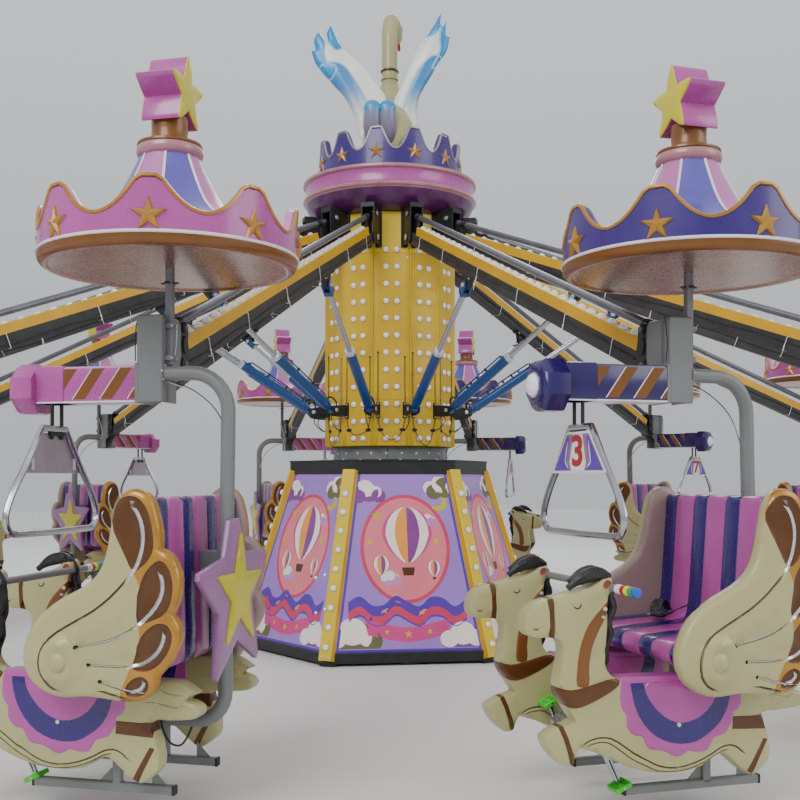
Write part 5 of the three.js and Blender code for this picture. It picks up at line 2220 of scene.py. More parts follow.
@dataclass
class ArmSet:
    """One lifting arm with its lights and the gas cylinder under it."""

    half_width: float = 0.0435
    half_height: float = 0.05
    channel_start: float = 0.21
    channel_end: float = 0.13
    channel_top: float = 0.118
    tie_height: float = 0.187
    tie_radius: float = 0.024
    bulb_gap: float = 0.1305
    barrel_radius: float = 0.044
    barrel_start: float = 0.085
    barrel_end: float = 0.80
    rod_radius: float = 0.0225

    def arm(self) -> bpy.types.Mesh:
        """Build the black beam with its yellow lamp channel, tie tube, webs and eyes.

        Returns:
            The mesh.
        """
        maker = MeshMaker()
        w, h, end = self.half_width, self.half_height, ARM_LENGTH
        maker.block((0.03, -w, -h), (end - 0.03, w, h), Look.BEAM, 0.005)
        for at in (0.0, end):
            self._lathe(maker, (at, 0, 0), Axis.ACROSS,
                        [(0.046, -0.0485), (0.048, -0.0465), (0.048, 0.0465), (0.046, 0.0485)],
                        Look.BLACK, 28)
        top, low = self.channel_top, h - 0.002
        section = [(-w, low), (w, low), (w, top - 0.003), (w - 0.003, top), (w - 0.006, top),
                   (w - 0.008, top - 0.010), (-w + 0.008, top - 0.010), (-w + 0.006, top),
                   (-w + 0.003, top), (-w, top - 0.003)]
        looks = [Look.CHANNEL] * 2 + [Look.POST_YELLOW] * 3 + [Look.CHANNEL_BED] + [Look.POST_YELLOW] * 3
        looks.append(Look.CHANNEL)
        start, stop = self.channel_start, end - self.channel_end
        rows = [[(x, y, z) for y, z in section] for x in (start, stop)]
        maker.rings(rows, lambda _, j: looks[j])
        count = int((stop - start - 0.08) / self.bulb_gap)
        for k in range(count + 1):
            bulb(maker, (start + 0.05 + k * self.bulb_gap, 0, top - 0.010), (0, 0, 1), 0.027, 8,
                 Look.WHITE)
        self._tie(maker, end)
        self._lug(maker)
        self._wiring(maker, end)
        return maker.mesh("arm_dressed")

    @staticmethod
    def _lathe(maker: MeshMaker, at: Point3, axis: Axis, profile: Sequence[Point2],
               finish: Finish | Callable[[int, int], Finish], segments: int = 20) -> None:
        """Turn a profile about an axis that lies flat.

        Args:
            maker: The piece that it is added to.
            at: Where the profile's height is 0.
            axis: Which way its height runs.
            profile: The profile of (radius, height).
            finish: The finish.
            segments: How many segments the turn has.
        """
        with maker.at(Matrix.Translation(at) @ axis.turn()):
            maker.turned(profile, finish, segments)

    def _tie(self, maker: MeshMaker, end: float) -> None:
        """Add the tie tube above the lamps, with its end webs and eyes.

        Args:
            maker: The arm.
            end: The arm's length.
        """
        z = self.tie_height
        maker.tube([(0.05, 0, z), (end - 0.05, 0, z)], self.tie_radius, Look.GUNMETAL, 18)
        for near, far, side in ((0.02, 0.115, 1), (end - 0.02, end - 0.10, -1)):
            web = [(near, self.half_height - 0.01), (far + side * 0.03, self.half_height - 0.01),
                   (far, z - 0.03), (far - side * 0.02, z + 0.012), (near + side * 0.012, z + 0.024),
                   (near, z)]
            maker.slab(web if side > 0 else web[::-1], -0.010, 0.010, Look.BLACK, 0.002, "XZ")
            collar = near + side * 0.085
            maker.tube([(collar, 0, z), (collar + side * 0.045, 0, z)], self.tie_radius + 0.006,
                       Look.BLACK, 18)

    def _lug(self, maker: MeshMaker) -> None:
        """Add the bracket under the beam that the rod pushes on.

        Args:
            maker: The arm.
        """
        x, z = LUG_ALONG, -LUG_BELOW
        plate = [(x - 0.10, -self.half_height + 0.006), (x - 0.045, z - 0.01), (x - 0.026, z - 0.030),
                 (x, z - 0.036), (x + 0.026, z - 0.030), (x + 0.045, z - 0.01),
                 (x + 0.10, -self.half_height + 0.006)]
        maker.slab(plate, -0.0195, 0.0195, Look.BLACK, 0.002, "XZ")
        maker.block((x - 0.125, -0.042, -self.half_height - 0.010),
                    (x + 0.125, 0.042, -self.half_height + 0.004), Look.BLACK, 0.003)
        for dx in (-0.095, 0.095):
            for y in (-0.030, 0.030):
                maker.bolt((x + dx, y, -self.half_height - 0.010), (0, 0, -1), 0.008)
        self._lathe(maker, (x, 0, z), Axis.ACROSS, [(0.0148, -0.05), (0.0148, 0.05)], Look.SILVER, 14)

    def _wiring(self, maker: MeshMaker, end: float) -> None:
        """Add the thin cables along the beam and the pale ties that hold them.

        Args:
            maker: The arm.
            end: The arm's length.
        """
        w, h = self.half_width, self.half_height
        for side, low in ((1, -0.018), (-1, 0.012)):
            line = []
            for k in range(19):
                x = 0.12 + k * (end - 0.24) / 18
                line.append((x, side * (w + 0.005), low + 0.007 * math.sin(2.1 * k + side)))
            maker.tube(curve(line, 2), 0.0042, Look.RUBBER, 5)
        for number, x in enumerate((0.36, 0.98, 1.78, 2.55, 3.30, 3.92)):
            reach, drop = w + 0.0105, h + 0.0015
            band = [(x, -reach, -drop), (x, reach, -drop), (x, reach, h - 0.004),
                    (x, w + 0.001, h + 0.001)]
            back = [(x, -w - 0.001, h + 0.001), (x, -reach, h - 0.004)]
            maker.tube([*back, *band], 0.0026, Look.WHITE, 4)
            side = 1 if number % 2 else -1
            tail = [(x, side * reach, -0.02), (x + 0.01, side * (reach + 0.012), -0.045),
                    (x + 0.004, side * (reach + 0.010), -0.085 - 0.012 * (number % 3))]
            maker.tube(curve(tail, 3), 0.0020, Look.WHITE, 4)
            maker.block((x - 0.005, side * reach - 0.004, -0.024),
                        (x + 0.005, side * reach + 0.004, -0.014), Look.WHITE, 0.001)

    def barrel(self) -> bpy.types.Mesh:
        """Build the blue cylinder barrel with its eye, ports and hose.

        Returns:
            The mesh.
        """
        maker = MeshMaker()
        r, start, end = self.barrel_radius, self.barrel_start, self.barrel_end
        profile = [(0.030, start - 0.035), (0.034, start - 0.03), (0.034, start), (r - 0.003, start),
                   (r, start + 0.004), (r, start + 0.035), (r - 0.002, start + 0.037),
                   (r - 0.002, end - 0.042), (r, end - 0.039)]
        blue = len(profile) - 1
        profile += [(r, end - 0.006), (r - 0.006, end), (0.030, end)]
        self._lathe(maker, (0, 0, 0), Axis.OUTWARD, profile,
                    lambda i, _: Look.BLUE if i < blue else Look.SILVER, 32)
        self._lathe(maker, (0, 0, 0), Axis.ACROSS,
                    [(0.032, -0.029), (0.034, -0.027), (0.034, 0.027), (0.032, 0.029)], Look.BLUE, 24)
        maker.block((0.0, -0.024, -0.022), (start - 0.01, 0.024, 0.022), Look.BLUE, 0.004)
        pipe = [(start + 0.05, 0, r + 0.004), (start + 0.06, 0, r + 0.018), (start + 0.09, 0, r + 0.021),
                (end - 0.12, 0, r + 0.021), (end - 0.09, 0, r + 0.018), (end - 0.08, 0, r - 0.002)]
        maker.tube(curve(pipe, 3), 0.0065, Look.BLUE, 8)
        for x in (start + 0.05, end - 0.08):
            maker.block((x - 0.016, -0.014, r - 0.008), (x + 0.016, 0.014, r + 0.008), Look.BLUE, 0.003)
        for x in (start + 0.24, end - 0.28):
            maker.block((x - 0.008, -0.012, r - 0.006), (x + 0.008, 0.012, r + 0.030), Look.BLACK, 0.002)
        hose = [(start + 0.02, 0.0, r - 0.002), (start + 0.015, 0.0, r + 0.03),
                (start - 0.03, 0.012, r + 0.045), (start - 0.07, 0.03, r + 0.02),
                (start - 0.085, 0.036, r - 0.03)]
        maker.tube(curve(hose, 3), 0.0075, Look.RUBBER, 8)
        return maker.mesh("barrel_dressed")

    def rod(self) -> bpy.types.Mesh:
        """Build the chromed rod and its blue fork.

        Returns:
            The mesh.
        """
        maker = MeshMaker()
        length = CYLINDER_LENGTH
        self._lathe(maker, (0, 0, 0), Axis.OUTWARD,
                    [(self.rod_radius - 0.002, 0.125), (self.rod_radius, 0.127),
                     (self.rod_radius, length - 0.105)],
                    Look.CHROME, 24)
        self._lathe(maker, (0, 0, 0), Axis.OUTWARD,
                    [(0.027, length - 0.125), (0.029, length - 0.122), (0.029, length - 0.104)],
                    Look.SILVER, 6)
        maker.block((length - 0.105, -0.0355, -0.033), (length - 0.062, 0.0355, 0.033), Look.BLUE, 0.005)
        for side in (-1, 1):
            cheek = [(length - 0.085, -0.033), (length, -0.033), (length + 0.024, -0.024),
                     (length + 0.034, 0.0), (length + 0.024, 0.024), (length, 0.033),
                     (length - 0.085, 0.033)]
            maker.slab(cheek, side * 0.0208, side * 0.0355, Look.BLUE, 0.003, "XZ")
            self._lathe(maker, (length, side * 0.0355, 0), Axis.ACROSS,
                        [(0.020, -0.001 if side > 0 else -0.006), (0.020, 0.006 if side > 0 else 0.001)],
                        Look.SILVER, 14)
        return maker.mesh("rod_dressed")

    def pieces(self) -> list[Piece]:
        """Build the arm, barrel and rod once and place them twelve times.

        Returns:
            The pieces.
        """
        arm, barrel, rod = self.arm(), self.barrel(), self.rod()
        result = []
        for k in range(ARM_COUNT):
            number = f"{k + 1:02d}"
            turn = turned_to(FIRST_ARM_AZIMUTH + k * ARM_STEP)
            shoulder = turn @ shifted(SHOULDER[0], 0, SHOULDER[1]) @ Matrix.Rotation(ARM_SLOPE, 4, "Y")
            foot = (turn @ shifted(CYLINDER_BASE[0], 0, CYLINDER_BASE[1])
                    @ Matrix.Rotation(-CYLINDER_ANGLE, 4, "Y"))
            result += [
                Piece(f"lift_arm_{number}", arm, f"arm_{number}", "black_paint", shoulder,
                      (f"arm_{number}",)),
                Piece(f"cylinder_{number}", barrel, f"barrel_{number}", "blue_paint", foot,
                      (f"barrel_{number}",)),
                Piece(f"piston_{number}", rod, f"rod_{number}", "chrome", foot, (f"rod_{number}",)),
            ]
        return result


@dataclass
class Hanger:
    """The grey folded box on the arm's end, with the pipe that carries the seat from behind."""

    low: float = 1.92
    top: float = 2.34
    slot_half: float = 0.0495
    outside_half: float = 0.060
    post_half: float = 0.018
    pipe_radius: float = 0.035
    pipe_w: float = -0.036
    pipe_back: float = 0.392
    cheek: tuple[Point2, ...] = (
        (-0.178, 1.92), (0.0, 1.92), (0.0, 2.336), (-0.205, 2.34), (-0.237, 2.318), (-0.237, 2.055),
        (-0.178, 2.025),
    )
    ear: tuple[Point2, ...] = (
        (-0.305, 2.078), (-0.225, 2.078), (-0.225, 2.34), (-0.302, 2.34), (-0.320, 2.322),
        (-0.320, 2.095),
    )

    def box(self) -> bpy.types.Mesh:
        """Build the box with its black ears, pins, canopy post and cables, and a strip of painted shade
        on each cheek.

        Returns:
            The mesh.
        """
        maker = MeshMaker()
        low, top, outside = self.low, self.top, self.outside_half
        for side in (-1, 1):
            near, far = side * self.slot_half, side * outside
            maker.slab(self.cheek, near, far, Look.GREY, 0.003, "XZ")
            maker.slab(self.ear, near, far, Look.BLACK, 0.003, "XZ")
            # The inner strip is painted darker grey as the shade in the recess beside the proud flange.
            for first, last, rise, finish in ((-0.050, -0.001, 0.005, Look.GREY),
                                              (-0.088, -0.052, 0.0012, Look.RECESS_PAINTED_SHADE)):
                strip = [(first, low + 0.005), (last, low + 0.005), (last, top - 0.012),
                         (first, top - 0.012)]
                maker.slab(strip, side * (outside - 0.002), side * (outside + rise), finish, 0.0006, "XZ")
            self._pins(maker, side)
        maker.block((-0.016, -outside - 0.003, low - 0.003), (0.002, outside + 0.003, top), Look.GREY,
                    0.005)
        maker.block((-0.195, -outside, top - 0.018), (0.0, outside, top + 0.001), Look.GREY, 0.004)
        maker.block((-0.170, -0.078, low - 0.004), (0.003, -0.058, low + 0.190), Look.GREY, 0.003)
        self._post(maker)
        self._cables(maker)
        return maker.mesh("hanger_box")

    def _pins(self, maker: MeshMaker, side: int) -> None:
        """Add the black bosses on one ear, with the ends of the elbow and tie pins.

        Args:
            maker: The hanger.
            side: 1 or -1, the cheek.
        """
        elbow_w, elbow_z = ELBOW[0] - CARRIAGE_RADIUS, ELBOW[1]
        for w, z, radius in ((elbow_w, elbow_z, 0.020), (elbow_w - 0.004, elbow_z + 0.190, 0.016)):
            with maker.at(shifted(w, -side * self.outside_half, z) @ spin(side * 90, "X")):
                boss = [(radius * 1.7, -0.001), (radius * 1.7, 0.010), (radius * 1.4, 0.014)]
                maker.turned(boss, Look.BLACK, 18)
                maker.turned([(radius, 0.012), (radius, 0.018), (radius * 0.75, 0.021)], Look.GUNMETAL,
                             16)
        oval = ellipse(elbow_w - 0.010, elbow_z + 0.103, 0.024, 0.045, 20)
        face = side * self.outside_half
        maker.slab(oval, face - side * 0.002, face + side * 0.010, Look.BLACK, 0.004, "XZ")

    def _post(self, maker: MeshMaker) -> None:
        """Add the square post behind the box that the canopy stands on, with its straps and cross plates.

        Args:
            maker: The hanger.
        """
        w, y = CANOPY_AT
        half, face = self.post_half, self.outside_half
        maker.block((w - half, y - half, 2.100), (w + half, y + half, 2.612), Look.GALVANISED, 0.003)
        for z in (2.135, 2.290):
            maker.block((w - 0.034, face - 0.001, z - 0.014), (w + 0.034, y + half + 0.004, z + 0.014),
                        Look.GALVANISED, 0.002)
            for shift in (-0.028, 0.028):
                maker.bolt((w + shift, y + half + 0.004, z), (0, 1, 0), 0.0045)
        maker.block((w - 0.044, y - 0.010, 2.494), (w + 0.044, y + 0.010, 2.503), Look.BLACK, 0.002)
        maker.block((w - 0.010, y - 0.044, 2.495), (w + 0.010, y + 0.044, 2.502), Look.BLACK, 0.002)
        maker.block((w - 0.034, y - 0.034, 2.588), (w + 0.034, y + 0.034, 2.600), Look.BROWN_GOLD, 0.003)

    def _cables(self, maker: MeshMaker) -> None:
        """Add the thin cables that hang in bows over the cheeks.

        Args:
            maker: The hanger.
        """
        reach = self.outside_half
        bows = (
            ([(-0.064, -reach + 0.004, 2.345), (-0.03, -reach - 0.014, 2.33),
              (-0.006, -reach - 0.016, 2.20), (-0.014, -reach - 0.020, 2.12)], 0.0028, Look.RUBBER),
            ([(-0.090, 0.102, 2.30), (-0.120, 0.085, 2.21), (-0.130, reach + 0.006, 2.10),
              (-0.10, reach + 0.010, 2.03), (-0.072, reach + 0.006, 2.05)], 0.0026, Look.WHITE),
        )
        for line, radius, finish in bows:
            maker.tube(curve(line, 3), radius, finish, 5)

    def pipe(self) -> bpy.types.Mesh:
        """Build the bent pipe with its flange, the seat's bracket and two thin leads.

        Returns:
            The mesh.
        """
        maker = MeshMaker()
        bend, low_bend, high, low = 0.185, 0.14, ELBOW[1] - 0.066, 0.40
        w, back, face = self.pipe_w, self.pipe_back, self.outside_half
        path = [(w, face - 0.004, high), (w, 0.12, high)]
        for k in range(9):
            t = k / 8 * math.pi / 2
            path.append((w, back - bend + bend * math.sin(t), high - bend + bend * math.cos(t)))
        path += [(w * 0.8, back, 1.62), (w * 0.25, back, 1.15), (0.0, back, 0.75)]
        for k in range(9):
            t = k / 8 * math.pi / 2
            path.append((0.0, back - low_bend + low_bend * math.cos(t),
                         low + low_bend - low_bend * math.sin(t)))
        path += [(0.0, 0.12, low), (0.0, SEAT_SETBACK - 0.01, low)]
        maker.tube(path, self.pipe_radius, Look.GREY, 20)
        maker.tube([(w, face + 0.0005, high), (w, face + 0.010, high)], 0.047, Look.GREY, 24)
        for k in range(6):
            turn = math.radians(60 * k + 15)
            maker.bolt((w + 0.041 * math.cos(turn), face + 0.010, high + 0.041 * math.sin(turn)),
                       (0, 1, 0), 0.0042)
        maker.tube([(0.0, back, 1.075), (0.0, back, 1.245)], 0.042, Look.GREY, 24)
        plate = back - 0.126
        maker.block((-0.022, plate - 0.010, 1.110), (0.022, back - 0.025, 1.210), Look.GREY, 0.006)
        for shift, finish in ((0.0, Look.RUBBER), (0.010, Look.WHITE)):
            lead = [(-0.072, face + 0.006, 2.03 - shift), (-0.078, 0.20, 1.975 - shift),
                    (-0.076, 0.32, 1.87 - shift), (-0.070, 0.375, 1.74 - shift),
                    (-0.046, back + 0.030, 1.60 - shift)]
            maker.tube(curve(lead, 3), 0.0028, finish, 5)
        return maker.mesh("carrier_pipe")


@dataclass
class Canopy:
    """The crown, striped tent, fluted neck and star over a carriage."""

    radius: float = 0.617
    rim: float = 2.565
    base: float = 2.587
    valley: float = 2.703
    peak: float = 2.855
    gores: int = 8

    def build(self, name: str, skin: Finish, lining: Finish, turn: float) -> bpy.types.Mesh:
        """Build one canopy.

        Args:
            name: The mesh's name.
            skin: The finish of the crown.
            lining: The finish inside the crown.
            turn: How far the peaks are turned, in radians.

        Returns:
            The mesh.
        """
        maker = MeshMaker(Matrix.Rotation(turn, 4, "Z"))
        Crown(self.radius, 0.055, self.base, self.valley, self.peak, self.gores, skin, lining, Look.GOLD,
              0.085, 2.682, 0.078, 0.010).build(maker, 16)
        r, rim = self.radius, self.rim
        lip = [(r - 0.052, rim - 0.003), (r - 0.040, rim - 0.007), (r - 0.022, rim - 0.005),
               (r - 0.008, rim + 0.004), (r + 0.001, rim + 0.017), (r + 0.003, rim + 0.030)]
        looks = [Look.ROSE] * 3 + [Look.BROWN_GOLD] * 4 + [Look.SEAM]
        bead = [(r + 0.004, rim + 0.042), (r + 0.010, rim + 0.045), (r + 0.011, rim + 0.051),
                (r + 0.005, rim + 0.057), (r - 0.012, rim + 0.060), (r - 0.05, rim + 0.062)]
        maker.turned([(r - 0.060, rim + 0.002), *lip, *bead], lambda i, _: looks[min(i, len(looks) - 1)],
                     56)
        self._mirror(maker)
        self._tent(maker)
        maker.frame = Matrix.Identity(4)
        self._finial(maker)
        return maker.mesh(name)

    def _mirror(self, maker: MeshMaker) -> None:
        """Add the gently rippled mirror under the canopy.

        Args:
            maker: The canopy.
        """
        count = 56
        spans = 18
        rows = []
        for step in range(spans + 1):
            radius = 0.05 + (self.radius - 0.060 - 0.05) * step / spans
            height = self.rim + 0.046 - 0.044 * (radius / self.radius) ** 1.6
            row = []
            for turn in around(count):
                swing = 2.2 * math.sin(2 * turn + 0.6) + 1.2 * math.sin(3 * turn - 4 * radius)
                wave = 0.0036 * math.sin(58 * radius + swing) * min(1.0, (spans - step) / 5)
                row.append(polar(radius, turn, height + wave))
            rows.append(row)
        # The mirror finish carries a painted reflection in bent rings.
        maker.rings(rows, lambda i, _: Look.ROSE if i > spans - 4 else Look.MIRROR, (True, False))

    def _tent(self, maker: MeshMaker) -> None:
        """Add the tent in indigo and pink gores with pale seams, and its rolled collar.

        Args:
            maker: The canopy.
        """
        line = curve([(0.600, 2.642), (0.48, 2.712), (0.36, 2.777), (0.27, 2.856), (0.205, 2.966),
                      (0.16, 3.058), (0.138, 3.112)], 2)
        steps = 4
        count = self.gores * steps
        rows = []
        for radius, height in line:
            row = []
            for k, turn in enumerate(around(count)):
                across = (k % steps) / steps
                puff = 1 + 0.035 * math.sin(math.pi * across)
                reach = min(radius * puff, 0.600)
                row.append(polar(reach, turn, height))
            rows.append(row)
        maker.rings(rows, lambda _, j: Look.TENT_PINK if (j // steps) % 2 else Look.TENT_BLUE)
        for turn in around(self.gores):
            seam = [polar(r + 0.001, turn, z + 0.001) for r, z in line[1:]]
            maker.tube(seam, 0.0075, Look.SEAM, 5, flat=0.7)
        collar = [(0.118, 0.0), (0.142, 0.002), (0.155, 0.012), (0.161, 0.028), (0.161, 0.046),
                  (0.154, 0.060), (0.158, 0.066), (0.156, 0.076), (0.140, 0.081), (0.09, 0.083)]
        maker.turned([(radius, 3.093 + rise) for radius, rise in collar],
                     lambda i, _: Look.LIP if i < 5 else Look.BROWN_GOLD, 36)

    @staticmethod
    def _finial(maker: MeshMaker) -> None:
        """Add the gold neck and the thick star on top.

        Args:
            maker: The canopy.
        """
        neck = [(0.104, 3.172), (0.098, 3.182), (0.090, 3.196), (0.088, 3.24), (0.090, 3.285),
                (0.086, 3.300), (0.06, 3.310)]
        maker.turned(neck, Look.BROWN_GOLD, 28)
        with maker.at(shifted(0, 0, 3.412)):
            points: list[tuple[float, ...]] = []
            for k in range(5):
                turn = math.pi / 2 + 2 * math.pi * k / 5
                for shift, reach in ((-0.11, 0.160), (0.0, 0.181), (0.11, 0.160)):
                    points.append((reach * math.cos(turn + shift), reach * math.sin(turn + shift)))
                notch = turn + math.pi / 5
                points.append((0.084 * math.cos(notch), 0.084 * math.sin(notch), SHARP))
            outline = loop(points, 2)
            Relief(outline, 0.100, 0.005, 0.006, 0.05, 0.07).build(maker, PLACES["XZ"], Look.STAR_YELLOW,
                                                                   wall=Look.PINK)


@dataclass
class BeamCover:
    """The moulded cover on the front beam, with its stripes, eight-sided cap and lamp."""

    near: float = 0.075
    far: float = 0.620
    inner: float = -0.160
    outer: float = 0.0
    low: float = 1.925
    top: float = 2.10
    cap_near: float = 0.613
    cap_far: float = 0.748
    cap_middle: tuple[float, float] = (-0.08, 1.995)
    cap_radius: float = 0.134
    sleeve: float = 0.457
    stripe_width: float = 0.066
    stripe_lean: float = 0.106

    def build(self, name: str, skin: Finish) -> bpy.types.Mesh:
        """Build one cover.

        Args:
            name: The mesh's name.
            skin: Its finish.

        Returns:
            The mesh.
        """
        maker = MeshMaker()
        section = []
        for w, z, across, up in ((self.inner, self.low, 1, 1), (self.outer, self.low, -1, 1),
                                 (self.outer, self.top, -1, -1), (self.inner, self.top, 1, -1)):
            bend = [(w, z + up * 0.013), (w + across * 0.003, z + up * 0.004), (w + across * 0.012, z)]
            section += bend if across * up > 0 else bend[::-1]
        spans = [(self.near, 0.003), (self.near + 0.005, 0.0), (self.far - 0.10, 0.0), (self.far, -0.004)]
        rows = [[(w, -u, z) for w, z in inset(section, by)] for u, by in spans]
        maker.rings(rows, skin)
        sleeve = ((self.sleeve, 0.001), (self.sleeve + 0.003, -0.005), (self.far - 0.012, -0.005),
                  (self.far, 0.0))
        maker.rings([[(w, -u, z) for w, z in inset(section, by)] for u, by in sleeve], skin)
        self._stripes(maker)
        maker.block((self.inner - 0.002, -self.far + 0.01, self.low - 0.005),
                    (self.outer + 0.002, -self.near,
                                                                               self.low + 0.004),
                    Look.SEAM, 0.002)
        self._cap(maker, skin)
        return maker.mesh(name)

    def _stripes(self, maker: MeshMaker) -> None:
        """Lay the slanting brown stripes and their thin pale borders on the outer and inner faces.

        Args:
            maker: The cover.
        """
        low, top = self.low + 0.013, self.top - 0.013
        for start in (-0.056, 0.091, 0.238, 0.385):
            foot = start + self.stripe_lean
            far = [(foot + self.stripe_width, low), (start + self.stripe_width, top)]
            stripe = self._cut([(foot, low), *far, (start, top)])
            border = sorted(set(self._cut(far)), key=lambda p: p[1])
            for side, face in ((1, self.outer), (-1, self.inner)):
                maker.slab(stripe, face - side * 0.004, face + side * 0.0012, Look.BROWN_GOLD, 0.0006,
                           "UZ")
                ends = [(face + side * 0.0014, -u, z) for u, z in (border[0], border[-1])]
                if math.dist(*ends) > 0.02:
                    maker.tube(ends, 0.0026, Look.WHITE, 6)

    def _cut(self, outline: Sequence[Point2]) -> list[Point2]:
        """Cut an outline off at the box's near end and at the sleeve.

        Args:
            outline: Points as (u, z).

        Returns:
            The outline that is left.
        """
        points = list(outline)
        for limit, side in ((self.near + 0.003, -1), (self.sleeve - 0.001, 1)):
            kept: list[Point2] = []
            for (u, z), (v, y) in zip(points, points[1:] + points[:1]):
                here, there = side * (u - limit) <= 0, side * (v - limit) <= 0
                if here:
                    kept.append((u, z))
                if here != there:
                    kept.append((limit, z + (y - z) * (limit - u) / (v - u)))
            points = kept
        return points

    def _cap(self, maker: MeshMaker, skin: Finish) -> None:
        """Add the eight-sided cap and the white lamp on its front.

        Args:
            maker: The cover.
            skin: The cap's finish.
        """
        w0, z0 = self.cap_middle
        near, far, r = self.cap_near, self.cap_far, self.cap_radius
        spans = ((near - 0.006, r - 0.044), (near, r - 0.006), (near + 0.010, r), (far - 0.045, r),
                 (far - 0.030, r - 0.004), (far - 0.010, r - 0.016), (far, r - 0.032),
                 (far + 0.002, r - 0.060))
        rows = []
        for u, radius in spans:
            row = []
            for k in range(8):
                a = math.radians(22.5 + 45 * k)
                row.append((w0 + radius * math.cos(a), -u, z0 + radius * math.sin(a)))
            rows.append(row)
        maker.rings(rows, skin)
        with maker.at(shifted(w0, -far - 0.001, z0) @ spin(90, "X")):
            maker.turned([(0.062, -0.002), (0.062, 0.004), (0.056, 0.006)], Look.SILVER, 28)
            maker.turned([(0.055, 0.004), (0.053, 0.015), (0.046, 0.024), (0.030, 0.031), (0.012, 0.034)],
                         Look.BULB, 28)


@dataclass
class NumberLoop:
    """The plate with the carriage's number and the chromed loop that it hangs in."""

    plane: float = 0.528
    stand: float = 0.013
    low: float = 1.576
    top: float = 1.774
    low_half: float = 0.285
    top_half: float = 0.120
    tube_radius: float = 0.017

    def frame(self) -> bpy.types.Mesh:
        """Build the rods, the plate and the loop.

        Returns:
            The mesh.
        """
        maker = MeshMaker()
        y = -self.plane
        for w in (-0.070, 0.018):
            maker.block((w - 0.012, y - 0.005, self.top - 0.03), (w + 0.012, y + 0.005, 1.932),
                        Look.BLACK, 0.002)
        maker.block((-0.088, y - 0.012, self.top - 0.012), (0.040, y + 0.007, self.top + 0.006),
                    Look.BLACK, 0.002)
        for w in (-0.19, 0.19):
            maker.block((w - 0.012, y - 0.012, self.low + 0.015),
                        (w + 0.012, y + 0.004, self.low + 0.075), Look.SILVER, 0.002)
        outline = [(-self.low_half, self.low), (self.low_half, self.low), (self.top_half, self.top),
                   (-self.top_half, self.top)]
        inner = inset(outline, 0.011)
        middle = [(-0.068, self.low + 0.012), (0.068, self.low + 0.012), (0.085, self.low + 0.05),
                  (0.048, self.top - 0.014), (-0.048, self.top - 0.014), (-0.085, self.low + 0.05)]
        wedge = [(0.082, self.low + 0.014), (0.250, self.low + 0.014), (0.110, self.top - 0.022),
                 (0.086, self.top - 0.030), (0.122, self.low + 0.058)]
        line = [(0.096, self.low + 0.022), (0.134, self.low + 0.055), (0.106, self.top - 0.040)]
        patches = [Patch(tuple(inner), Look.STAR_LILAC), Patch(tuple(middle), Look.WHITE)]
        marks = []
        for side in (1, -1):
            shape = [(side * x, z) for x, z in wedge]
            patches.append(Patch(tuple(shape if side > 0 else shape[::-1]), Look.TRIM_PURPLE))
            marks.append(Line(tuple((side * x, z) for x, z in line), 0.009, 0.0006, Look.WHITE))
        maker.frame = shifted(0, y - self.stand, 0)
        Relief(outline, 0.005, 0.0025, step=0.05, patches=patches, lines=marks).build(
            maker, PLACES["XZ"], Look.WHITE, Look.EDGE_SILVER, Look.SEAM, False)
        maker.frame = Matrix.Identity(4)
        right = [(0.108, 1.796), (0.185, 1.695), (0.262, 1.595), (0.345, 1.500), (0.392, 1.430),
                 (0.414, 1.375), (0.404, 1.325), (0.372, 1.295), (0.330, 1.289)]
        half = curve([(w, y, z) for w, z in right], 3)
        left = [(-w, a, z) for w, a, z in reversed(half)]
        maker.tube([*left, *half][::-1], self.tube_radius, Look.CHROME, 10)
        maker.tube([(-0.332, y, 1.289), (0.0, y, 1.285), (0.332, y, 1.289)], self.tube_radius,
                   Look.CHROME, 12)
        return maker.mesh("number_loop")

    def numeral(self, number: int) -> bpy.types.Mesh:
        """Build the raised red number of one carriage.

        Args:
            number: The number.

        Returns:
            The mesh.
        """
        letters = bpy.data.curves.new(f"numeral_{number}", "FONT")
        letters.body = str(number)
        letters.align_x = "CENTER"
        letters.align_y = "CENTER"
        letters.size = 0.200
        letters.space_character = 0.9
        letters.offset = 0.005
        letters.extrude = 0.0012
        letters.bevel_depth = 0.0006
        carrier = bpy.data.objects.new(f"numeral_{number}", letters)
        bpy.context.scene.collection.objects.link(carrier)
        bpy.context.view_layer.update()
        mesh = bpy.data.meshes.new_from_object(carrier)
        bpy.data.objects.remove(carrier)
        bpy.data.curves.remove(letters)
        squeeze = 1.30 if number < 10 else 0.95
        mesh.transform(shifted(0, -self.plane - self.stand - 0.0062, (self.low + self.top) / 2)
                       @ spin(90, "X") @ Matrix.Diagonal((squeeze, 1, 1, 1)))
        mesh.materials.clear()
        mesh.materials.append(PAINTBOX.material(Look.RED))
        return mesh


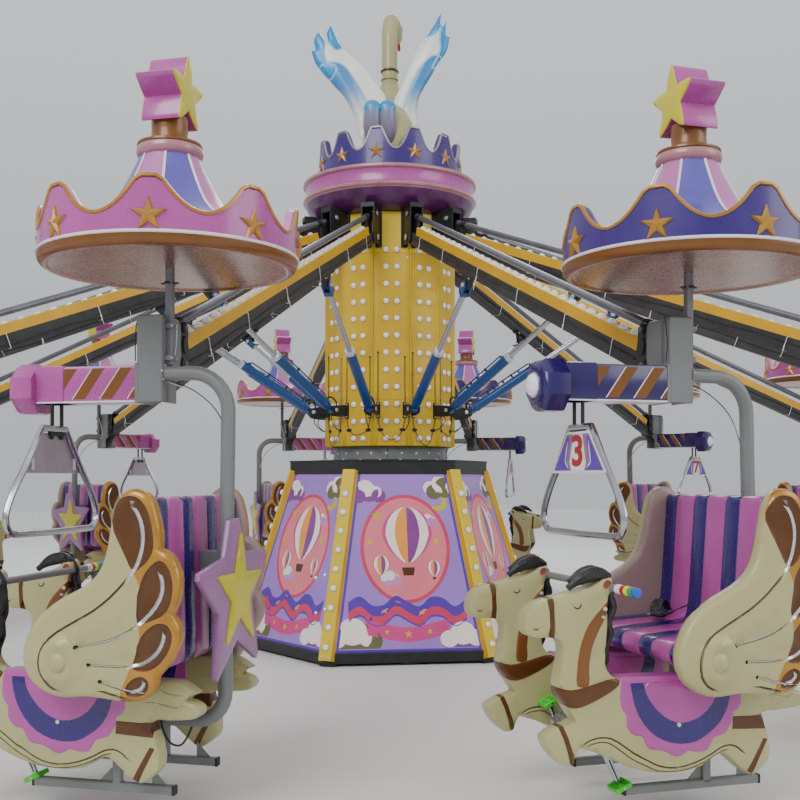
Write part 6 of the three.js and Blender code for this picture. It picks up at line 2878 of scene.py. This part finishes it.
@dataclass
class UnderFrame:
    """The grey tubes and skids that the seat stands on, with the pedals, guard and hand bar."""

    crank: float = 0.165
    crank_turn: float = math.radians(25)
    axle_u: float = 0.587
    axle_z: float = 0.300
    skid_w: float = 0.25
    guard_holes: int = 10
    pedal_w: float = 0.230
    bar_u: float = 0.635
    bar_z: float = 1.07
    bar_half: float = 0.49
    sleeve: float = 0.430
    grip: float = 0.475
    grip_step: float = 0.0315

    def tubes(self) -> bpy.types.Mesh:
        """Build the square tubes and the skids with their end plugs.

        Returns:
            The mesh.
        """
        maker = MeshMaker()
        for low, high, edge in (
            ((-0.03, -0.61, 0.33), (0.03, 0.02, 0.40), 0.005),
            ((-0.29, -0.11, 0.375), (0.29, -0.06, 0.425), 0.005),
            ((-0.025, -0.11, 0.40), (0.025, -0.06, 0.712), 0.005),
            ((-0.24, -0.14, 0.700), (0.24, -0.03, 0.714), 0.003),
        ):
            maker.block(low, high, Look.GREY, edge)
        for side in (-1, 1):
            w = side * self.skid_w
            maker.block((w - 0.02, -0.105, 0.14), (w + 0.02, -0.065, 0.40), Look.GREY, 0.004)
            maker.block((w - 0.02, -0.511, 0.115), (w + 0.02, 0.196, 0.155), Look.GREY, 0.005)
            for u in (-0.515, 0.190):
                maker.block((w - 0.0215, u - 0.002, 0.1135), (w + 0.0215, u + 0.012, 0.1565), Look.RUBBER,
                            0.003)
            for gusset in ([(-0.16, 0.155), (-0.085, 0.155), (-0.085, 0.23)],
                           [(0.105, 0.155), (0.18, 0.155), (0.105, 0.23)]):
                maker.slab(gusset, w - 0.003, w + 0.003, Look.GREY, 0.001, "UZ")
        maker.block((-0.021, -0.607, self.axle_z - 0.018), (0.021, -0.567, 0.336), Look.GREY, 0.004)
        loop_line = [(0.03, 0.02, 0.41), (0.05, 0.05, 0.34), (0.05, 0.09, 0.29), (0.04, 0.13, 0.285),
                     (0.02, 0.16, 0.33), (0.0, 0.18, 0.40)]
        maker.tube(curve(loop_line, 5), 0.005, Look.RUBBER, 8)
        return maker.mesh("under_frame")

    def drive(self) -> bpy.types.Mesh:
        """Build the pedals on their cranks and the clear round guard.

        Returns:
            The mesh.
        """
        maker = MeshMaker()
        y, half = -self.axle_u, 0.009
        maker.tube([(-0.215, y, self.axle_z), (0.215, y, self.axle_z)], 0.017, Look.GREY, 14)
        maker.tube([(-0.242, y, self.axle_z), (0.242, y, self.axle_z)], 0.009, Look.CHROME, 14)
        for side, drop in ((1, -1), (-1, 1)):
            with maker.at(shifted(side * self.pedal_w, y,
                                  self.axle_z) @ Matrix.Rotation(self.crank_turn, 4, "X")):
                tip = drop * self.crank
                arm = [(-0.017, 0.0), (-0.012, -0.014), (0.012, -0.014), (0.017, 0.0), (0.0135, 0.10),
                       (0.012, 0.168), (0.006, 0.178), (-0.006, 0.178), (-0.012, 0.168), (-0.0135, 0.10)]
                shape = [(u, z) for u, z in arm] if drop > 0 else [(-u, -z) for u, z in arm]
                maker.slab(shape, -half, half, Look.CHROME, 0.003, "UZ")
                slot = [(-0.004, 0.030), (0.004, 0.030), (0.003, 0.145), (-0.003, 0.145)]
                cut = slot if drop > 0 else [(-u, -z) for u, z in slot]
                maker.slab(cut, -half - 0.0006, half + 0.0006, Look.RUBBER, 0.0004, "UZ")
                maker.tube([(-side * 0.05, 0, tip), (side * 0.05, 0, tip)], 0.0065, Look.CHROME, 12)
                for v in (-0.036, 0.036):
                    maker.block((-0.048, v - 0.006, tip - 0.0115), (0.048, v + 0.006, tip + 0.0115),
                                Look.GREEN, 0.003)
                for w in (-0.044, 0.044):
                    maker.block((w - 0.005, -0.040, tip - 0.011), (w + 0.005, 0.040, tip + 0.011),
                                Look.GREEN, 0.003)
                maker.block((-0.046, -0.013, tip - 0.010), (0.046, 0.013, tip + 0.010), Look.GREEN, 0.004)
                for k in range(5):
                    w = -0.032 + 0.016 * k
                    maker.block((w - 0.002, -0.036, tip - 0.0118), (w + 0.002, 0.036, tip + 0.0118),
                                Look.GREEN, 0.001)
        self._guard(maker)
        return maker.mesh("pedal_drive")

    def _guard(self, maker: MeshMaker) -> None:
        """Add the clear round chain guard with its ring of holes.

        Args:
            maker: The drive.
        """
        with maker.at(shifted(-0.150, -self.axle_u, self.axle_z) @ Axis.OUTWARD.turn()):
            rows = []
            for radius, z in ((0.030, -0.002), (0.118, -0.002), (0.1215, -0.001), (0.1215, 0.001),
                              (0.118, 0.002), (0.030, 0.002)):
                rows.append([polar(radius, t, z) for t in around(32)])
            maker.rings(rows, Look.CLEAR, (False, False), join_ends=True)
            for a in around(self.guard_holes):
                ring = [(0.085 * math.cos(a) + 0.013 * math.cos(t),
                         0.085 * math.sin(a) + 0.013 * math.sin(t), 0.0)
                        for t in around(10)]
                maker.tube(ring, 0.0024, Look.CLEAR, 4, closed=True)
            maker.turned([(0.034, -0.006), (0.036, -0.004), (0.036, 0.004), (0.034, 0.006)], Look.SILVER,
                         24)
            maker.turned([(0.052, -0.003), (0.054, 0.0), (0.052, 0.003)], Look.BLACK, 24)

    def hand_bar(self) -> bpy.types.Mesh:
        """Build the bar in front of the riders with its sleeves and coloured grips.

        Returns:
            The mesh.
        """
        maker = MeshMaker()
        y, z, half = -self.bar_u, self.bar_z, self.bar_half
        maker.tube([(-half, y, z), (half, y, z)], 0.0175, Look.GREY, 18)
        colors = (Look.RED, Look.GRIP_YELLOW, Look.GRIP_GREEN, Look.GRIP_BLUE)
        for side in (-1, 1):
            maker.tube([(side * self.sleeve, y, z), (side * self.grip, y, z)], 0.021, Look.WHITE, 18)
            for k, look in enumerate(colors):
                start = self.grip + self.grip_step * k
                profile = [(0.017, start), (0.0215, start + 0.003), (0.0215, start + 0.012),
                           (0.0195, start + 0.0155), (0.0215, start + 0.019), (0.0215, start + 0.0285),
                           (0.017, start + self.grip_step)]
                with maker.at(shifted(0, y, z) @ spin(side * 90, "Y")):
                    maker.turned(profile, look, 14)
        return maker.mesh("hand_bar")


@dataclass
class Seat:
    """The bench with its ribbed stripes and the belts that lie on it."""

    half_width: float = 0.468
    rider_w: float = 0.195
    belt_half: float = 0.027
    belt_rise: float = 0.0022
    widths: tuple[float, ...] = (0.115, 0.159, 0.115, 0.158, 0.115, 0.159, 0.115)
    outline: tuple[Point2, ...] = (
        (0.340, 0.760), (0.336, 0.785), (0.322, 0.803), (0.295, 0.812), (0.10, 0.828), (-0.05, 0.838),
        (-0.078, 0.848), (-0.092, 0.875), (-0.110, 1.05), (-0.134, 1.40), (-0.140, 1.445),
        (-0.152, 1.463), (-0.176, 1.469), (-0.200, 1.463), (-0.213, 1.445), (-0.216, 1.40),
        (-0.224, 1.05), (-0.226, 0.74), (-0.215, 0.712), (-0.190, 0.702), (0.02, 0.700), (0.285, 0.702),
        (0.320, 0.715), (0.336, 0.738),
    )

    def bench(self) -> bpy.types.Mesh:
        """Build the bench.

        Returns:
            The mesh.
        """
        maker = MeshMaker()
        section = resampled(loop(self.outline, 2), 0.12)
        looks: list[Finish] = []
        rows = []
        place = -self.half_width
        scale = 2 * self.half_width / sum(self.widths)
        marks: list[tuple[float, float, Finish]] = []
        for number, width in enumerate(self.widths):
            look = Look.DEEP_PINK if number % 2 else Look.INDIGO
            far = place + width * scale
            first, last = number == 0, number == len(self.widths) - 1
            marks += [(place, 0.026 if first else 0.0055, look),
                      (place + 0.003, 0.012 if first else 0.003, look),
                      (place + 0.012, 0.003 if first else 0.0, look),
                      (far - 0.012, 0.003 if last else 0.0, look),
                      (far - 0.003, 0.012 if last else 0.003, look)]
            if last:
                marks.append((far, 0.026, look))
            place = far
        for w, shrink, look in marks:
            rows.append([(w, -u, z) for u, z in inset(section, shrink)])
            looks.append(look)
        maker.rings(rows, lambda i, _: looks[i])
        return maker.mesh("seat_bench")

    def belts(self) -> bpy.types.Mesh:
        """Build the pairs of lap belts with their buckles.

        Returns:
            The mesh.
        """
        maker = MeshMaker()
        for middle in (-self.rider_w, self.rider_w):
            for side in (-1, 1):
                w = middle + side * 0.15
                end = middle + side * 0.018
                path = [(w, 0.082, 0.866), (w - side * 0.004, 0.060, 0.902),
                        (w - side * 0.016, 0.030, 0.920), (w - side * 0.045, -0.012, 0.902),
                        (middle + side * 0.062, -0.045, 0.872), (end, -0.065, 0.8560)]
                route = curve(path, 4)
                rows = []
                for i, here in enumerate(route):
                    after = Vector(route[min(i + 1, len(route) - 1)]) - Vector(route[max(i - 1, 0)])
                    across = Vector((after.y, -after.x, 0)).normalized() * self.belt_half
                    if after.xy.length <= 1e-4:
                        across = Vector((0, self.belt_half, 0))
                    centre = Vector(here)
                    rise = Vector((0, 0, self.belt_rise))
                    rows.append([centre - across - rise, centre + across - rise, centre + across + rise,
                                 centre - across + rise])
                maker.rings(rows, Look.STRAP)
            with maker.at(shifted(middle, -0.066, 0.861) @ Matrix.Rotation(0.25, 4, "Z")):
                maker.block((-0.034, -0.027, -0.010), (0.034, 0.027, 0.012), Look.RUBBER, 0.006)
                maker.block((0.010, -0.014, 0.010), (0.027, 0.014, 0.0145), Look.RED, 0.002)
                maker.block((-0.060, -0.020, -0.006), (-0.030, 0.020, 0.003), Look.CHROME, 0.001)
        return maker.mesh("seat_belts")


@dataclass
class Horses:
    """The pair of moulded horses, one on either side of the footwell."""

    offset: float = 0.33
    half: float = 0.05
    outline: tuple[tuple[float, ...], ...] = (
        (1030, 875), (1050, 905), (1048, 945), (1030, 985), (1000, 1012), (950, 1027), (890, 1040),
        (830, 1054), (740, 1075), (690, 1105), (662, 1126), (640, 1120), (628, 1098), (632, 1060),
        (650, 1030), (653, 900), (664, 740), (655, 710), (635, 685), (610, 670), (580, 664), (300, 656),
        (0, 652), (-260, 652), (-310, 632), (-356, 601, SHARP), (-325, 592), (-305, 569, SHARP),
        (-350, 555), (-374, 528), (-360, 500), (-323, 486), (-220, 478), (-138, 470), (-160, 400),
        (-180, 310), (-172, 255), (-139, 222), (-90, 191), (-50, 205), (20, 262), (70, 298), (120, 285),
        (180, 250), (259, 234), (350, 232), (434, 241), (520, 265), (606, 299), (700, 345),
        (787, 372, SHARP), (806, 335), (819, 306), (840, 298), (867, 303), (900, 330), (930, 365),
        (950, 400), (954, 431), (890, 468), (811, 492), (828, 520), (860, 570), (884, 610), (891, 655),
        (880, 720), (867, 800), (880, 845), (930, 862), (985, 862),
    )
    neck_band: tuple[Point2, ...] = (
        (655, 1016), (675, 995), (715, 956), (755, 907), (783, 844), (799, 779), (807, 708), (805, 647),
        (751, 647), (749, 712), (743, 777), (723, 841), (691, 905), (659, 961), (646, 1001),
    )
    collar: tuple[Point2, ...] = (
        (895, 645), (835, 632), (771, 641), (699, 659), (634, 671), (597, 660), (610, 635), (659, 605),
        (707, 583), (763, 561), (811, 551), (859, 564), (892, 598),
    )
    saddle: tuple[Point2, ...] = (
        (593, 650), (599, 579), (587, 530), (568, 509), (568, 464), (549, 429), (520, 412), (492, 408),
        (476, 379), (456, 350), (420, 342), (389, 338), (356, 322), (324, 306), (285, 310), (259, 328),
        (219, 320), (159, 324), (126, 376), (66, 395), (46, 420), (25, 455), (25, 485), (-2, 500),
        (-19, 530), (-15, 600), (-20, 650),
    )
    cloth: tuple[Point2, ...] = (
        (570, 652), (565, 560), (540, 480), (500, 425), (440, 375), (380, 352), (304, 334), (230, 345),
        (160, 365), (100, 410), (50, 470), (18, 540), (5, 652),
    )
    band_outer: tuple[Point2, ...] = (
        (549, 652), (539, 586), (511, 505), (453, 428), (382, 383), (304, 363), (219, 368), (153, 401),
        (99, 444), (66, 493), (49, 539), (38, 600), (32, 652),
    )
    band_inner: tuple[Point2, ...] = (
        (485, 652), (469, 593), (434, 540), (382, 491), (317, 460), (252, 460), (193, 482), (146, 522),
        (119, 561), (102, 610), (95, 652),
    )
    ear: tuple[Point2, ...] = (
        (679, 1088), (663, 1104), (645, 1100), (640, 1086), (659, 1068), (675, 1069),
    )
    straps: tuple[tuple[Point2, ...], ...] = (
        ((940, 1040), (917, 1040), (907, 850), (931, 850)),
        ((25, 468), (-150, 463), (-150, 400), (29, 410)),
        ((890, 480), (868, 484), (808, 312), (832, 304)),
        ((-136, 357), (-160, 352), (-78, 196), (-52, 212)),
    )

    def build(self) -> bpy.types.Mesh:
        """Build both horses.

        Returns:
            The mesh.
        """
        outline = loop(metres(self.outline), 2)
        patches = [
            Patch(self._closed(self.saddle), Look.DEEP_PINK, 0.004, 0.012),
            Patch(self._closed(self.cloth), Look.DEEP_PINK),
            Patch(self._closed(self.band_outer), Look.INDIGO),
            Patch(self._closed(self.band_inner), Look.DEEP_PINK),
            Patch(self._closed(self.collar), Look.BRONZE, 0.006, 0.015),
            Patch(self._closed(self.neck_band), Look.BROWN_GOLD, 0.004, 0.012),
            *(Patch(tuple(metres(strap)), Look.BRONZE, 0.003, 0.006) for strap in self.straps),
            Patch(tuple(loop(metres(self.ear), 3)), Look.EAR, -0.006, 0.008),
        ]
        lines = [
            # Lines in the darker cream are painted shade in their grooves.
            self._groove([(787, 383), (739, 408), (691, 415), (642, 408), (585, 375), (528, 334),
                          (461, 298), (400, 268), (317, 255), (219, 271), (139, 302), (86, 330),
                          (39, 338), (-2, 323), (-43, 285)],
                         8, -8, Look.DARK_CREAM_PAINTED_SHADE),
            self._groove([(760, 378), (739, 388), (691, 396), (650, 388), (593, 350), (536, 309),
                          (470, 276), (415, 250), (317, 238), (219, 254), (139, 284), (86, 312),
                          (45, 318)], 6, -5, Look.DARK_CREAM_PAINTED_SHADE),
            self._groove([(822, 996), (807, 985), (793, 990), (784, 1008)], 7, 3, Look.RUBBER),
            self._groove([(500, 318), (525, 312)], 22, -8, Look.DARK_CREAM_PAINTED_SHADE),
            self._groove([(985, 905), (1000, 900), (1015, 908)], 8, -4, Look.DARK_CREAM_PAINTED_SHADE),
            self._groove([(-170, 625), (-230, 600), (-290, 590)], 12, -5),
            self._groove([(-150, 560), (-230, 545), (-300, 530)], 12, -5),
        ]
        maker = MeshMaker()
        relief = Relief(outline, self.half, 0.016, 0.003, 0.12, 0.070, patches, lines)
        for side in (-1, 1):
            maker.frame = shifted(side * self.offset, 0, 0)
            relief.build(maker, PLACES["UZ"], Look.CREAM)
            self._hair(maker)
            self._saddle_top(maker)
            for face in (-1, 1):
                for u, z in ((0.672, 0.978), (0.684, 0.945)):
                    maker.bolt((face * (self.half + 0.003), -u, z), (face, 0, 0), 0.007)
                maker.bolt((face * (self.half + 0.004), -0.31, 0.45), (face, 0, 0), 0.011)
        return maker.mesh("horse_pair")

    @staticmethod
    def _closed(points: Sequence[Point2]) -> tuple[Point2, ...]:
        """Turn a traced area in millimetres into a smooth outline.

        Args:
            points: The traced points.

        Returns:
            The outline in metres.
        """
        return tuple(ccw(curve(metres(points), 2)))

    @staticmethod
    def _groove(points: Sequence[Point2], width: float, depth: float,
                finish: Finish | None = None) -> Line:
        """Make a groove, or a raised line where the depth is positive, from traced points in millimetres.

        Args:
            points: The traced points.
            width: Its width in millimetres.
            depth: Its height in millimetres.
            finish: Its finish, if it is painted.

        Returns:
            The line.
        """
        return Line(tuple(curve(metres(points), 2)), width / 1000, depth / 1000, finish)

    def _hair(self, maker: MeshMaker) -> None:
        """Add the glossy forelock and the mane down the back of the neck.

        Args:
            maker: The horses.
        """
        locks = (
            ([(0.640, 1.112), (0.690, 1.132), (0.740, 1.126), (0.790, 1.105), (0.838, 1.072)], 0.034,
             0.026),
            ([(0.655, 1.128), (0.700, 1.143), (0.760, 1.128), (0.815, 1.095)], 0.026, -0.020),
            ([(0.646, 1.120), (0.620, 1.070), (0.628, 1.030), (0.615, 0.980), (0.640, 0.920),
              (0.628, 0.860), (0.650, 0.800), (0.640, 0.750), (0.662, 0.705)], 0.021, 0.012),
            ([(0.650, 1.110), (0.636, 1.050), (0.634, 0.990), (0.630, 0.930), (0.645, 0.880),
              (0.636, 0.815), (0.655, 0.760)], 0.019, -0.016),
        )
        for line, girth, shift in locks:
            route = curve([(shift, -u, z) for u, z in line], 3)
            count = len(route)
            radii = [girth * (0.45 + 0.55 * math.sin(math.pi * min((i + 1) / count * 1.1, 1)))
                     for i in range(count)]
            maker.tube(route, radii, Look.MANE, 8)

    def _saddle_top(self, maker: MeshMaker) -> None:
        """Add the pink pad that joins the saddle's two sides over the back.

        Args:
            maker: The horses.
        """
        pad = [(-0.020, 0.640), (0.593, 0.640), (0.596, 0.664), (0.585, 0.674), (0.30, 0.668),
               (0.0, 0.664), (-0.018, 0.658)]
        maker.slab(pad, -self.half - 0.003, self.half + 0.003, Look.DEEP_PINK, 0.006, "UZ")


@dataclass
class Wings:
    """The pair of moulded wings beside the seat."""

    offset: float = 0.505
    half: float = 0.040
    outline: tuple[tuple[float, ...], ...] = (
        (-38, 1400), (-50, 1440), (-78, 1482), (-112, 1503), (-150, 1505), (-195, 1488), (-225, 1450),
        (-243, 1395), (-258, 1325), (-262, 1250, SHARP), (-302, 1232), (-335, 1182), (-352, 1112),
        (-342, 1035), (-318, 968, SHARP), (-340, 933), (-352, 879), (-337, 819), (-302, 762),
        (-246, 700, SHARP), (-232, 650), (-200, 610), (-150, 592), (-71, 588), (20, 596), (100, 600),
        (180, 592), (250, 598), (320, 628), (371, 675), (396, 740), (396, 800), (378, 857), (349, 912),
        (300, 965), (207, 1030), (110, 1078), (45, 1130), (13, 1181), (-5, 1236), (-20, 1310),
        (-30, 1360),
    )
    rim: tuple[Point2, ...] = (
        (-36, 1363), (-50, 1435), (-78, 1482), (-112, 1505), (-150, 1510), (-200, 1492), (-230, 1450),
        (-248, 1395), (-262, 1325), (-266, 1250), (-302, 1236), (-340, 1185), (-356, 1112), (-346, 1035),
        (-322, 968), (-344, 933), (-356, 879), (-340, 815), (-305, 755), (-250, 695), (-236, 650),
        (-205, 605), (-150, 586), (-71, 582), (-112, 702), (-136, 752), (-157, 802), (-172, 857),
        (-163, 944), (-161, 1020), (-172, 1086), (-136, 1156), (-71, 1281),
    )
    hollows: tuple[tuple[Point2, ...], ...] = (
        ((-36, 1363), (-52, 1428), (-82, 1464), (-122, 1476), (-164, 1466), (-198, 1432), (-219, 1380),
         (-232, 1315), (-234, 1252), (-216, 1208), (-186, 1176), (-142, 1152), (-106, 1216), (-71, 1281)),
        ((-170, 1078), (-188, 1130), (-222, 1176), (-262, 1202), (-298, 1178), (-318, 1130), (-324, 1088),
         (-316, 1032), (-296, 985), (-262, 957), (-214, 938), (-163, 922), (-161, 1020)),
        ((-172, 862), (-206, 904), (-252, 932), (-298, 926), (-320, 884), (-312, 832), (-284, 784),
         (-244, 744), (-196, 726), (-140, 736), (-157, 802)),
        ((-134, 688), (-176, 704), (-208, 688), (-212, 656), (-190, 626), (-150, 614), (-112, 618),
         (-104, 650)),
    )
    silver: tuple[tuple[Point2, ...], ...] = (
        ((-132, 1436), (-160, 1398), (-180, 1342), (-183, 1282), (-172, 1222), (-148, 1162),
         (-106, 1106)),
        ((-257, 1158), (-274, 1108), (-269, 1056), (-242, 1001), (-195, 948), (-136, 903)),
        ((-282, 900), (-277, 860), (-254, 813), (-219, 779), (-172, 752), (-106, 742)),
        ((-188, 690), (-186, 662), (-160, 640), (-118, 636)),
    )
    grooves: tuple[tuple[Point2, ...], ...] = (
        ((-120, 1125), (-35, 1039), (49, 976), (134, 929), (207, 888), (257, 853), (294, 802), (306, 746),
         (296, 690), (262, 645), (215, 622)),
        ((-150, 912), (-65, 866), (13, 842), (122, 820)),
        ((-120, 743), (-23, 742), (64, 744)),
        ((-205, 628), (-140, 634), (-60, 652), (10, 672)),
        ((-120, 600), (-50, 618), (40, 640)),
    )

    def build(self) -> bpy.types.Mesh:
        """Build both wings.

        Returns:
            The mesh.
        """
        outline = loop(metres(self.outline), 2)
        patches = [Patch(tuple(loop(metres(self.rim), 2)), Look.GOLD)]
        patches += [Patch(tuple(loop(metres(h), 2)), Look.BRONZE, -0.009, 0.02) for h in self.hollows]
        patches.append(Patch(tuple(ellipse(0.212, 0.752, 0.118, 0.105, 20)), None, 0.010, 0.05))
        patches.append(Patch(tuple(ellipse(0.210, 0.749, 0.044, 0.044, 14)), None, 0.020, 0.044))
        patches += [Patch(tuple(ellipse(u, z, 0.009, 0.009, 8)), Look.RUBBER, -0.008, 0.006)
                    for u, z in ((0.128, 0.819), (0.070, 0.744), (0.016, 0.674))]
        lines = [Line(tuple(curve(metres(s), 2)), 0.017, 0.009, Look.SILVER) for s in self.silver]
        # The feather grooves are painted darker cream as shade.
        lines += [Line(tuple(curve(metres(g), 2)), 0.011, -0.010, Look.DARK_CREAM_PAINTED_SHADE) for g in self.grooves]
        lines += [Line(tuple(curve(metres(g), 2)), 0.005, 0.002, Look.SILVER) for g in self.grooves[1:4]]
        lines += [Line(tuple(curve(metres(g), 2)), 0.070, 0.010) for g in (
            [(214, 835), (158, 855), (73, 893), (-17, 942), (-95, 1000), (-150, 1050)],
            [(86, 783), (-5, 795), (-83, 812), (-150, 832)],
            [(150, 800), (185, 822), (235, 820), (268, 785), (272, 735), (245, 690), (205, 668)])]
        relief = Relief(outline, self.half, 0.026, 0.006, 0.10, 0.060, patches, lines)
        maker = MeshMaker()
        for side in (-1, 1):
            maker.frame = shifted(side * self.offset, 0, 0)

            def place(u: float, z: float, h: float, side: int = side) -> Point3:
                """Stand a point of the sheet up on this side of the seat."""
                return (side * h, -u, z)

            relief.build(maker, place, Look.CREAM, Look.BLUSH, mirrored=False)
        return maker.mesh("wing_pair")


class BackStar:
    """The lilac star behind the seat with a plain yellow one on it."""

    @staticmethod
    def build() -> bpy.types.Mesh:
        """Build the stars.

        Returns:
            The mesh.
        """
        maker = MeshMaker()
        maker.frame = shifted(0, 0.383, 0)
        plate = blunted(star(0.0, 1.01, 0.480, 0.225, 0.06), 0.44, 0.13)
        Relief(plate, 0.014, 0.006, 0.003, 0.05, 0.09).build(
            maker, PLACES["ZX_BACK"], Look.STAR_LILAC)
        maker.frame = shifted(0, 0.400, 0)
        yellow = blunted(star(0.03, 1.01, 0.300, 0.120, -0.02), 0.10, 0.10)
        Relief(yellow, 0.012, 0.006, 0.004, 0.05, 0.08).build(
            maker, PLACES["ZX_BACK"], Look.STAR_YELLOW)
        for x, z in ((0.10, 1.10), (-0.04, 1.10), (0.10, 0.94), (-0.04, 0.94)):
            maker.bolt((x, 0.4165, z), (0, 1, 0), 0.006)
        return maker.mesh("back_star")


class Carriages:
    """Twelve carriages from one set of meshes, in two liveries."""

    PINK_FIRST = 2
    LIVERY_PERIOD = 4

    def pieces(self) -> list[Piece]:
        """Build the carriage's meshes once and place them on the twelve hangers.

        Returns:
            The pieces.
        """
        hanger, frame, seat, loops = Hanger(), UnderFrame(), Seat(), NumberLoop()
        own, seated = (0, 0), (0, SEAT_SETBACK)
        shared = [
            ("hanger", hanger.box(), "pale_steel", own),
            ("carrier_pipe", hanger.pipe(), "pale_steel", own),
            ("number_loop", loops.frame(), "chrome", (LOOP_SHIFT, 0)),
            ("under_frame", frame.tubes(), "pale_steel", seated),
            ("pedal_drive", frame.drive(), "chrome", seated),
            ("hand_bar", frame.hand_bar(), "pale_steel", seated),
            ("seat_bench", seat.bench(), "pink_gloss", seated),
            ("seat_belts", seat.belts(), "black_paint", seated),
            ("horses", Horses().build(), "cream_gloss", seated),
            ("wings", Wings().build(), "cream_gloss", seated),
            ("back_star", BackStar.build(), "lilac_panel", seated),
        ]
        canopies = [Canopy().build("canopy_pink", Look.PINK, Look.PALE_PINK, PINK_CANOPY_TURN),
                    Canopy().build("canopy_purple", Look.CROWN, Look.CROWN, PURPLE_CANOPY_TURN)]
        covers = [BeamCover().build("beam_cover_pink", Look.PINK),
                  BeamCover().build("beam_cover_purple", Look.PURPLE)]
        result = []
        for k in range(ARM_COUNT):
            number = f"{k + 1:02d}"
            body = f"carriage_{number}"
            place = turned_to(FIRST_ARM_AZIMUTH + k * ARM_STEP) @ shifted(CARRIAGE_RADIUS, 0, 0)
            livery = 0 if k % self.LIVERY_PERIOD < self.PINK_FIRST else 1
            slot = ("pink_gloss", "purple_gloss")[livery]
            for name, mesh, finish, shift in shared:
                replaced = (body,) if name == "hanger" else ()
                stand = place @ shifted(*shift, 0)
                result.append(Piece(f"{name}_{number}", mesh, body, finish, stand, replaced))
            stand = place @ shifted(*CANOPY_AT, 0)
            result.append(Piece(f"canopy_{number}", canopies[livery], body, slot, stand))
            result.append(Piece(f"beam_cover_{number}", covers[livery], body, slot, place))
            stand = place @ shifted(LOOP_SHIFT, 0, 0)
            result.append(Piece(f"numeral_{number}", loops.numeral(k + 1), body, slot, stand))
        return result


class Studio:
    """The pale floor, the soft lights and the camera."""

    EYE = (-1.374, -9.905, 1.557)
    HEADING = math.radians(-7.9)
    LENS = 47.925
    SHIFT = (0.0129, 0.09625)
    SENSOR = 36.0
    HORIZON = (0.62, 0.64, 0.66, 1.0)
    ZENITH = (0.93, 0.96, 1.0, 1.0)
    HAZE = (-0.05, 0.55)
    SKY_STRENGTH = 0.90
    FLOOR_HALF = 40
    LAMPS = (
        ("key_lamp", (-7.5, -12.0, 11.0), (0.0, 0.0, 2.4), 7.0, 1150.0),
        ("fill_lamp", (10.0, -9.0, 7.0), (0.0, 0.0, 2.0), 7.0, 420.0),
        ("back_lamp", (2.0, 12.0, 12.0), (0.0, 0.0, 3.0), 8.0, 750.0),
    )

    def floor(self) -> None:
        """Lay the plain floor."""
        maker = MeshMaker()
        half = self.FLOOR_HALF
        maker.slab([(-half, -half), (half, -half), (half, half), (-half, half)], -0.05, 0.0, Look.FLOOR,
                   0.01)
        thing = bpy.data.objects.new("studio_floor", maker.mesh("studio_floor"))
        bpy.context.scene.collection.objects.link(thing)
        thing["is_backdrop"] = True

    def lights(self) -> None:
        """Set up the pale world and the large soft lamps."""
        world = bpy.data.worlds.new("pale_world")
        bpy.context.scene.world = world
        world.use_nodes = True
        nodes, links = world.node_tree.nodes, world.node_tree.links
        background = nodes["Background"]
        place = nodes.new("ShaderNodeTexCoord")
        split = nodes.new("ShaderNodeSeparateXYZ")
        links.new(place.outputs["Generated"], split.inputs["Vector"])
        height = nodes.new("ShaderNodeMapRange")
        height.interpolation_type = "SMOOTHSTEP"
        low, high = self.HAZE
        height.inputs["From Min"].default_value = low
        height.inputs["From Max"].default_value = high
        links.new(split.outputs["Z"], height.inputs["Value"])
        sky = nodes.new("ShaderNodeMix")
        sky.data_type = "RGBA"
        sky.inputs[6].default_value = self.HORIZON
        sky.inputs[7].default_value = self.ZENITH
        links.new(height.outputs["Result"], sky.inputs[0])
        links.new(sky.outputs[2], background.inputs["Color"])
        background.inputs["Strength"].default_value = self.SKY_STRENGTH
        for name, at, aim, size, power in self.LAMPS:
            lamp = bpy.data.lights.new(name, "AREA")
            lamp.energy = power
            lamp.size = size
            thing = bpy.data.objects.new(name, lamp)
            thing.location = at
            thing.rotation_euler = (Vector(aim) - Vector(at)).to_track_quat("-Z", "Y").to_euler()
            bpy.context.scene.collection.objects.link(thing)

    def camera(self) -> None:
        """Stand the camera at eye height, level, where the photograph was taken."""
        camera = bpy.data.cameras.new("photo_camera")
        camera.lens = self.LENS
        camera.sensor_width = self.SENSOR
        camera.shift_x, camera.shift_y = self.SHIFT
        camera.clip_end = 200.0
        thing = bpy.data.objects.new("photo_camera", camera)
        thing.location = self.EYE
        thing.rotation_euler = (math.pi / 2, 0.0, self.HEADING)
        bpy.context.scene.collection.objects.link(thing)
        bpy.context.scene.camera = thing


def main() -> None:
    """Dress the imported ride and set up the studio."""
    logging.basicConfig(level=logging.INFO, format="%(message)s")
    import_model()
    studio = Studio()
    studio.camera()
    studio.lights()
    studio.floor()
    for assembly in (Plinth(), Tower(), RoofTop(), Swan(), ArmSet(), Carriages()):
        for piece in assembly.pieces():
            piece.place()
        LOG.info("%s is dressed", type(assembly).__name__)
    bpy.context.view_layer.update()
    triangles = 0
    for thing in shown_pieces():
        if thing.type == "MESH":
            triangles += sum(len(p.vertices) - 2 for p in thing.data.polygons)
    LOG.info("%d triangles in all", triangles)


if __name__ == "__main__":
    main()
